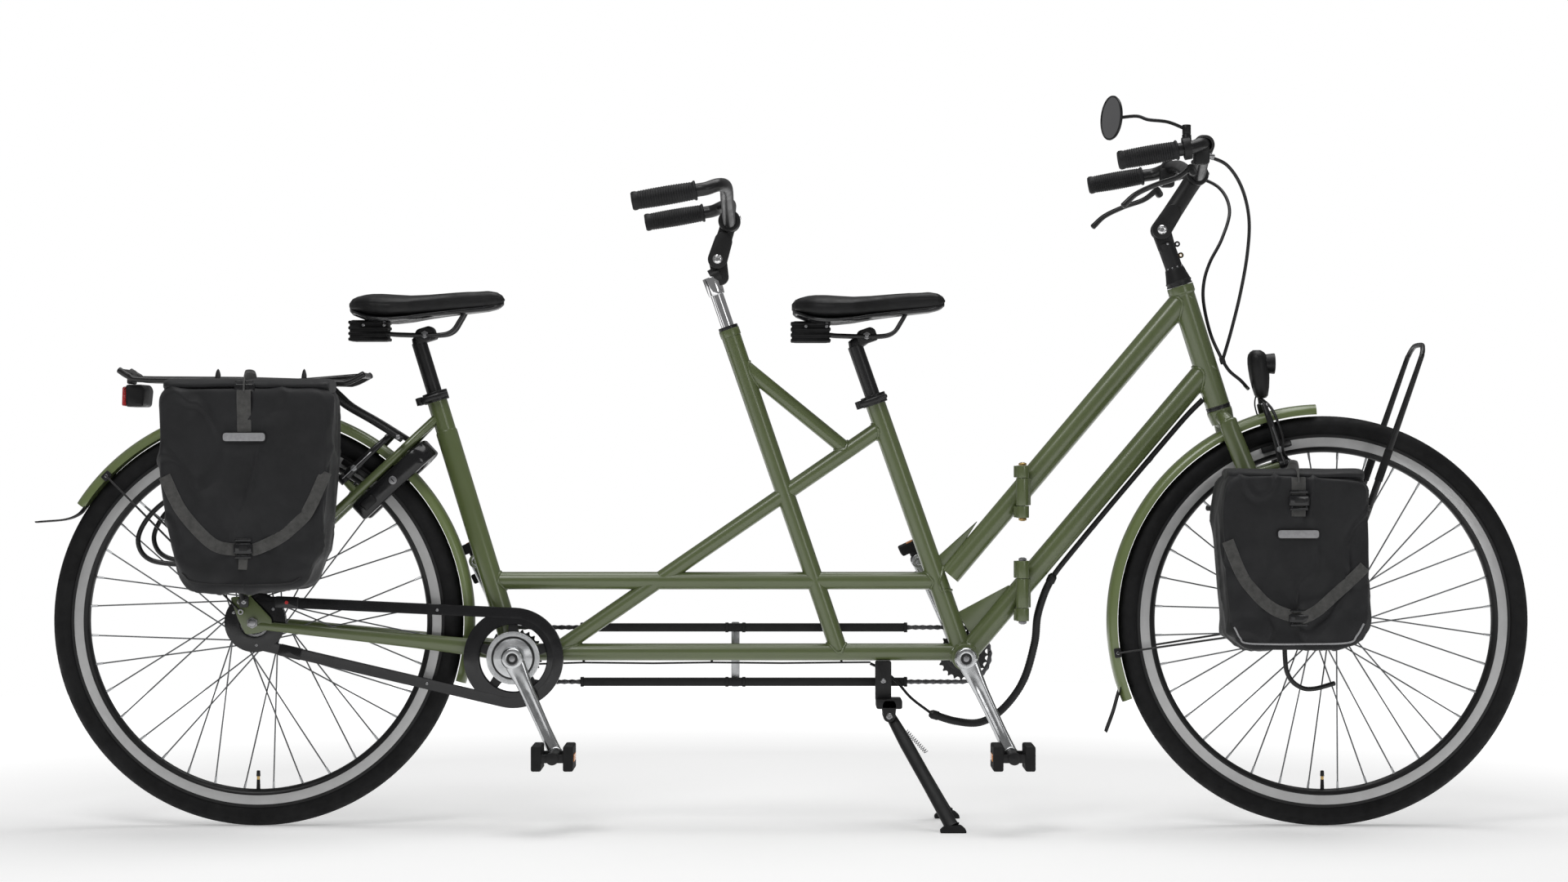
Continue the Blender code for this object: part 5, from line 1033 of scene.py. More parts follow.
def crank_arm(build, crank, side):
    """Forged arm: rounded taper with a fluted outer face, hub boss, dust cap and pedal eye."""
    eye = crank_point(crank, side)
    reach = (eye - crank).normalized()
    square = Y_AXIS.cross(reach)
    rings = []
    stations = ((0.0, 0.067, 0.0172, 0.0085), (0.018, 0.0672, 0.0165, 0.0082),
        (0.038, 0.069, 0.0138, 0.0074), (0.06, 0.0712, 0.0122, 0.0068), (0.095, 0.0755, 0.0112, 0.0063),
        (0.13, 0.0803, 0.0106, 0.0061), (0.155, 0.0835, 0.0112, 0.0063), (0.17, 0.0848, 0.0118, 0.0065),
        (0.178, 0.085, 0.0106, 0.0064))
    groove = ((0.0, 0.0), (0.018, 0.0), (0.038, 0.001), (0.06, 0.0022), (0.095, 0.0022), (0.13, 0.002),
        (0.155, 0.0008), (0.17, 0.0), (0.178, 0.0))
    for t in np.linspace(0, 0.178, 46):
        y = np.interp(t, [s[0] for s in stations], [s[1] for s in stations])
        wide = np.interp(t, [s[0] for s in stations], [s[2] for s in stations])
        half = np.interp(t, [s[0] for s in stations], [s[3] for s in stations])
        cut = np.interp(t, [g[0] for g in groove], [g[1] for g in groove])
        ring = []
        for c, s in circle(40):
            u = wide * power_of(c, 0.62)
            v = half * power_of(s, 0.62)
            if s > 0:
                v -= cut * exp(-(u / (wide * 0.42)) ** 4)
            ring.append(crank + reach * t + square * u + Y_AXIS * side * (y + v))
        rings.append(ring)
    build.use("alloy").rings(rings)
    outward = Y_AXIS * side
    build.lathe(mm("9,-8.5 18.2,-8.5 19.4,-4 19,5 16.5,8.8 9,9"), crank + outward * 0.067, outward, 56,
        closed=True, edge=0.001)
    build.use("black_satin").ring(crank + outward * 0.0752, outward, 0.0052, 0.0096, 0.0012)
    build.use("steel").disc(crank + outward * 0.0745, outward, 0.0056, 0.0016, 6)
    build.use("alloy").lathe(mm("5.8,-7 12.3,-7 12.6,5 11,7 5.8,7"), eye + outward * 0.085, outward, 40,
        closed=True, edge=0.0009)
    build.use("steel").tube(eye + outward * 0.079, eye + outward * 0.167, 0.0054, sides=24)
    build.lathe(mm("0,0 7.8,0 7.8,4.5 0,4.5"), eye + outward * 0.0921, outward, 6, edge=0.0004)


def cranks():
    for label, crank, with_ring in (("captain", CAPTAIN_CRANK, False), ("stoker", STOKER_CRANK, True)):
        build = Build("alloy")
        crank_arm(build, crank, -1)
        if with_ring:
            centre = crank - Y_AXIS * CHAIN_LINE
            toothed_ring(build.use("black_satin"), centre, DRIVE_TEETH, 0.06)
            for i in range(5):
                angle = 2 * pi * (i + 0.25) / 5
                out = heading_at(angle)
                build.use("black_cast").sweep([crank + out * 0.03 - Y_AXIS * 0.0505,
                    crank + out * 0.046 - Y_AXIS * 0.049, crank + out * 0.064 - Y_AXIS * 0.0475],
                    mm("10 8.5 7.5"), 16, mm("2.2 2 1.4"), power=0.6, cap=0.001)
                dome_bolt(build, crank + out * 0.0625 - Y_AXIS * 0.0488, -Y_AXIS, 0.0042, 0.0022)
            build.use("lathe_stoker").lathe(mm("36,-1.6 45,-1.2 45,1.2 36,1.2"), crank - Y_AXIS * 0.052,
                Y_AXIS, 96, closed=True, edge=0.0004)
            build.lathe(mm("9.2,-3 20,-3 33,-1.2 33,1.2 9.2,3"), crank - Y_AXIS * 0.056, Y_AXIS, 96,
                closed=True, edge=0.0006)
            build.use("black_satin").ring(crank - Y_AXIS * 0.0535, Y_AXIS, 0.02, 0.0365, 0.0018, 64)
            build.use("alloy_matt").tube(crank - Y_AXIS * 0.044, crank - Y_AXIS * 0.062, 0.0178, sides=48)
        build.finish("%s_crank_right_forged" % label, label + "_cranks", label + "_crank_right")
        build = Build("alloy")
        crank_arm(build, crank, 1)
        toothed_ring(build.use("black_satin"), crank + Y_AXIS * CHAIN_LINE, SYNC_TEETH, 0.03)
        build.use("black_satin").ring(crank + Y_AXIS * 0.047, Y_AXIS, 0.014, 0.032, 0.0016, 64)
        build.use("alloy_matt").tube(crank + Y_AXIS * 0.042, crank + Y_AXIS * 0.062, 0.0158, sides=48)
        build.use("steel").tube(crank - Y_AXIS * 0.06, crank + Y_AXIS * 0.06, 0.0083, sides=32)
        for side in (-1, 1):
            build.use("black_cast").ring(crank + Y_AXIS * side * 0.0325, Y_AXIS, 0.0085, 0.0152, 0.002)
        build.finish("%s_crank_left_forged" % label, label + "_cranks", label + "_crank_left")


def pedals():
    """Rubber block pedals on a cage of two end plates, with reflectors."""
    for label, crank in (("captain", CAPTAIN_CRANK), ("stoker", STOKER_CRANK)):
        for side, name in SIDES:
            eye = crank_point(crank, side)
            near, far = 0.0985, 0.183
            turn = Matrix.Rotation(0.0 if side < 0 else radians(65), 3, "Y")
            build = Build("plastic")
            outward = Y_AXIS * side
            build.lathe(mm("6.2,0 9.5,0 11,4 9.5,12 9.5,70 11,78 10.5,85.5 0,86.5"),
                eye + outward * (near - 0.0005), outward, 32, edge=0.0008)
            for y in (near + 0.004, far - 0.004):
                outline = rounded(mm("-29,-7 29,-7 29,7 -29,7"), 0.004)
                build.prism(outline, -0.0022, 0.0022, 0.0008, eye + outward * y, turn)
            middle = eye + outward * (near + far) / 2
            for shift in (-0.0265, 0.0265):
                build.use("rubber")
                rows = []
                half = (far - near) / 2 - 0.0006
                for y in np.linspace(-half, half, 57):
                    rib = 0.0011 if int((y + half) / 0.0045) % 2 else 0.0
                    rib += 0.0014 if abs(abs(y) - half) < 0.001 else 0.0
                    outline = rounded([(-0.0085 + rib * 0.4, -0.021 + rib),
                        (0.0085 - rib * 0.4, -0.021 + rib), (0.0085 - rib * 0.4, 0.021 - rib),
                        (-0.0085 + rib * 0.4, 0.021 - rib)], 0.0035, 3)
                    rows.append([middle + turn @ Vector((shift + x, 0, z)) + Y_AXIS * y
                        for x, z in outline])
                build.rings(rows)
                build.use("amber_lens").box(middle + turn @ Vector((shift + copysign(0.0084, shift), 0, 0)),
                    (0.0018, 0.05, 0.012), turn, 0.0006, 0.0006)
            build.finish("pedal_%s_%s_block" % (label, name), "%s_pedal_%s" % (label, name),
                "pedal_%s_%s" % (label, name), sharp=32)


def band(build, front, front_radius, rear, rear_radius, low, high, y_low, y_high, edge=0.0012):
    """Rounded band that follows a chain's run, from low to high off the pitch line."""
    def ring(offset, y):
        path = belt_path(front, front_radius + offset, rear, rear_radius + offset, 40)
        return [Vector((x, y, z)) for x, z in path]
    corners = ((high - edge, y_low), (high - edge * 0.3, y_low + edge * 0.3), (high, y_low + edge),
        (high, y_high - edge), (high - edge * 0.3, y_high - edge * 0.3), (high - edge, y_high),
        (low, y_high), (low, y_low))
    build.rings([ring(offset, y) for offset, y in corners], loop=True)


def transmission():
    front, rear, sync = (pitch_radius(n) for n in (DRIVE_TEETH, SPROCKET_TEETH, SYNC_TEETH))
    chain("drive_chain_links", "rear_half", "drive_chain", STOKER_CRANK, front, REAR_AXLE, rear,
        -CHAIN_LINE, "chain_steel")
    chain("sync_chain_links", "rear_half", "sync_chain", CAPTAIN_CRANK, sync, STOKER_CRANK, sync,
        CHAIN_LINE, "chain_steel")
    build = Build("steel")
    toothed_ring(build, REAR_AXLE - Y_AXIS * CHAIN_LINE, SPROCKET_TEETH, 0.02)
    build.use("lathe_rear").lathe(mm("5.5,-9 17.5,-9 21,-6 21.2,8 18,9 5.5,9"), REAR_AXLE - Y_AXIS * 0.042,
        Y_AXIS, 48, closed=True, edge=0.0008)
    build.finish("rear_sprocket_teeth", "sprocket", "rear_sprocket")

    outside, inside = -CHAIN_LINE - 0.0065, -CHAIN_LINE + 0.0065
    build = Build("gloss_plastic")
    band(build, STOKER_CRANK, front, REAR_AXLE, rear, 0.0048, 0.0078, outside + 0.001, inside - 0.001)
    band(build, STOKER_CRANK, front, REAR_AXLE, rear, -0.01, 0.0076, outside, outside + 0.0016, 0.0007)
    band(build, STOKER_CRANK, front, REAR_AXLE, rear, -0.01, 0.0076, inside - 0.0016, inside, 0.0007)
    for y, away in ((outside + 0.0008, -1), (inside - 0.0008, 1)):
        centre = STOKER_CRANK + Y_AXIS * y
        build.lathe([(front - 0.02, 0), (front - 0.0185, 0.0016 * away), (front - 0.0135, 0.0006 * away),
            (front + 0.006, 0.0006 * away), (front + 0.0068, 0), (front + 0.006, -0.0008 * away),
            (front - 0.019, -0.0008 * away)], centre, Y_AXIS, 96, closed=True)
        centre = REAR_AXLE + Y_AXIS * y
        build.lathe([(0.025, 0), (0.0262, 0.0014 * away), (rear + 0.011, 0.0012 * away), (rear + 0.0142, 0),
            (rear + 0.011, -0.001 * away), (0.0262, -0.001 * away)], centre, Y_AXIS, 72, closed=True)
    for i in range(3):
        angle = radians(35 + 120 * i)
        spot = REAR_AXLE + heading_at(angle) * 0.0385
        dome_bolt(build, spot + Y_AXIS * (outside - 0.0004), -Y_AXIS, 0.0028, 0.0014)
    for share, upper in ((0.88, True), (0.84, False), (0.3, True), (0.3, False)):
        tilt = 1 if upper else -1
        lean = asin((front - rear) / (STOKER_CRANK - REAR_AXLE).length)
        heading = atan2(STOKER_CRANK.z - REAR_AXLE.z, STOKER_CRANK.x - REAR_AXLE.x)
        angle = heading + tilt * (pi / 2 + lean)
        normal = heading_at(angle)
        a, b = STOKER_CRANK + normal * front, REAR_AXLE + normal * rear
        if share > 0.5:
            along = (b - a).normalized()
            middle = a.lerp(b, share) - Y_AXIS * CHAIN_LINE - normal * 0.001
            build.use("gloss_plastic").box(middle, (0.04, 0.015, 0.0195), basis(along), 0.003, 0.0015)
            if upper:
                build.use("red_mark").disc(middle - Y_AXIS * 0.0076, Y_AXIS, 0.003, 0.0004, 20, edge=0.0001)
        else:
            spot = a.lerp(b, share) - normal * 0.002
            dome_bolt(build, Vector((spot.x, outside - 0.0001, spot.z)), -Y_AXIS, 0.0026, 0.0012)
    build.finish("chain_guard_shell", "rear_half", "chain_guard")

    build = Build("plastic")
    for height in (CRANK_HEIGHT + sync, CRANK_HEIGHT - sync):
        outer = mm("-6.2,-7 6.2,-7 6.2,7 -6.2,7")
        inner = mm("-4.7,-5.3 4.7,-5.3 4.7,5.3 -4.7,5.3")
        outer, inner = rounded(outer, 0.0016, 3), rounded(inner, 0.0008, 3)
        rings = []
        for shape, x in ((outer, -0.346), (outer, 0.214), (inner, 0.214), (inner, -0.346)):
            rings.append([Vector((x, CHAIN_LINE + y, height + z)) for y, z in shape])
        build.rings(rings, loop=True)
        for x in (-0.343, 0.211, -0.095, -0.066):
            rings = []
            collar = rounded(mm("-7.4,-8.2 7.4,-8.2 7.4,8.2 -7.4,8.2"), 0.002, 3)
            for shape, dx in ((outer, -0.003), (collar, -0.0025), (collar, 0.0025), (outer, 0.003)):
                rings.append([Vector((x + dx, CHAIN_LINE + y, height + z)) for y, z in shape])
            build.rings(rings)
    build.use("alloy_matt").box((-0.0805, CHAIN_LINE + 0.0078, CRANK_HEIGHT),
        (0.014, 0.003, 2 * sync + 0.018), corner=0.003)
    build.use("steel").box((-0.0805, 0.0353, 0.2945), (0.014, 0.04, 0.005), corner=0.001)
    for height in (CRANK_HEIGHT + sync, CRANK_HEIGHT - sync, 0.2945):
        dome_bolt(build, Vector((-0.0805, CHAIN_LINE + 0.0093, height)), Y_AXIS, 0.0032, 0.0018)
    build.finish("sync_chain_ducts", "rear_half", "sync_chain_tubes")


# ---------------------------------------------------------------- lock, stands and carriers
def along_stay(distance, y=0.0, rise=0.0):
    foot = REAR_BRAKE - STAY_NORMAL * 0.033
    point = foot + STAY_DIRECTION * distance + STAY_NORMAL * rise
    return Vector((point.x, y, point.z))


def ring_lock():
    build = Build("gloss_plastic")
    outline = mm("-22,50 121,50 143,26 143,-26 121,-50 -22,-50 -22,-25.5 107,-25.5 119,-13.5 119,13.5 "
        "107,25.5 -22,25.5")
    smooth = rounded(outline, 0.012, 5)
    rings = []
    for rise, shrink in ((-0.0103, 0.004), (-0.0115, 0.0015), (-0.014, 0.0), (-0.04, 0.0),
            (-0.0422, 0.0015), (-0.0433, 0.004)):
        rings.append([along_stay(s, y, rise) for s, y in inset(smooth, shrink)])
    build.rings(rings)
    turn = basis(STAY_DIRECTION, Y_AXIS)
    build.use("black_satin").box(along_stay(0.126, 0.0, -0.0268), (0.03, 0.058, 0.029), turn, 0.006, 0.003)
    build.use("steel").disc(along_stay(0.06, -0.0502, -0.0268), Y_AXIS, 0.007, 0.0014, 28)
    build.use("black_cast").box(along_stay(0.06, -0.0518, -0.0268), (0.0016, 0.0006, 0.0075), turn, 0.0002,
        0.0002)
    build.use("plastic").box(along_stay(0.005, -0.0505, -0.0268), (0.026, 0.006, 0.016), turn, 0.004, 0.002)
    build.finish("ring_lock_case", "rear_half", "ring_lock")


def stands():
    rail_bottom = 0.2795
    build = Build("black_cast")
    build.box((0.1715, 0, (rail_bottom + 0.2125) / 2), (0.027, 0.026, rail_bottom - 0.2125), corner=0.003,
        edge=0.0015)
    build.box((0.181, 0, 0.208), (0.044, 0.069, 0.016), corner=0.004, edge=0.002)
    for side in (-1, 1):
        inner, outer = sorted((side * 0.0303, side * 0.0345))
        build.prism(link_outline((STAND_PIVOT.x, STAND_PIVOT.z), (STAND_PIVOT.x, 0.205), 0.01, 0.012),
            inner, outer, 0.0006)
        dome_bolt(build, STAND_PIVOT + Y_AXIS * side * 0.0345, Y_AXIS * side, 0.0058, 0.0032)
        build.use("black_cast")
    dome_bolt(build, at(171.5, -13, 246), -Y_AXIS, 0.0048, 0.0028)
    build.finish("kickstand_bracket_cast", "rear_half", "kickstand_bracket")

    build = Build("black_cast")
    build.lathe(mm("0,-30 10.5,-30 10.5,-27 9.5,-25.5 9.5,25.5 10.5,27 10.5,30 0,30"), STAND_PIVOT, Y_AXIS,
        40, edge=0.0006)
    for side in (-1, 1):
        hip = STAND_PIVOT + at(4, side * 19, -4)
        foot = at(283, side * 115, 10)
        leg = foot - hip
        path = curve([hip, hip + leg * 0.25, hip + leg * 0.62, foot - leg * 0.04, foot], 8)
        build.use("black_cast").sweep(path, mm("8.5 10.8 10.5 11.5 13.8"), 28, mm("7.5 7.5 7.5 7.8 8.5"),
            power=0.8)
        build.use("rubber")
        outline = mm("-22,-6.5 22,-6.5 21.5,-1 13,6.4 -12,6.4 -21.5,-1")
        build.prism(rounded(outline, 0.0025), -0.0115, 0.0115, 0.002, (0.285, side * 0.115, 0.0065))
    spring = []
    for i in range(97):
        t = i / 96
        angle = 2 * pi * 12 * t
        centre = STAND_PIVOT + Vector((0.03 + 0.034 * t, 0.0, -0.028 - 0.036 * t))
        spring.append(centre
            + Vector((0.0034 * cos(angle) * 0.7, 0.0034 * sin(angle), 0.0034 * cos(angle) * 0.7)))
    build.use("steel").sweep(spring, 0.0007, 6)
    build.finish("kickstand_legs", "stand", "kickstand")

    build = Build("black_satin")
    outer = mm("919,-69,348 929,-69,376.8 985,-69,537.8 1020,-69,638.5 1069,-69,779.4 1076.5,-64,800.5 "
        "1080,-49,811 1081.8,-29,815.8")
    other = [(x, -y, z) for x, y, z in reversed(outer)]
    path = curve(outer + other, 7)
    radii = mm("3.8 3.8 5.8 5.8 4.4 4.2 4.2 4.2")
    build.sweep(path, radii + radii[::-1], 24)
    for side in (-1, 1):
        build.use("black_cast").ring((0.919, side * 0.069, 0.348), Y_AXIS, 0.0054, 0.011, 0.0026)
        cuff = [Vector((x, side * 0.069, z)) for x, z in mm("1002,586.7 1020,638.5")]
        build.use("rubber").tube(cuff[0], cuff[1], 0.0068, sides=24, cap=0.001)
    build.finish("front_stand_hoop", "hoop", "front_stand")


def rear_rack():
    build = Build("black_satin")
    rail = mm("-1118,773 -1104,764 -1085,758 -990,756.8 -900,756 -760,752 -733,753 -706,766")
    for side in (-1, 1):
        y = side * 0.052
        outer = side * 0.0745
        leg = [(-0.985, y, 0.756), (-0.98, side * 0.064, 0.728), (-0.973, side * 0.07, 0.695),
            (-0.94, side * 0.075, 0.544), (-0.905, side * 0.08, 0.386)]
        strut = [(-0.78, y, 0.753), (-0.756, y, 0.73), (-0.735, y, 0.712), (-0.69, y, 0.686),
            (-0.642, y, 0.656)]
        hook = [(-0.944, outer, 0.56), (-1.0, outer, 0.5605), (-1.03, outer, 0.556), (-1.065, outer, 0.525),
            (-1.082, outer, 0.488), (-1.068, outer, 0.458), (-1.025, outer, 0.447),
            (-0.918, side * 0.078, 0.444)]
        build.use("black_satin").sweep(curve([(x, y, z) for x, z in rail], 6), 0.0055, 24, cap=0.003)
        build.sweep(curve(leg, 8), mm("5 5 5 5 4.4"), 24)
        build.sweep(curve(strut, 6), 0.005, 24, cap=0.002)
        build.sweep(curve(hook, 6), 0.0042, 20, cap=0.002)
        build.box((-0.9035, side * 0.0795, 0.384), (0.016, 0.004, 0.02), corner=0.005)
        dome_bolt(build, at(-903.5, side * 81.3, 383.5), Y_AXIS * side, 0.0045, 0.0026)
        dome_bolt(build, at(-648, side * 57, 660), Y_AXIS * side, 0.0045, 0.0026)
    build.use("black_satin")
    for x, z in mm("-1112,770 -1020,756.5 -930,756 -840,754.5 -709,764.5"):
        build.sweep([(x, -0.052, z), (x, 0.052, z)], 0.005, 20)
    for y in (-0.017, 0.017):
        build.sweep(curve([(-1.02, y, 0.7565), (-0.93, y, 0.756), (-0.84, y, 0.7545), (-0.709, y, 0.7645)],
            6), 0.0042, 16)
    build.box((-1.106, 0.0, 0.76), (0.008, 0.05, 0.02), corner=0.003)
    build.finish("rear_rack_tubes", "rear_half", "rear_rack")

    build = Build("plastic")
    body_outline = rounded(mm("-17,-19 14,-19 17,10 12,19 -17,19"), 0.006)
    build.prism(body_outline, -0.042, 0.042, 0.005, (-1.093, 0.0, 0.73))
    lens = rounded(mm("-4,-16 4,-17 4,17 -3,16"), 0.003)
    build.use("red_lens").prism(lens, -0.039, 0.039, 0.003, (-1.1125, 0.0, 0.729))
    build.use("plastic").box((-1.116, 0.0, 0.729), (0.0012, 0.002, 0.03), corner=0.0003, edge=0.0003)
    build.finish("tail_light_case", "rear_half", "tail_light")


def front_rack():
    y = -0.082
    build = Build("black_satin")
    build.sweep([(0.713, y, 0.541), (0.985, y, 0.541)], 0.0048, 24, cap=0.003)
    build.tube((0.809, y, 0.541), (0.809, -0.059, 0.541), 0.006, sides=24)
    build.sweep(curve([(0.93, y, 0.541), (0.9275, y, 0.5), (0.922, y, 0.4), (0.919, -0.0785, 0.3582)], 6),
        0.004, 20)
    build.ring((FRONT_AXLE.x, -0.0783, FRONT_AXLE.z), Y_AXIS, 0.0054, 0.013, 0.0019)
    hook = curve([(0.842, y, 0.541), (0.842, y, 0.4), (0.843, y, 0.294), (0.85, y, 0.258), (0.87, y, 0.24),
        (0.893, y, 0.238), (0.926, y, 0.247)], 7)
    build.sweep(hook, 0.004, 20, cap=0.002)
    dome_bolt(build, Vector((0.809, y - 0.0055, 0.541)), -Y_AXIS, 0.005, 0.0028)
    build.finish("front_rack_tubes", "steering", "front_rack")

    build = Build("plastic")
    rings = []
    profile = mm("4,-44 10,-42.8 14,-39 18,-25 20.5,-10 21.8,5 22,15 21,24 19,30 14,35 8,38")
    for half, height in profile:
        centre = Vector((0.8105 - height * 0.1, 0.0, 0.77 + height))
        rings.append([centre + Vector((half * 0.82 * c, half * s, 0)) for c, s in circle(48)])
    build.rings(rings)
    build.lathe(mm("0,0 15.2,0 17.6,20 17.6,21.8 16,21.8 15,18 0,17.8"), (0.815, 0, 0.785), X_AXIS, 56,
        edge=0.0006)
    build.use("chrome").lathe(mm("0,0 7.5,3 13.8,10.5 15,11 15,0 0,-1"), (0.8245, 0, 0.785), X_AXIS, 48)
    build.use("lamp_glass").lathe(mm("0,21.8 8,21.2 15.7,19.6 15.7,18 0,18.5"), (0.815, 0, 0.785), X_AXIS,
        48)
    build.use("plastic").tube((0.811, 0, 0.733), (0.8135, 0, 0.718), 0.0038, 0.0042, 20, cap=0.001)
    end = FRONT_BRAKE + STEER_FRONT * 0.0105
    wire = [(end.x, end.y, end.z)] + mm("844,50,638 844,48,660 830,30,705 815,8,724 813,0,724.5")
    path = curve(wire + [(x, -y, z) for x, y, z in reversed(wire[:-1])], 6)
    build.use("black_satin").sweep(path, 0.0024, 16)
    for side in (-1, 1):
        build.use("black_satin").ring((end.x, side * end.y, end.z), STEER_FRONT, 0.0025, 0.0065, 0.002, 28)
        dome_bolt(build, mirrored(end, side) + STEER_FRONT * 0.0018, STEER_FRONT, 0.0048, 0.0026, "chrome")
    build.use("cable").sweep(curve(mm("806,0,734 804,4,715 812,12,690 825,30,665"), 6), 0.0013, 8)
    build.finish("headlamp_case", "steering", "headlamp")


def brakes():
    """Linear-pull arms with springs, pads in holders and a steel disc at the cable end of each arm."""
    for label, brake, up, normal, axle in (("front", FRONT_BRAKE, STEER_UP, STEER_FRONT, FRONT_AXLE),
            ("rear", REAR_BRAKE, STAY_DIRECTION, STAY_NORMAL, REAR_AXLE)):
        for side, name in SIDES:
            boss = mirrored(brake, side)
            build = Build("black_satin")
            build.lathe(mm("0,-7.7 9,-7.7 9,7.7 0,7.7"), boss, normal, 36, edge=0.001)
            path = curve([boss, boss + up * 0.018, boss + up * 0.035,
                boss + up * 0.075 - Y_AXIS * side * 0.001, boss + up * 0.105 - Y_AXIS * side * 0.01], 7)
            build.sweep(path, mm("8 7.6 7.2 5.5 4.5"), 24, mm("6.2 6 5.8 4.8 4"), power=0.75, cap=0.003)
            dome_bolt(build, boss + normal * 0.0077, normal, 0.0055, 0.003, "chrome")
            pad_centre = boss + up * 0.026
            out = Vector((pad_centre.x - axle.x, 0, pad_centre.z - axle.z)).normalized()
            pad_at = axle + out * 0.3065 + Y_AXIS * side * 0.0178
            turn = basis(out.cross(Y_AXIS))
            build.use("rubber").box(pad_at - Y_AXIS * side * 0.0014, (0.052, 0.005, 0.0106), turn, 0.003,
                0.001)
            build.use("black_satin").box(pad_at + Y_AXIS * side * 0.0026, (0.05, 0.003, 0.01), turn, 0.003,
                0.0008)
            build.use("steel").tube(pad_at, pad_centre + Y_AXIS * side * 0.0085, 0.0032, sides=20)
            build.use("alloy_matt").lathe(mm("0,0 5.6,0 5.6,4 0,4"), pad_centre + Y_AXIS * side * 0.0062,
                Y_AXIS * side, 6, edge=0.0004)
            spring = curve([boss + Y_AXIS * side * 0.0085, boss + up * 0.03 + Y_AXIS * side * 0.0105,
                boss + up * 0.056 + Y_AXIS * side * 0.007, boss + up * 0.066 + Y_AXIS * side * 0.004], 5)
            build.use("steel").sweep(spring, 0.0009, 8)
            tip = boss + up * 0.103 - Y_AXIS * side * 0.0098
            build.use("steel").disc(tip + normal * 0.004, normal, 0.0042, 0.0016, 20)
            build.finish("%s_brake_%s_arm" % (label, name), "%s_arm_%s" % (label, name),
                "%s_brake_%s" % (label, name))


cranks()
pedals()
transmission()
ring_lock()
stands()
rear_rack()
front_rack()
brakes()


# ---------------------------------------------------------------- seats
def seat_post(label, top, crank, shift):
    up = (top - crank).normalized()
    front = Vector((up.z, 0.0, -up.x))
    build = Build("black_satin")
    post_top = top + up * 0.094
    build.tube(top - up * 0.11, post_top, 0.013, sides=48, cap=0.002)
    clamp = at(143, 0, 832) + shift
    turn = basis(front)
    build.sweep([post_top - up * 0.014, post_top + up * 0.002, clamp], mm("13 12.5 12"), 32)
    build.use("black_cast")
    ear = rounded(mm("-17,-12.5 17,-12.5 17,6 11,12.5 -11,12.5 -17,6"), 0.004)
    build.prism(ear, -0.0186, 0.0186, 0.002, clamp, turn)
    for side in (-1, 1):
        build.use("black_satin").lathe(mm("0,0 12,0 12,3 0,3"), clamp + Y_AXIS * side * 0.018,
            Y_AXIS * side, 36, edge=0.0008)
        build.use("steel").lathe(mm("0,2.8 6.6,2.8 6.6,7.5 0,7.5"), clamp + Y_AXIS * side * 0.018,
            Y_AXIS * side, 6, edge=0.0005)
        build.disc(clamp + Y_AXIS * side * 0.0262, Y_AXIS, 0.0034, 0.0012, 16)
    build.finish("seatpost_%s_tube" % label, label + "_seat", "seatpost_" + label)

    collar = Build("black_satin")
    profile = mm("17.3,-11 21.5,-11 21.5,6 13.7,6 13.7,.4 17.3,.4")
    collar.lathe(profile, top, up, 56, closed=True, edge=0.0009)
    lug = top - front * 0.0255 - up * 0.003
    for side in (-1, 1):
        collar.box(lug + Y_AXIS * side * 0.0062, (0.014, 0.0092, 0.013), turn, 0.003, 0.001)
    collar.use("steel").tube(lug - Y_AXIS * 0.0125, lug + Y_AXIS * 0.0125, 0.003, sides=16)
    collar.lathe(mm("0,0 5.2,0 5.2,3.5 0,3.5"), lug + Y_AXIS * 0.0108, Y_AXIS, 6, edge=0.0004)
    collar.finish("seat_collar_%s_clamp" % label, "rear_half", "seat_collar_" + label)

    barrel = lug + at(0, -17.5, 0) - front * 0.0015
    lever = Build("black_satin")
    lever.tube(barrel - up * 0.006, barrel + up * 0.006, 0.0062, sides=32, cap=0.0008)
    path = curve([barrel + at(0, -3, 0), barrel + front * 0.013 + at(0, -8.5, 0),
        barrel + front * 0.033 + at(0, -9.5, 0), barrel + front * 0.048 + at(0, -6, 0)], 7)
    lever.sweep(path, mm("4 4.8 5 3.5"), 20, mm("2 2.1 2 1.6"), cap=0.002)
    lever.finish("seat_qr_%s_lever" % label, label + "_qr", "seat_qr_" + label)


SADDLE = ((0.016, 0.03, 0.886, 0.87), (0.022, 0.048, 0.893, 0.864), (0.03, 0.06, 0.8965, 0.861),
    (0.043, 0.0715, 0.9, 0.856), (0.055, 0.078, 0.9012, 0.853), (0.072, 0.0822, 0.9008, 0.8512),
    (0.09, 0.083, 0.8998, 0.851), (0.12, 0.073, 0.8985, 0.854), (0.15, 0.052, 0.9, 0.859),
    (0.18, 0.035, 0.903, 0.863), (0.215, 0.026, 0.906, 0.867), (0.25, 0.0205, 0.9065, 0.871),
    (0.264, 0.0165, 0.904, 0.8745), (0.273, 0.011, 0.8985, 0.879), (0.2768, 0.005, 0.8925, 0.884))


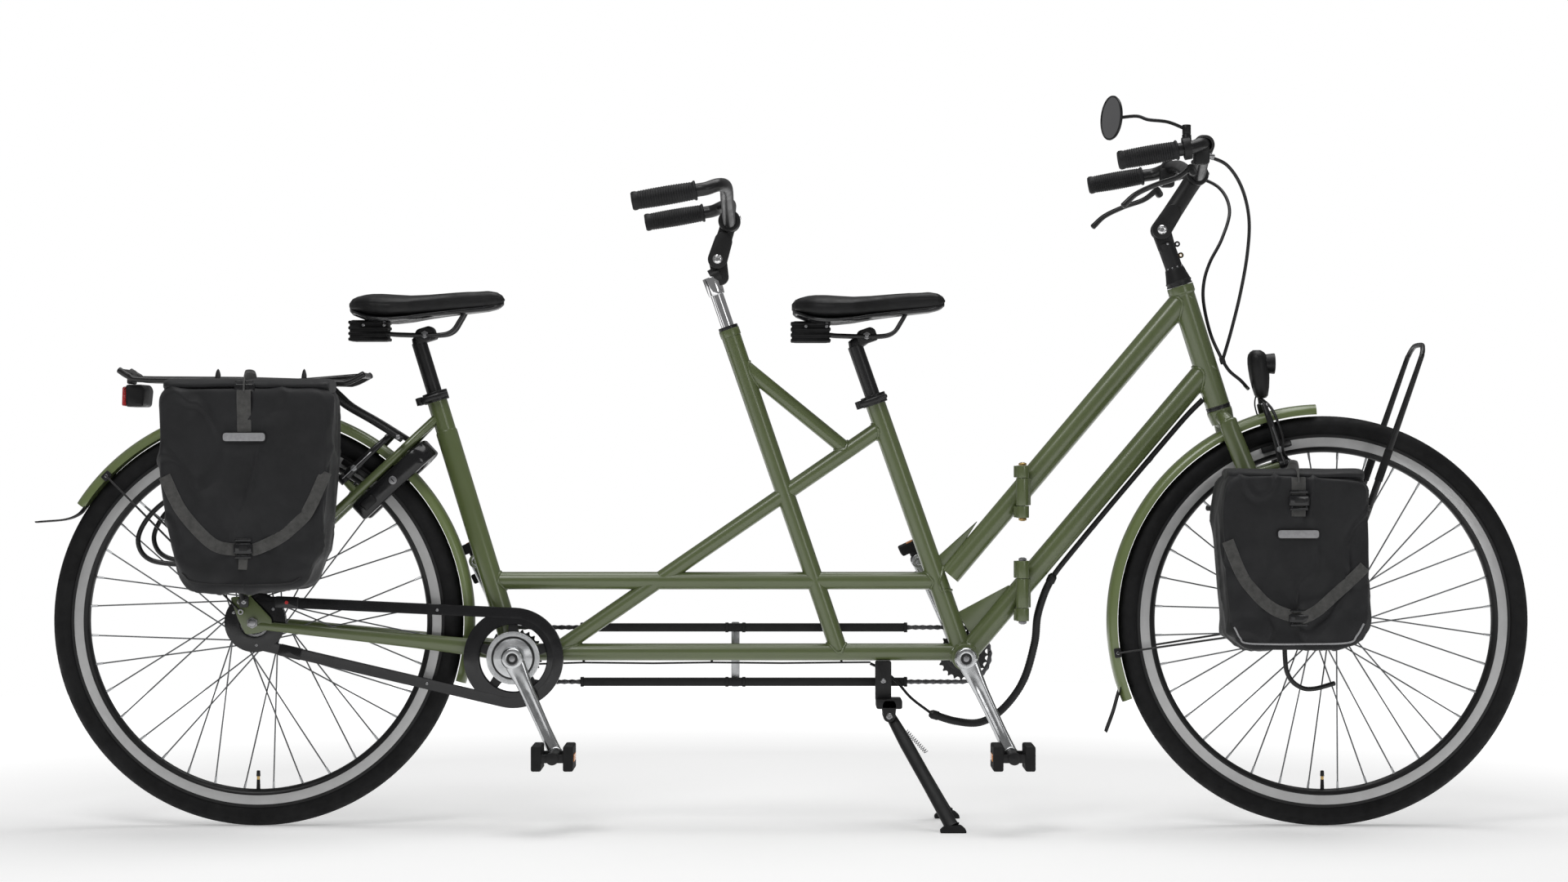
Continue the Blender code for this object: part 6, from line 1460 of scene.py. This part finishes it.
def saddle(label, shift):
    """Padded saddle: soft cover with a centre channel, seam and side panels, over a hard base."""
    columns = [[s[i] for s in SADDLE] for i in range(4)]
    stations = np.concatenate([np.linspace(0.016, 0.03, 10), np.linspace(0.0335, 0.26, 62),
        np.linspace(0.2625, 0.2768, 10)])
    rings = []
    sides = 96
    for x in stations:
        half, high, low = (np.interp(x, columns[0], columns[i]) for i in (1, 2, 3))
        low += 0.006
        ring = []
        for c, s in circle(sides):
            y = half * power_of(c, 0.72)
            z = (high + low) / 2 + (high - low) / 2 * power_of(s, (0.78 if s > 0 else 0.6))
            if s > 0:
                reach = min(1.0, max(0.0, (x - 0.035) / 0.03)) * min(1.0, max(0.0, (0.245 - x) / 0.04))
                z -= 0.0042 * reach * exp(-(y / 0.0085) ** 2)
                ridge = half * 0.58
                z -= 0.0012 * min(1.0, half / 0.05) * exp(-((abs(y) - ridge) / 0.0022) ** 2)
            wave = noise.noise(Vector((x * 26, y * 30, z * 26)))
            z += 0.0008 * wave * (1 if s > 0 else 0.4)
            crease = 0.0013 * exp(-((s - 0.1) / 0.05) ** 2)
            y -= copysign(crease + 0.0004 * noise.noise(Vector((x * 60, z * 60, 3.0))), y)
            ring.append(Vector((x, y, z)) + shift)
        rings.append(ring)
    cover = Build("saddle_cover")
    cover.rings(rings)
    piece = cover.finish("saddle_%s_cover" % label, label + "_seat", "saddle_" + label, sharp=70)

    base = Build("gloss_plastic")
    rings = []
    for x in np.linspace(0.0175, 0.2755, 50):
        half, high, low = (np.interp(x, columns[0], columns[i]) for i in (1, 2, 3))
        ring = []
        for c, s in circle(48):
            ring.append(Vector((x, (half - 0.0012) * power_of(c, 0.7),
                low + 0.0062 + 0.0062 * power_of(s, 0.8))) + shift)
        rings.append(ring)
    base.rings(rings)
    base.use("rubber").box(at(48, 0, 838.5) + shift, (0.064, 0.056, 0.036), corner=0.006, edge=0.004)
    for height in (0.824, 0.8335, 0.843, 0.8525):
        base.box(Vector((0.048, 0, height)) + shift, (0.068, 0.061, 0.0058), corner=0.0026, edge=0.0026)
    base.use("steel")
    for side in (-1, 1):
        rail = curve(mm("60,23,836 80,23,833.5 100,23,832 162,23,831 188,22.5,837 202,19,856 212,16,874",
            side), 6)
        base.use("black_satin").sweep([Vector(p) + shift for p in rail], 0.0036, 20)
        for x in (0.04, 0.075):
            dome_bolt(base, Vector((x, side * 0.0302, 0.848)) + shift, Y_AXIS * side, 0.003, 0.0015)
    base.finish("saddle_%s_base" % label, label + "_seat", "saddle_" + label)


for label, top, crank, shift in (("captain", CAPTAIN_SEAT_TOP, CAPTAIN_CRANK, Vector((0, 0, 0))),
        ("stoker", STOKER_SEAT_TOP, STOKER_CRANK, SADDLE_SHIFT)):
    seat_post(label, top, crank, shift)
    saddle(label, shift)


# ---------------------------------------------------------------- stems, bars and levers
CAPTAIN_CREST = at(697, 0, 1137)
CAPTAIN_GRIP = (at(645, 0, 1126), at(544, 0, 1108))
STOKER_CREST = at(-93, 0, 1070)
STOKER_GRIP = (at(-139, 0, 1060), at(-245, 0, 1042))
LEVER_PIVOT = at(670, 258, 1108)


def bar_path(clamp, crest, grip_start, side):
    points = [clamp, clamp + Y_AXIS * side * 0.022, clamp + Y_AXIS * side * 0.045,
        clamp * 0.45 + crest * 0.55 + Y_AXIS * side * 0.125, Vector((crest.x, side * 0.215, crest.z)),
        Vector((crest.x * 0.75 + grip_start.x * 0.25, side * 0.262, crest.z)),
        Vector((crest.x * 0.35 + grip_start.x * 0.65, side * 0.278, grip_start.z + 0.003)),
        Vector((grip_start.x, side * GRIP_Y, grip_start.z))]
    return curve(points, 8)


def stem_head(build, pivot, clamp, width):
    rise = (clamp - pivot).normalized()
    neck = pivot + rise * 0.033
    for side in (-1, 1):
        low, high = sorted((side * 0.0113, side * 0.0185))
        build.use("black_cast").prism(link_outline((pivot.x, pivot.z), (neck.x, neck.z), 0.0165, 0.015, 18),
            low, high, 0.0014)
        dome_bolt(build, pivot + Y_AXIS * side * 0.0183, Y_AXIS * side, 0.0078, 0.0034, "chrome")
    build.use("black_cast")
    path = [pivot + rise * t for t in np.linspace(0.0235, (clamp - pivot).length, 12)]
    build.sweep(path, [width, width * 0.98, width * 0.96, width], 36,
        [width * 1.1, width, width * 1.0, width * 1.15])
    build.lathe(mm("11.2,-26 18,-26 18.8,-20 18.8,20 18,26 11.2,26"), clamp, Y_AXIS, 56, closed=True,
        edge=0.0012)
    front = Vector((rise.z, 0, -rise.x))
    for y in (-0.013, 0.013):
        for turn in (0.9, -0.9):
            out = (rise * cos(turn) + front * sin(turn)) if rise.z > 0 else rise
            dome_bolt(build, clamp + Y_AXIS * y + out * 0.018, out, 0.004, 0.0026, "chrome")
    build.use("steel").tube(pivot - Y_AXIS * 0.019, pivot + Y_AXIS * 0.019, 0.0083, sides=32)


def stem_foot(build, pivot, below, tube_from, width):
    neck = pivot + below * 0.03
    build.prism(link_outline((neck.x, neck.z), (pivot.x, pivot.z), 0.014, 0.0155, 18), -0.0108, 0.0108,
        0.0012)
    build.tube(pivot + below * 0.024, tube_from, width, sides=40)


def half_bar(build, clamp, crest, grip_start, grip_end, side, metal):
    path = bar_path(clamp, crest, grip_start, side)
    end = Vector((grip_end.x, side * GRIP_Y, grip_end.z))
    build.use(metal).sweep(path + [path[-1].lerp(end, 0.5)], 0.011, 28)


def grip(build, inner, outer, side):
    """Ribbed rubber grip with a flange at its inner end and a closed outer end."""
    start, end = (Vector((p.x, side * GRIP_Y, p.z)) for p in (inner, outer))
    along = (end - start).normalized()
    length = (end - start).length
    profile = mm("11.1,0 15,.4 16.4,1.6 16.4,3.6 14.8,5.2")
    count = 21
    for i in range(count):
        s = 0.008 + (length - 0.02) * i / count
        swell = 0.0142 + 0.0009 * sin(pi * i / count)
        step = (length - 0.02) / count
        profile += [(swell, s), (swell + 0.0008, s + step * 0.2), (swell + 0.0008, s + step * 0.65),
            (swell, s + step * 0.82)]
    profile += [(0.015, length - 0.0095), (0.0156, length - 0.008), (0.0156, length - 0.0035),
        (0.0135, length - 0.0008), (0.0, length)]
    build.use("grip_rubber").lathe([(0.0, 0.0)] + profile, start, along, 48)


def cockpit():
    build = Build("black_cast")
    below = -STEER_UP
    base = HEAD_TOP + STEER_UP * 0.0045
    stem_foot(build, CAPTAIN_PIVOT, below, base + STEER_UP * 0.02, 0.0148)
    build.lathe(mm("0,0 21.5,0 21.5,4 18.5,16 16.2,27 0,27"), base, STEER_UP, 56, edge=0.0015)
    build.use("black_satin").lathe(mm("0,-4 20.6,-4 21.2,-3 21.2,.6 0,.6"), base, STEER_UP, 56)
    build.ring(base + STEER_UP * 0.003, STEER_UP, 0.02, 0.0222, 0.0016, 56)
    build.use("black_cast").tube(base + STEER_UP * 0.01, HEAD_TOP - STEER_UP * 0.1, 0.0111, sides=32)
    for i in range(10):
        out = Matrix.Rotation(2 * pi * i / 10, 3, STEER_UP) @ STEER_FRONT
        dome_bolt(build, base + STEER_UP * 0.0282 + out * 0.0146, out, 0.0016, 0.001, "steel")
    for rise, metal in ((0.045, "brass"), (0.065, "steel")):
        spot = base + STEER_UP * rise + STEER_FRONT * 0.015
        build.use("black_satin").ring(spot + STEER_FRONT * 0.0022, Y_AXIS, 0.0026, 0.005, 0.0016, 28)
        build.use(metal).ring(spot + STEER_FRONT * 0.0022, Y_AXIS, 0.0018, 0.0028, 0.0019, 20)
    dome_bolt(build, base + STEER_UP * 0.07 - Y_AXIS * 0.0145, -Y_AXIS, 0.0022, 0.0012, "steel")
    build.finish("captain_quill_cast", "steering", "captain_quill")

    build = Build("black_cast")
    stem_head(build, CAPTAIN_PIVOT, CAPTAIN_CLAMP, 0.016)
    for side in (-1, 1):
        half_bar(build, CAPTAIN_CLAMP, CAPTAIN_CREST, CAPTAIN_GRIP[0], CAPTAIN_GRIP[1], side, "black_satin")
        inner, outer = (p + Y_AXIS * side * GRIP_Y for p in CAPTAIN_GRIP)
        build.tube(inner, outer + (inner - outer) * 0.06, 0.0107, sides=28)
        pivot = mirrored(LEVER_PIVOT, side)
        build.use("black_cast").box(pivot + at(12, 0, 12), (0.026, 0.019, 0.034), corner=0.007, edge=0.003)
        build.use("black_satin").ring(pivot + at(16.5, side * 2, 27.5), at(250, side * 930, -100), 0.0112,
            0.016, 0.0062)
        dome_bolt(build, pivot + at(0, side * -9.8, 0), -Y_AXIS * side, 0.004, 0.002)
        nose = pivot + at(24, side * -6, 10)
        build.use("steel").tube(nose, nose + at(10, side * -4, 0), 0.0036, 0.0032, 20)
    clamp = at(656, -280, 1129)
    build.use("plastic").tube(clamp, clamp + at(0, 4, 21), 0.0082, 0.0075, 28, cap=0.001)
    build.ring(clamp + at(0, 0, -1), at(-980, 0, -170), 0.015, 0.0185, 0.006, 40)
    build.finish("captain_bar_tube", "captain_bars", "captain_handlebar")

    for side, name in SIDES:
        build = Build("grip_rubber")
        start = CAPTAIN_GRIP[0].lerp(CAPTAIN_GRIP[1], 0.03)
        grip(build, start, CAPTAIN_GRIP[1], side)
        build.finish("captain_grip_%s_rubber" % name, "captain_bars", "captain_grip_" + name)

        build = Build("black_satin")
        pivot = mirrored(LEVER_PIVOT, side)
        path = curve([pivot + at(-6, 0, -9), (0.642, side * 0.265, 1.082), (0.608, side * 0.274, 1.07),
            (0.574, side * GRIP_Y, 1.054), (0.553, side * 0.282, 1.035)], 8)
        build.sweep(path, mm("5.2 4.6 4.2 4.4 5.2"), 24, mm("6.2 6.6 6.8 6.8 6"), power=0.8, cap=0.003)
        low, high = sorted((side * 0.0088 + pivot.y, pivot.y - side * 0.0088))
        build.prism(link_outline((pivot.x - 0.0015, pivot.z - 0.017), (pivot.x - 0.006, pivot.z - 0.01),
            0.006, 0.006, 14), low, high, 0.001)
        build.finish("brake_lever_%s_blade" % name, "lever_" + name, "brake_lever_" + name)

    build = Build("plastic")
    centre = at(536, -270, 1178)
    facing = at(-870, -350, 50).normalized()
    foot = at(656, -275.5, 1159)
    build.tube(foot - Z_AXIS * 0.007, foot + Z_AXIS * 0.007, 0.007, sides=32, cap=0.0012)
    build.sweep(curve([foot, foot + at(-30, 0, 12), foot + at(-62, 2, 16),
        centre - facing * 0.01 + at(30, 0, 4), centre - facing * 0.004], 6), 0.0028, 20)
    build.lathe(mm("0,-10 12,-9.5 24,-6.5 35,-1 36.4,1.2 36.2,3.2 34,3.4 33,2.2 0,2.2"), centre, facing, 64)
    build.use("mirror_glass").lathe(mm("0,1.8 33.2,1.8 33.2,2.4 20,3 0,3.2"), centre, facing, 64)
    build.finish("mirror_head", "mirror_head", "mirror")

    build = Build("chrome")
    stem_up = (STEM_TUBE_TOP - STEM_TUBE_FOOT).normalized()
    below = (STEM_TUBE_TOP - STOKER_PIVOT).normalized()
    sleeve = STEM_TUBE_TOP + stem_up * 0.062
    build.tube(STEM_TUBE_TOP - stem_up * 0.11, sleeve + stem_up * 0.01, 0.011, sides=40)
    build.use("black_satin").ring(STEM_TUBE_TOP + stem_up * 0.003, stem_up, 0.0112, 0.0168, 0.0028)
    build.use("chrome").lathe(mm("0,0 13.5,0 14.2,6 15.2,32 0,32"), sleeve, stem_up, 48, edge=0.0012)
    build.use("black_cast")
    stem_foot(build, STOKER_PIVOT, below, sleeve + stem_up * 0.03, 0.0145)
    build.finish("stoker_post_tube", "stoker_stem", "stoker_post")

    build = Build("black_cast")
    stem_head(build, STOKER_PIVOT, STOKER_CLAMP, 0.014)
    for side in (-1, 1):
        half_bar(build, STOKER_CLAMP, STOKER_CREST, STOKER_GRIP[0], STOKER_GRIP[1], side, "black_satin")
        grip(build, STOKER_GRIP[0], STOKER_GRIP[1], side)
    build.finish("stoker_bar_tube", "stoker_bars", "stoker_handlebar")


cockpit()


# ---------------------------------------------------------------- cables
def cables():
    clip = at(748, -4, 790)
    left = mm("695,245,1118 728,215,1118 764,165,1095 775.7,120,1053.3 757,75,1002 733,48,960 721,34,925 "
        "720,29,888 731,20,835") + [clip]
    right = mm("695,-245,1118 730,-215,1105 760,-165,1072 779,-110,1025 783,-60,970 776,-25,905 "
        "762,-9,840") + [clip]
    tail = [clip] + mm("760,-6,772 779,-6,756 793,5,742")
    build = Build("cable")
    for route in (left, right, tail):
        build.use("cable").sweep(curve(route, 12), 0.0029, 14)
        for end, inward in ((route[0], route[1]), (route[-1], route[-2])):
            end, inward = Vector(end), Vector(inward)
            if (end - clip).length > 0.01:
                build.use("steel").tube(end, end + (inward - end).normalized() * 0.011, 0.0032, sides=18,
                    cap=0.0006)
    build.use("plastic").box(clip, (0.009, 0.009, 0.012), basis(STEER_FRONT), 0.002, 0.0015)
    piece = build.finish("brake_cables", None, "control_cables")
    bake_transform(piece)

    build = Build("cable")
    under = mm("715,0,724 690,0,699 656,0,660 560,0,546.5 482,0,452 459,0,422")
    hose = mm("459,0,422 446,0,395 434,2,355 429,6,308 410,12,244 375,16,196 337,16,174 296,12,176 "
        "256,8,188")
    tail = mm("256,8,188 220,18,215 196,20,242 170,19,264 150,16.5,274")
    build.sweep(curve(under, 10), 0.0046, 16)
    line = curve(hose, 26)
    build.sweep(line, [0.0064 + 0.0004 * (i % 2) for i in range(len(line))], 20)
    build.sweep(curve(tail, 8), 0.0024, 14)
    for end, other in ((hose[0], hose[1]), (hose[-1], hose[-2])):
        end, other = Vector(end), Vector(other)
        away = (end - other).normalized()
        build.use("plastic").lathe(mm("0,-10 7.8,-10 7.8,1 5,6 0,6"), end, away, 28, edge=0.0008)
    piece = build.finish("fold_hose", None, "fold_conduit")
    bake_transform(piece)


cables()


# ---------------------------------------------------------------- bags
def resample(outline, count):
    """Points at even steps round a closed 2D outline."""
    ring = [Vector(p) for p in outline] + [Vector(outline[0])]
    lengths = np.cumsum([0.0] + [(ring[i + 1] - ring[i]).length for i in range(len(ring) - 1)])
    stops = np.linspace(0, lengths[-1], count, endpoint=False)
    columns = (np.interp(stops, lengths, values) for values in zip(*ring))
    return list(zip(*columns))


def bag_body(name, body, node_name, outline, inner, outer, straps, seed, flat):
    """Coated-cloth bag: soft faces with sag folds, tight seams and dents under its straps."""
    ring = resample(rounded(outline, 0.03, 6), 300)
    middle = Vector((sum(x for x, z in ring) / 300, sum(z for x, z in ring) / 300))
    half = (max(z for x, z in ring) - min(z for x, z in ring)) / 2
    depth = outer - inner
    rows = []
    for f in np.linspace(0.03, 0.95, 34):
        rows.append((f, inner + depth * 0.012 * (1 - f), 0.3 * (1 - f ** 4)))
    for angle in np.linspace(0, 90, 7):
        a = radians(angle)
        rows.append((0.95 + 0.045 * sin(a), inner + depth * (0.01 + 0.075 * (1 - cos(a))), 0.3))
    for t in np.linspace(0.12, 0.86, 22):
        rows.append((0.995, inner + depth * t, 0.7))
    for angle in np.linspace(90, 0, 8):
        a = radians(angle)
        rows.append((0.925 + 0.07 * sin(a), inner + depth * (0.985 - 0.11 * (1 - cos(a))), 1.0))
    for f in np.linspace(0.9, 0.03, 36):
        rows.append((f, outer + depth * 0.01 * (1 - f ** 2) - depth * 0.012, 1.0))
    verts = []
    for f, y, soft in rows:
        ring_points = []
        for x, z in ring:
            px = middle.x + (x - middle.x) * f
            pz = middle.y + (z - middle.y) * f
            low = max(0.0, (middle.y - pz) / half)
            spot = Vector((px * 9 + seed, y * 14, pz * 5))
            fold = noise.noise(spot) * 0.0085
            ridge = 1 - abs(noise.noise(Vector((px * 13 - seed, y * 12, pz * 7)) * 1.2))
            fold += 0.0085 * (ridge ** 6 - 0.22)
            fold += 0.0016 * noise.noise(Vector((px * 42, y * 40, pz * 30 + seed)))
            fold += 0.003 * low * sin(pz * 95 + 2.2 * noise.noise(Vector((px * 16, seed, pz * 6))))
            for a, b in straps:
                line = Vector(b) - Vector(a)
                t = max(0.0, min(1.0, (Vector((px, pz)) - Vector(a)).dot(line) / line.length_squared))
                gap = (Vector((px, pz)) - (Vector(a) + line * t)).length
                fold -= 0.0042 * exp(-(gap / 0.016) ** 2) * (1 if soft > 0.9 else 0)
            near_patch = ((px - flat[0]) / 0.052) ** 4 + ((pz - flat[1]) / 0.024) ** 4
            fold *= 1 - 0.85 * exp(-near_patch) * (1 if soft > 0.9 else 0)
            side_push = 1.0 if 0.9 < f else 0.0
            away = Vector((px - middle.x, 0, pz - middle.y)).normalized()
            point = Vector((px, y, pz))
            if soft > 0.9 and f < 0.97:
                point.y += copysign(fold * soft, depth)
            else:
                point += away * (fold * 0.9 * soft * side_push - 0.0015)
            ring_points.append(point)
        verts.append(ring_points)
    build = Build("bag_cloth")
    build.rings(verts)
    tree = BVHTree.FromPolygons([Vector(v) for v in build.verts], build.faces)
    piece = build.finish(name, body, node_name, sharp=80)
    return tree


def surface(tree, x, z, offset):
    """Point just outside the bag's outer face."""
    hit = tree.ray_cast(Vector((x, -0.4, z)), Y_AXIS)[0]
    y = hit.y if hit else -0.25
    return Vector((x, y - offset, z))


def webbing(build, tree, points, width):
    """Flat woven strap that lies on the bag's outer face, with its sewn edges."""
    thick = 0.0014
    line = curve([(x, 0, z) for x, z in points], 14)
    laid = [surface(tree, p.x, p.z, 0.0006) for p in line]
    smooth = []
    for i in range(len(laid)):
        near = laid[max(0, i - 2):i + 3]
        lowest = min(p.y for p in near)
        smooth.append(Vector((laid[i].x, 0.5 * lowest + 0.5 * laid[i].y, laid[i].z)))
    rows = []
    for i, point in enumerate(smooth):
        along = (smooth[min(i + 1, len(smooth) - 1)] - smooth[max(i - 1, 0)]).normalized()
        side = along.cross(-Y_AXIS).normalized()
        ring = []
        for u, v in ((-1, 0), (-0.96, 0.7), (-0.8, 1.0), (-0.4, 0.92), (0, 0.9), (0.4, 0.92), (0.8, 1.0),
                (0.96, 0.7), (1, 0), (0.8, -0.6), (-0.8, -0.6)):
            ring.append(point + side * (u * width / 2) - Y_AXIS * (v * thick))
        rows.append(ring)
    build.use("webbing").rings(rows)


def buckle(build, place, turn, size):
    """Side-release buckle: a socket, two sprung prongs and a ladder bar."""
    wide, tall = size
    x_dir, z_dir = turn @ X_AXIS, turn @ Z_AXIS
    build.use("gloss_plastic")
    build.box(place, (wide, 0.0065, tall * 0.52), turn, 0.004, 0.002)
    build.box(place - z_dir * (tall * 0.4), (wide * 0.92, 0.005, tall * 0.16), turn, 0.003, 0.0015)
    build.box(place + z_dir * (tall * 0.42), (wide * 0.92, 0.005, tall * 0.14), turn, 0.003, 0.0015)
    for side in (-1, 1):
        build.box(place + x_dir * (side * wide * 0.47) - z_dir * (tall * 0.02),
            (wide * 0.1, 0.0058, tall * 0.42), turn, 0.0018, 0.0012)
        build.box(place + x_dir * (side * wide * 0.36) - z_dir * (tall * 0.36),
            (wide * 0.12, 0.0046, tall * 0.22), turn, 0.0018, 0.0012)
    build.use("black_cast").box(place - Y_AXIS * 0.0034, (wide * 0.46, 0.0008, tall * 0.22), turn, 0.002,
        0.0003)


def patch(build, tree, x, z, wide, tall):
    """Blank rounded reflective patch sewn on."""
    spots = [surface(tree, x + i * wide / 8, z + j * tall / 3, 0.0) for i in range(-4, 5)
        for j in (-1, 0, 1)]
    place = Vector((x, min(spot.y for spot in spots) - 0.001, z))
    outline = rounded([(-wide / 2, -tall / 2), (wide / 2, -tall / 2), (wide / 2, tall / 2),
        (-wide / 2, tall / 2)], tall * 0.44, 8)
    build.use("plastic").prism(outline, -0.0012, 0.006, 0.0006, place)
    build.use("reflective").prism(inset(outline, 0.0016), -0.0018, 0.001, 0.0004, place)


def roll_top(build, x0, x1, y0, y1, z, radius):
    """Rolled and flattened mouth of the bag, with the spiral showing at its ends."""
    middle_y = (y0 + y1) / 2
    wide = abs(y1 - y0) / 2
    rows = []
    count = 60
    for i in range(count):
        x = x0 + (x1 - x0) * i / (count - 1)
        end = min(i, count - 1 - i)
        size = 1.0 if end > 2 else (0.86, 0.96, 0.99)[end]
        ring = []
        for k in range(48):
            a = 2 * pi * k / 48
            c, s = cos(a), sin(a)
            wave = 1 + 0.05 * noise.noise(Vector((x * 22, c * 1.5, s * 1.5)))
            groove = 1 - 0.1 * exp(-((a - 0.9) / 0.1) ** 2) - 0.07 * exp(-((a - 3.6) / 0.12) ** 2)
            ring.append(Vector((x, middle_y + wide * size * wave * groove * power_of(c, 0.8),
                z + radius * size * wave * groove * copysign(abs(s) ** 0.85, s) + 0.0016
                * noise.noise(Vector((x * 9, 5.0, 1.0))))))
        rows.append(ring)
    build.use("bag_cloth").rings(rows)


def rear_bag():
    outline = mm("-1018,742 -881,744 -737,742 -738,603 -751,482.5 -774.5,414 -854,406.5 -963.5,406.5 "
        "-986.5,433 -1007,504 -1020.5,603")
    left = mm("-1006,596 -977,539 -927,486 -881,474.5")
    right = mm("-744,603 -768,548 -786,523 -819,496 -856,478 -875,474.5")
    straps = [(a, b) for line in (left, right)
        for a, b in zip(line, line[1:])] + [((-0.877, 0.75), (-0.877, 0.66))]
    tree = bag_body("rear_bag_cloth", "rear_half", "rear_pannier", outline, -0.089, -0.25, straps, 1.7,
        (-0.877, 0.66))
    build = Build("webbing")
    webbing(build, tree, left, 0.02)
    webbing(build, tree, right, 0.02)
    webbing(build, tree, mm("-877,742 -877,700 -877,665"), 0.023)
    webbing(build, tree, mm("-878,470 -877.5,456 -878,444"), 0.017)
    buckle(build, surface(tree, -0.878, 0.478, 0.004), UPRIGHT, (0.03, 0.034))
    buckle(build, at(-877, -247, 740), UPRIGHT, (0.032, 0.026))
    roll_top(build, -1.012, -0.742, -0.118, -0.242, 0.744, 0.0125)
    build.use("webbing").sweep(curve(mm("-877,-252,733 -877,-244,753 -877,-220,759 -877,-140,759 "
        "-877,-112,748"), 6), 0.001, 10, 0.0115)
    patch(build, tree, -0.877, 0.66, 0.072, 0.0165)
    build.use("black_satin").box((-0.88, -0.0866, 0.728), (0.23, 0.005, 0.018), corner=0.004, edge=0.0015)
    for x in (-0.95, -0.805):
        build.use("plastic").sweep(curve([(x, -0.086, 0.73), (x, -0.078, 0.756), (x, -0.06, 0.765),
            (x, -0.045, 0.76)], 6), 0.0022, 12, 0.01)
    piping = curve([(x, 0, z) for x, z in mm("-978,432 -956,417 -880,413 -810,415 -786,424")], 8)
    build.use("plastic").sweep([surface(tree, p.x, p.z + 0.006, 0.0002) for p in piping], 0.0015, 10,
        cap=0.001)
    build.finish("rear_bag_straps", "rear_half", "rear_pannier")


def front_bag():
    outline = mm("726.5,599 815.5,601 917.5,595 962,590 965,407.5 962,345 933,307.5 756.5,306.5 732,331.5 "
        "722.5,434.5 716.5,543")
    left = mm("728.5,490 750,438 774,405 803,379 845,363")
    right = mm("953,448 925,420 878,379 855,366 845,363")
    straps = [(a, b) for line in (left, right)
        for a, b in zip(line, line[1:])] + [((0.845, 0.6), (0.845, 0.53))]
    tree = bag_body("front_bag_cloth", "steering", "front_pannier", outline, -0.09, -0.223, straps, 6.3,
        (0.845, 0.501))
    build = Build("webbing")
    webbing(build, tree, left, 0.0195)
    webbing(build, tree, right, 0.0195)
    webbing(build, tree, mm("845,596 845,560 845,530"), 0.023)
    buckle(build, surface(tree, 0.845, 0.556, 0.004), UPRIGHT, (0.033, 0.034))
    buckle(build, surface(tree, 0.845, 0.364, 0.004), UPRIGHT, (0.032, 0.028))
    roll_top(build, 0.733, 0.956, -0.108, -0.215, 0.596, 0.012)
    build.use("webbing").sweep(curve(mm("845,-225,585 845,-219,605 845,-198,610 845,-130,610 845,-102,600"),
        6), 0.001, 10, 0.0115)
    patch(build, tree, 0.845, 0.501, 0.07, 0.016)
    build.use("black_satin").box((0.845, -0.0876, 0.56), (0.19, 0.0048, 0.018), corner=0.004, edge=0.0015)
    piping = curve([(x, 0, z) for x, z in mm("740,342 750,325 764,316 845,315 925,317 941,329 952,348")], 8)
    build.use("piping").sweep([surface(tree, p.x, p.z + 0.006, 0.0002) for p in piping], 0.0016, 10,
        cap=0.001)
    build.finish("front_bag_straps", "steering", "front_pannier")


rear_bag()
front_bag()
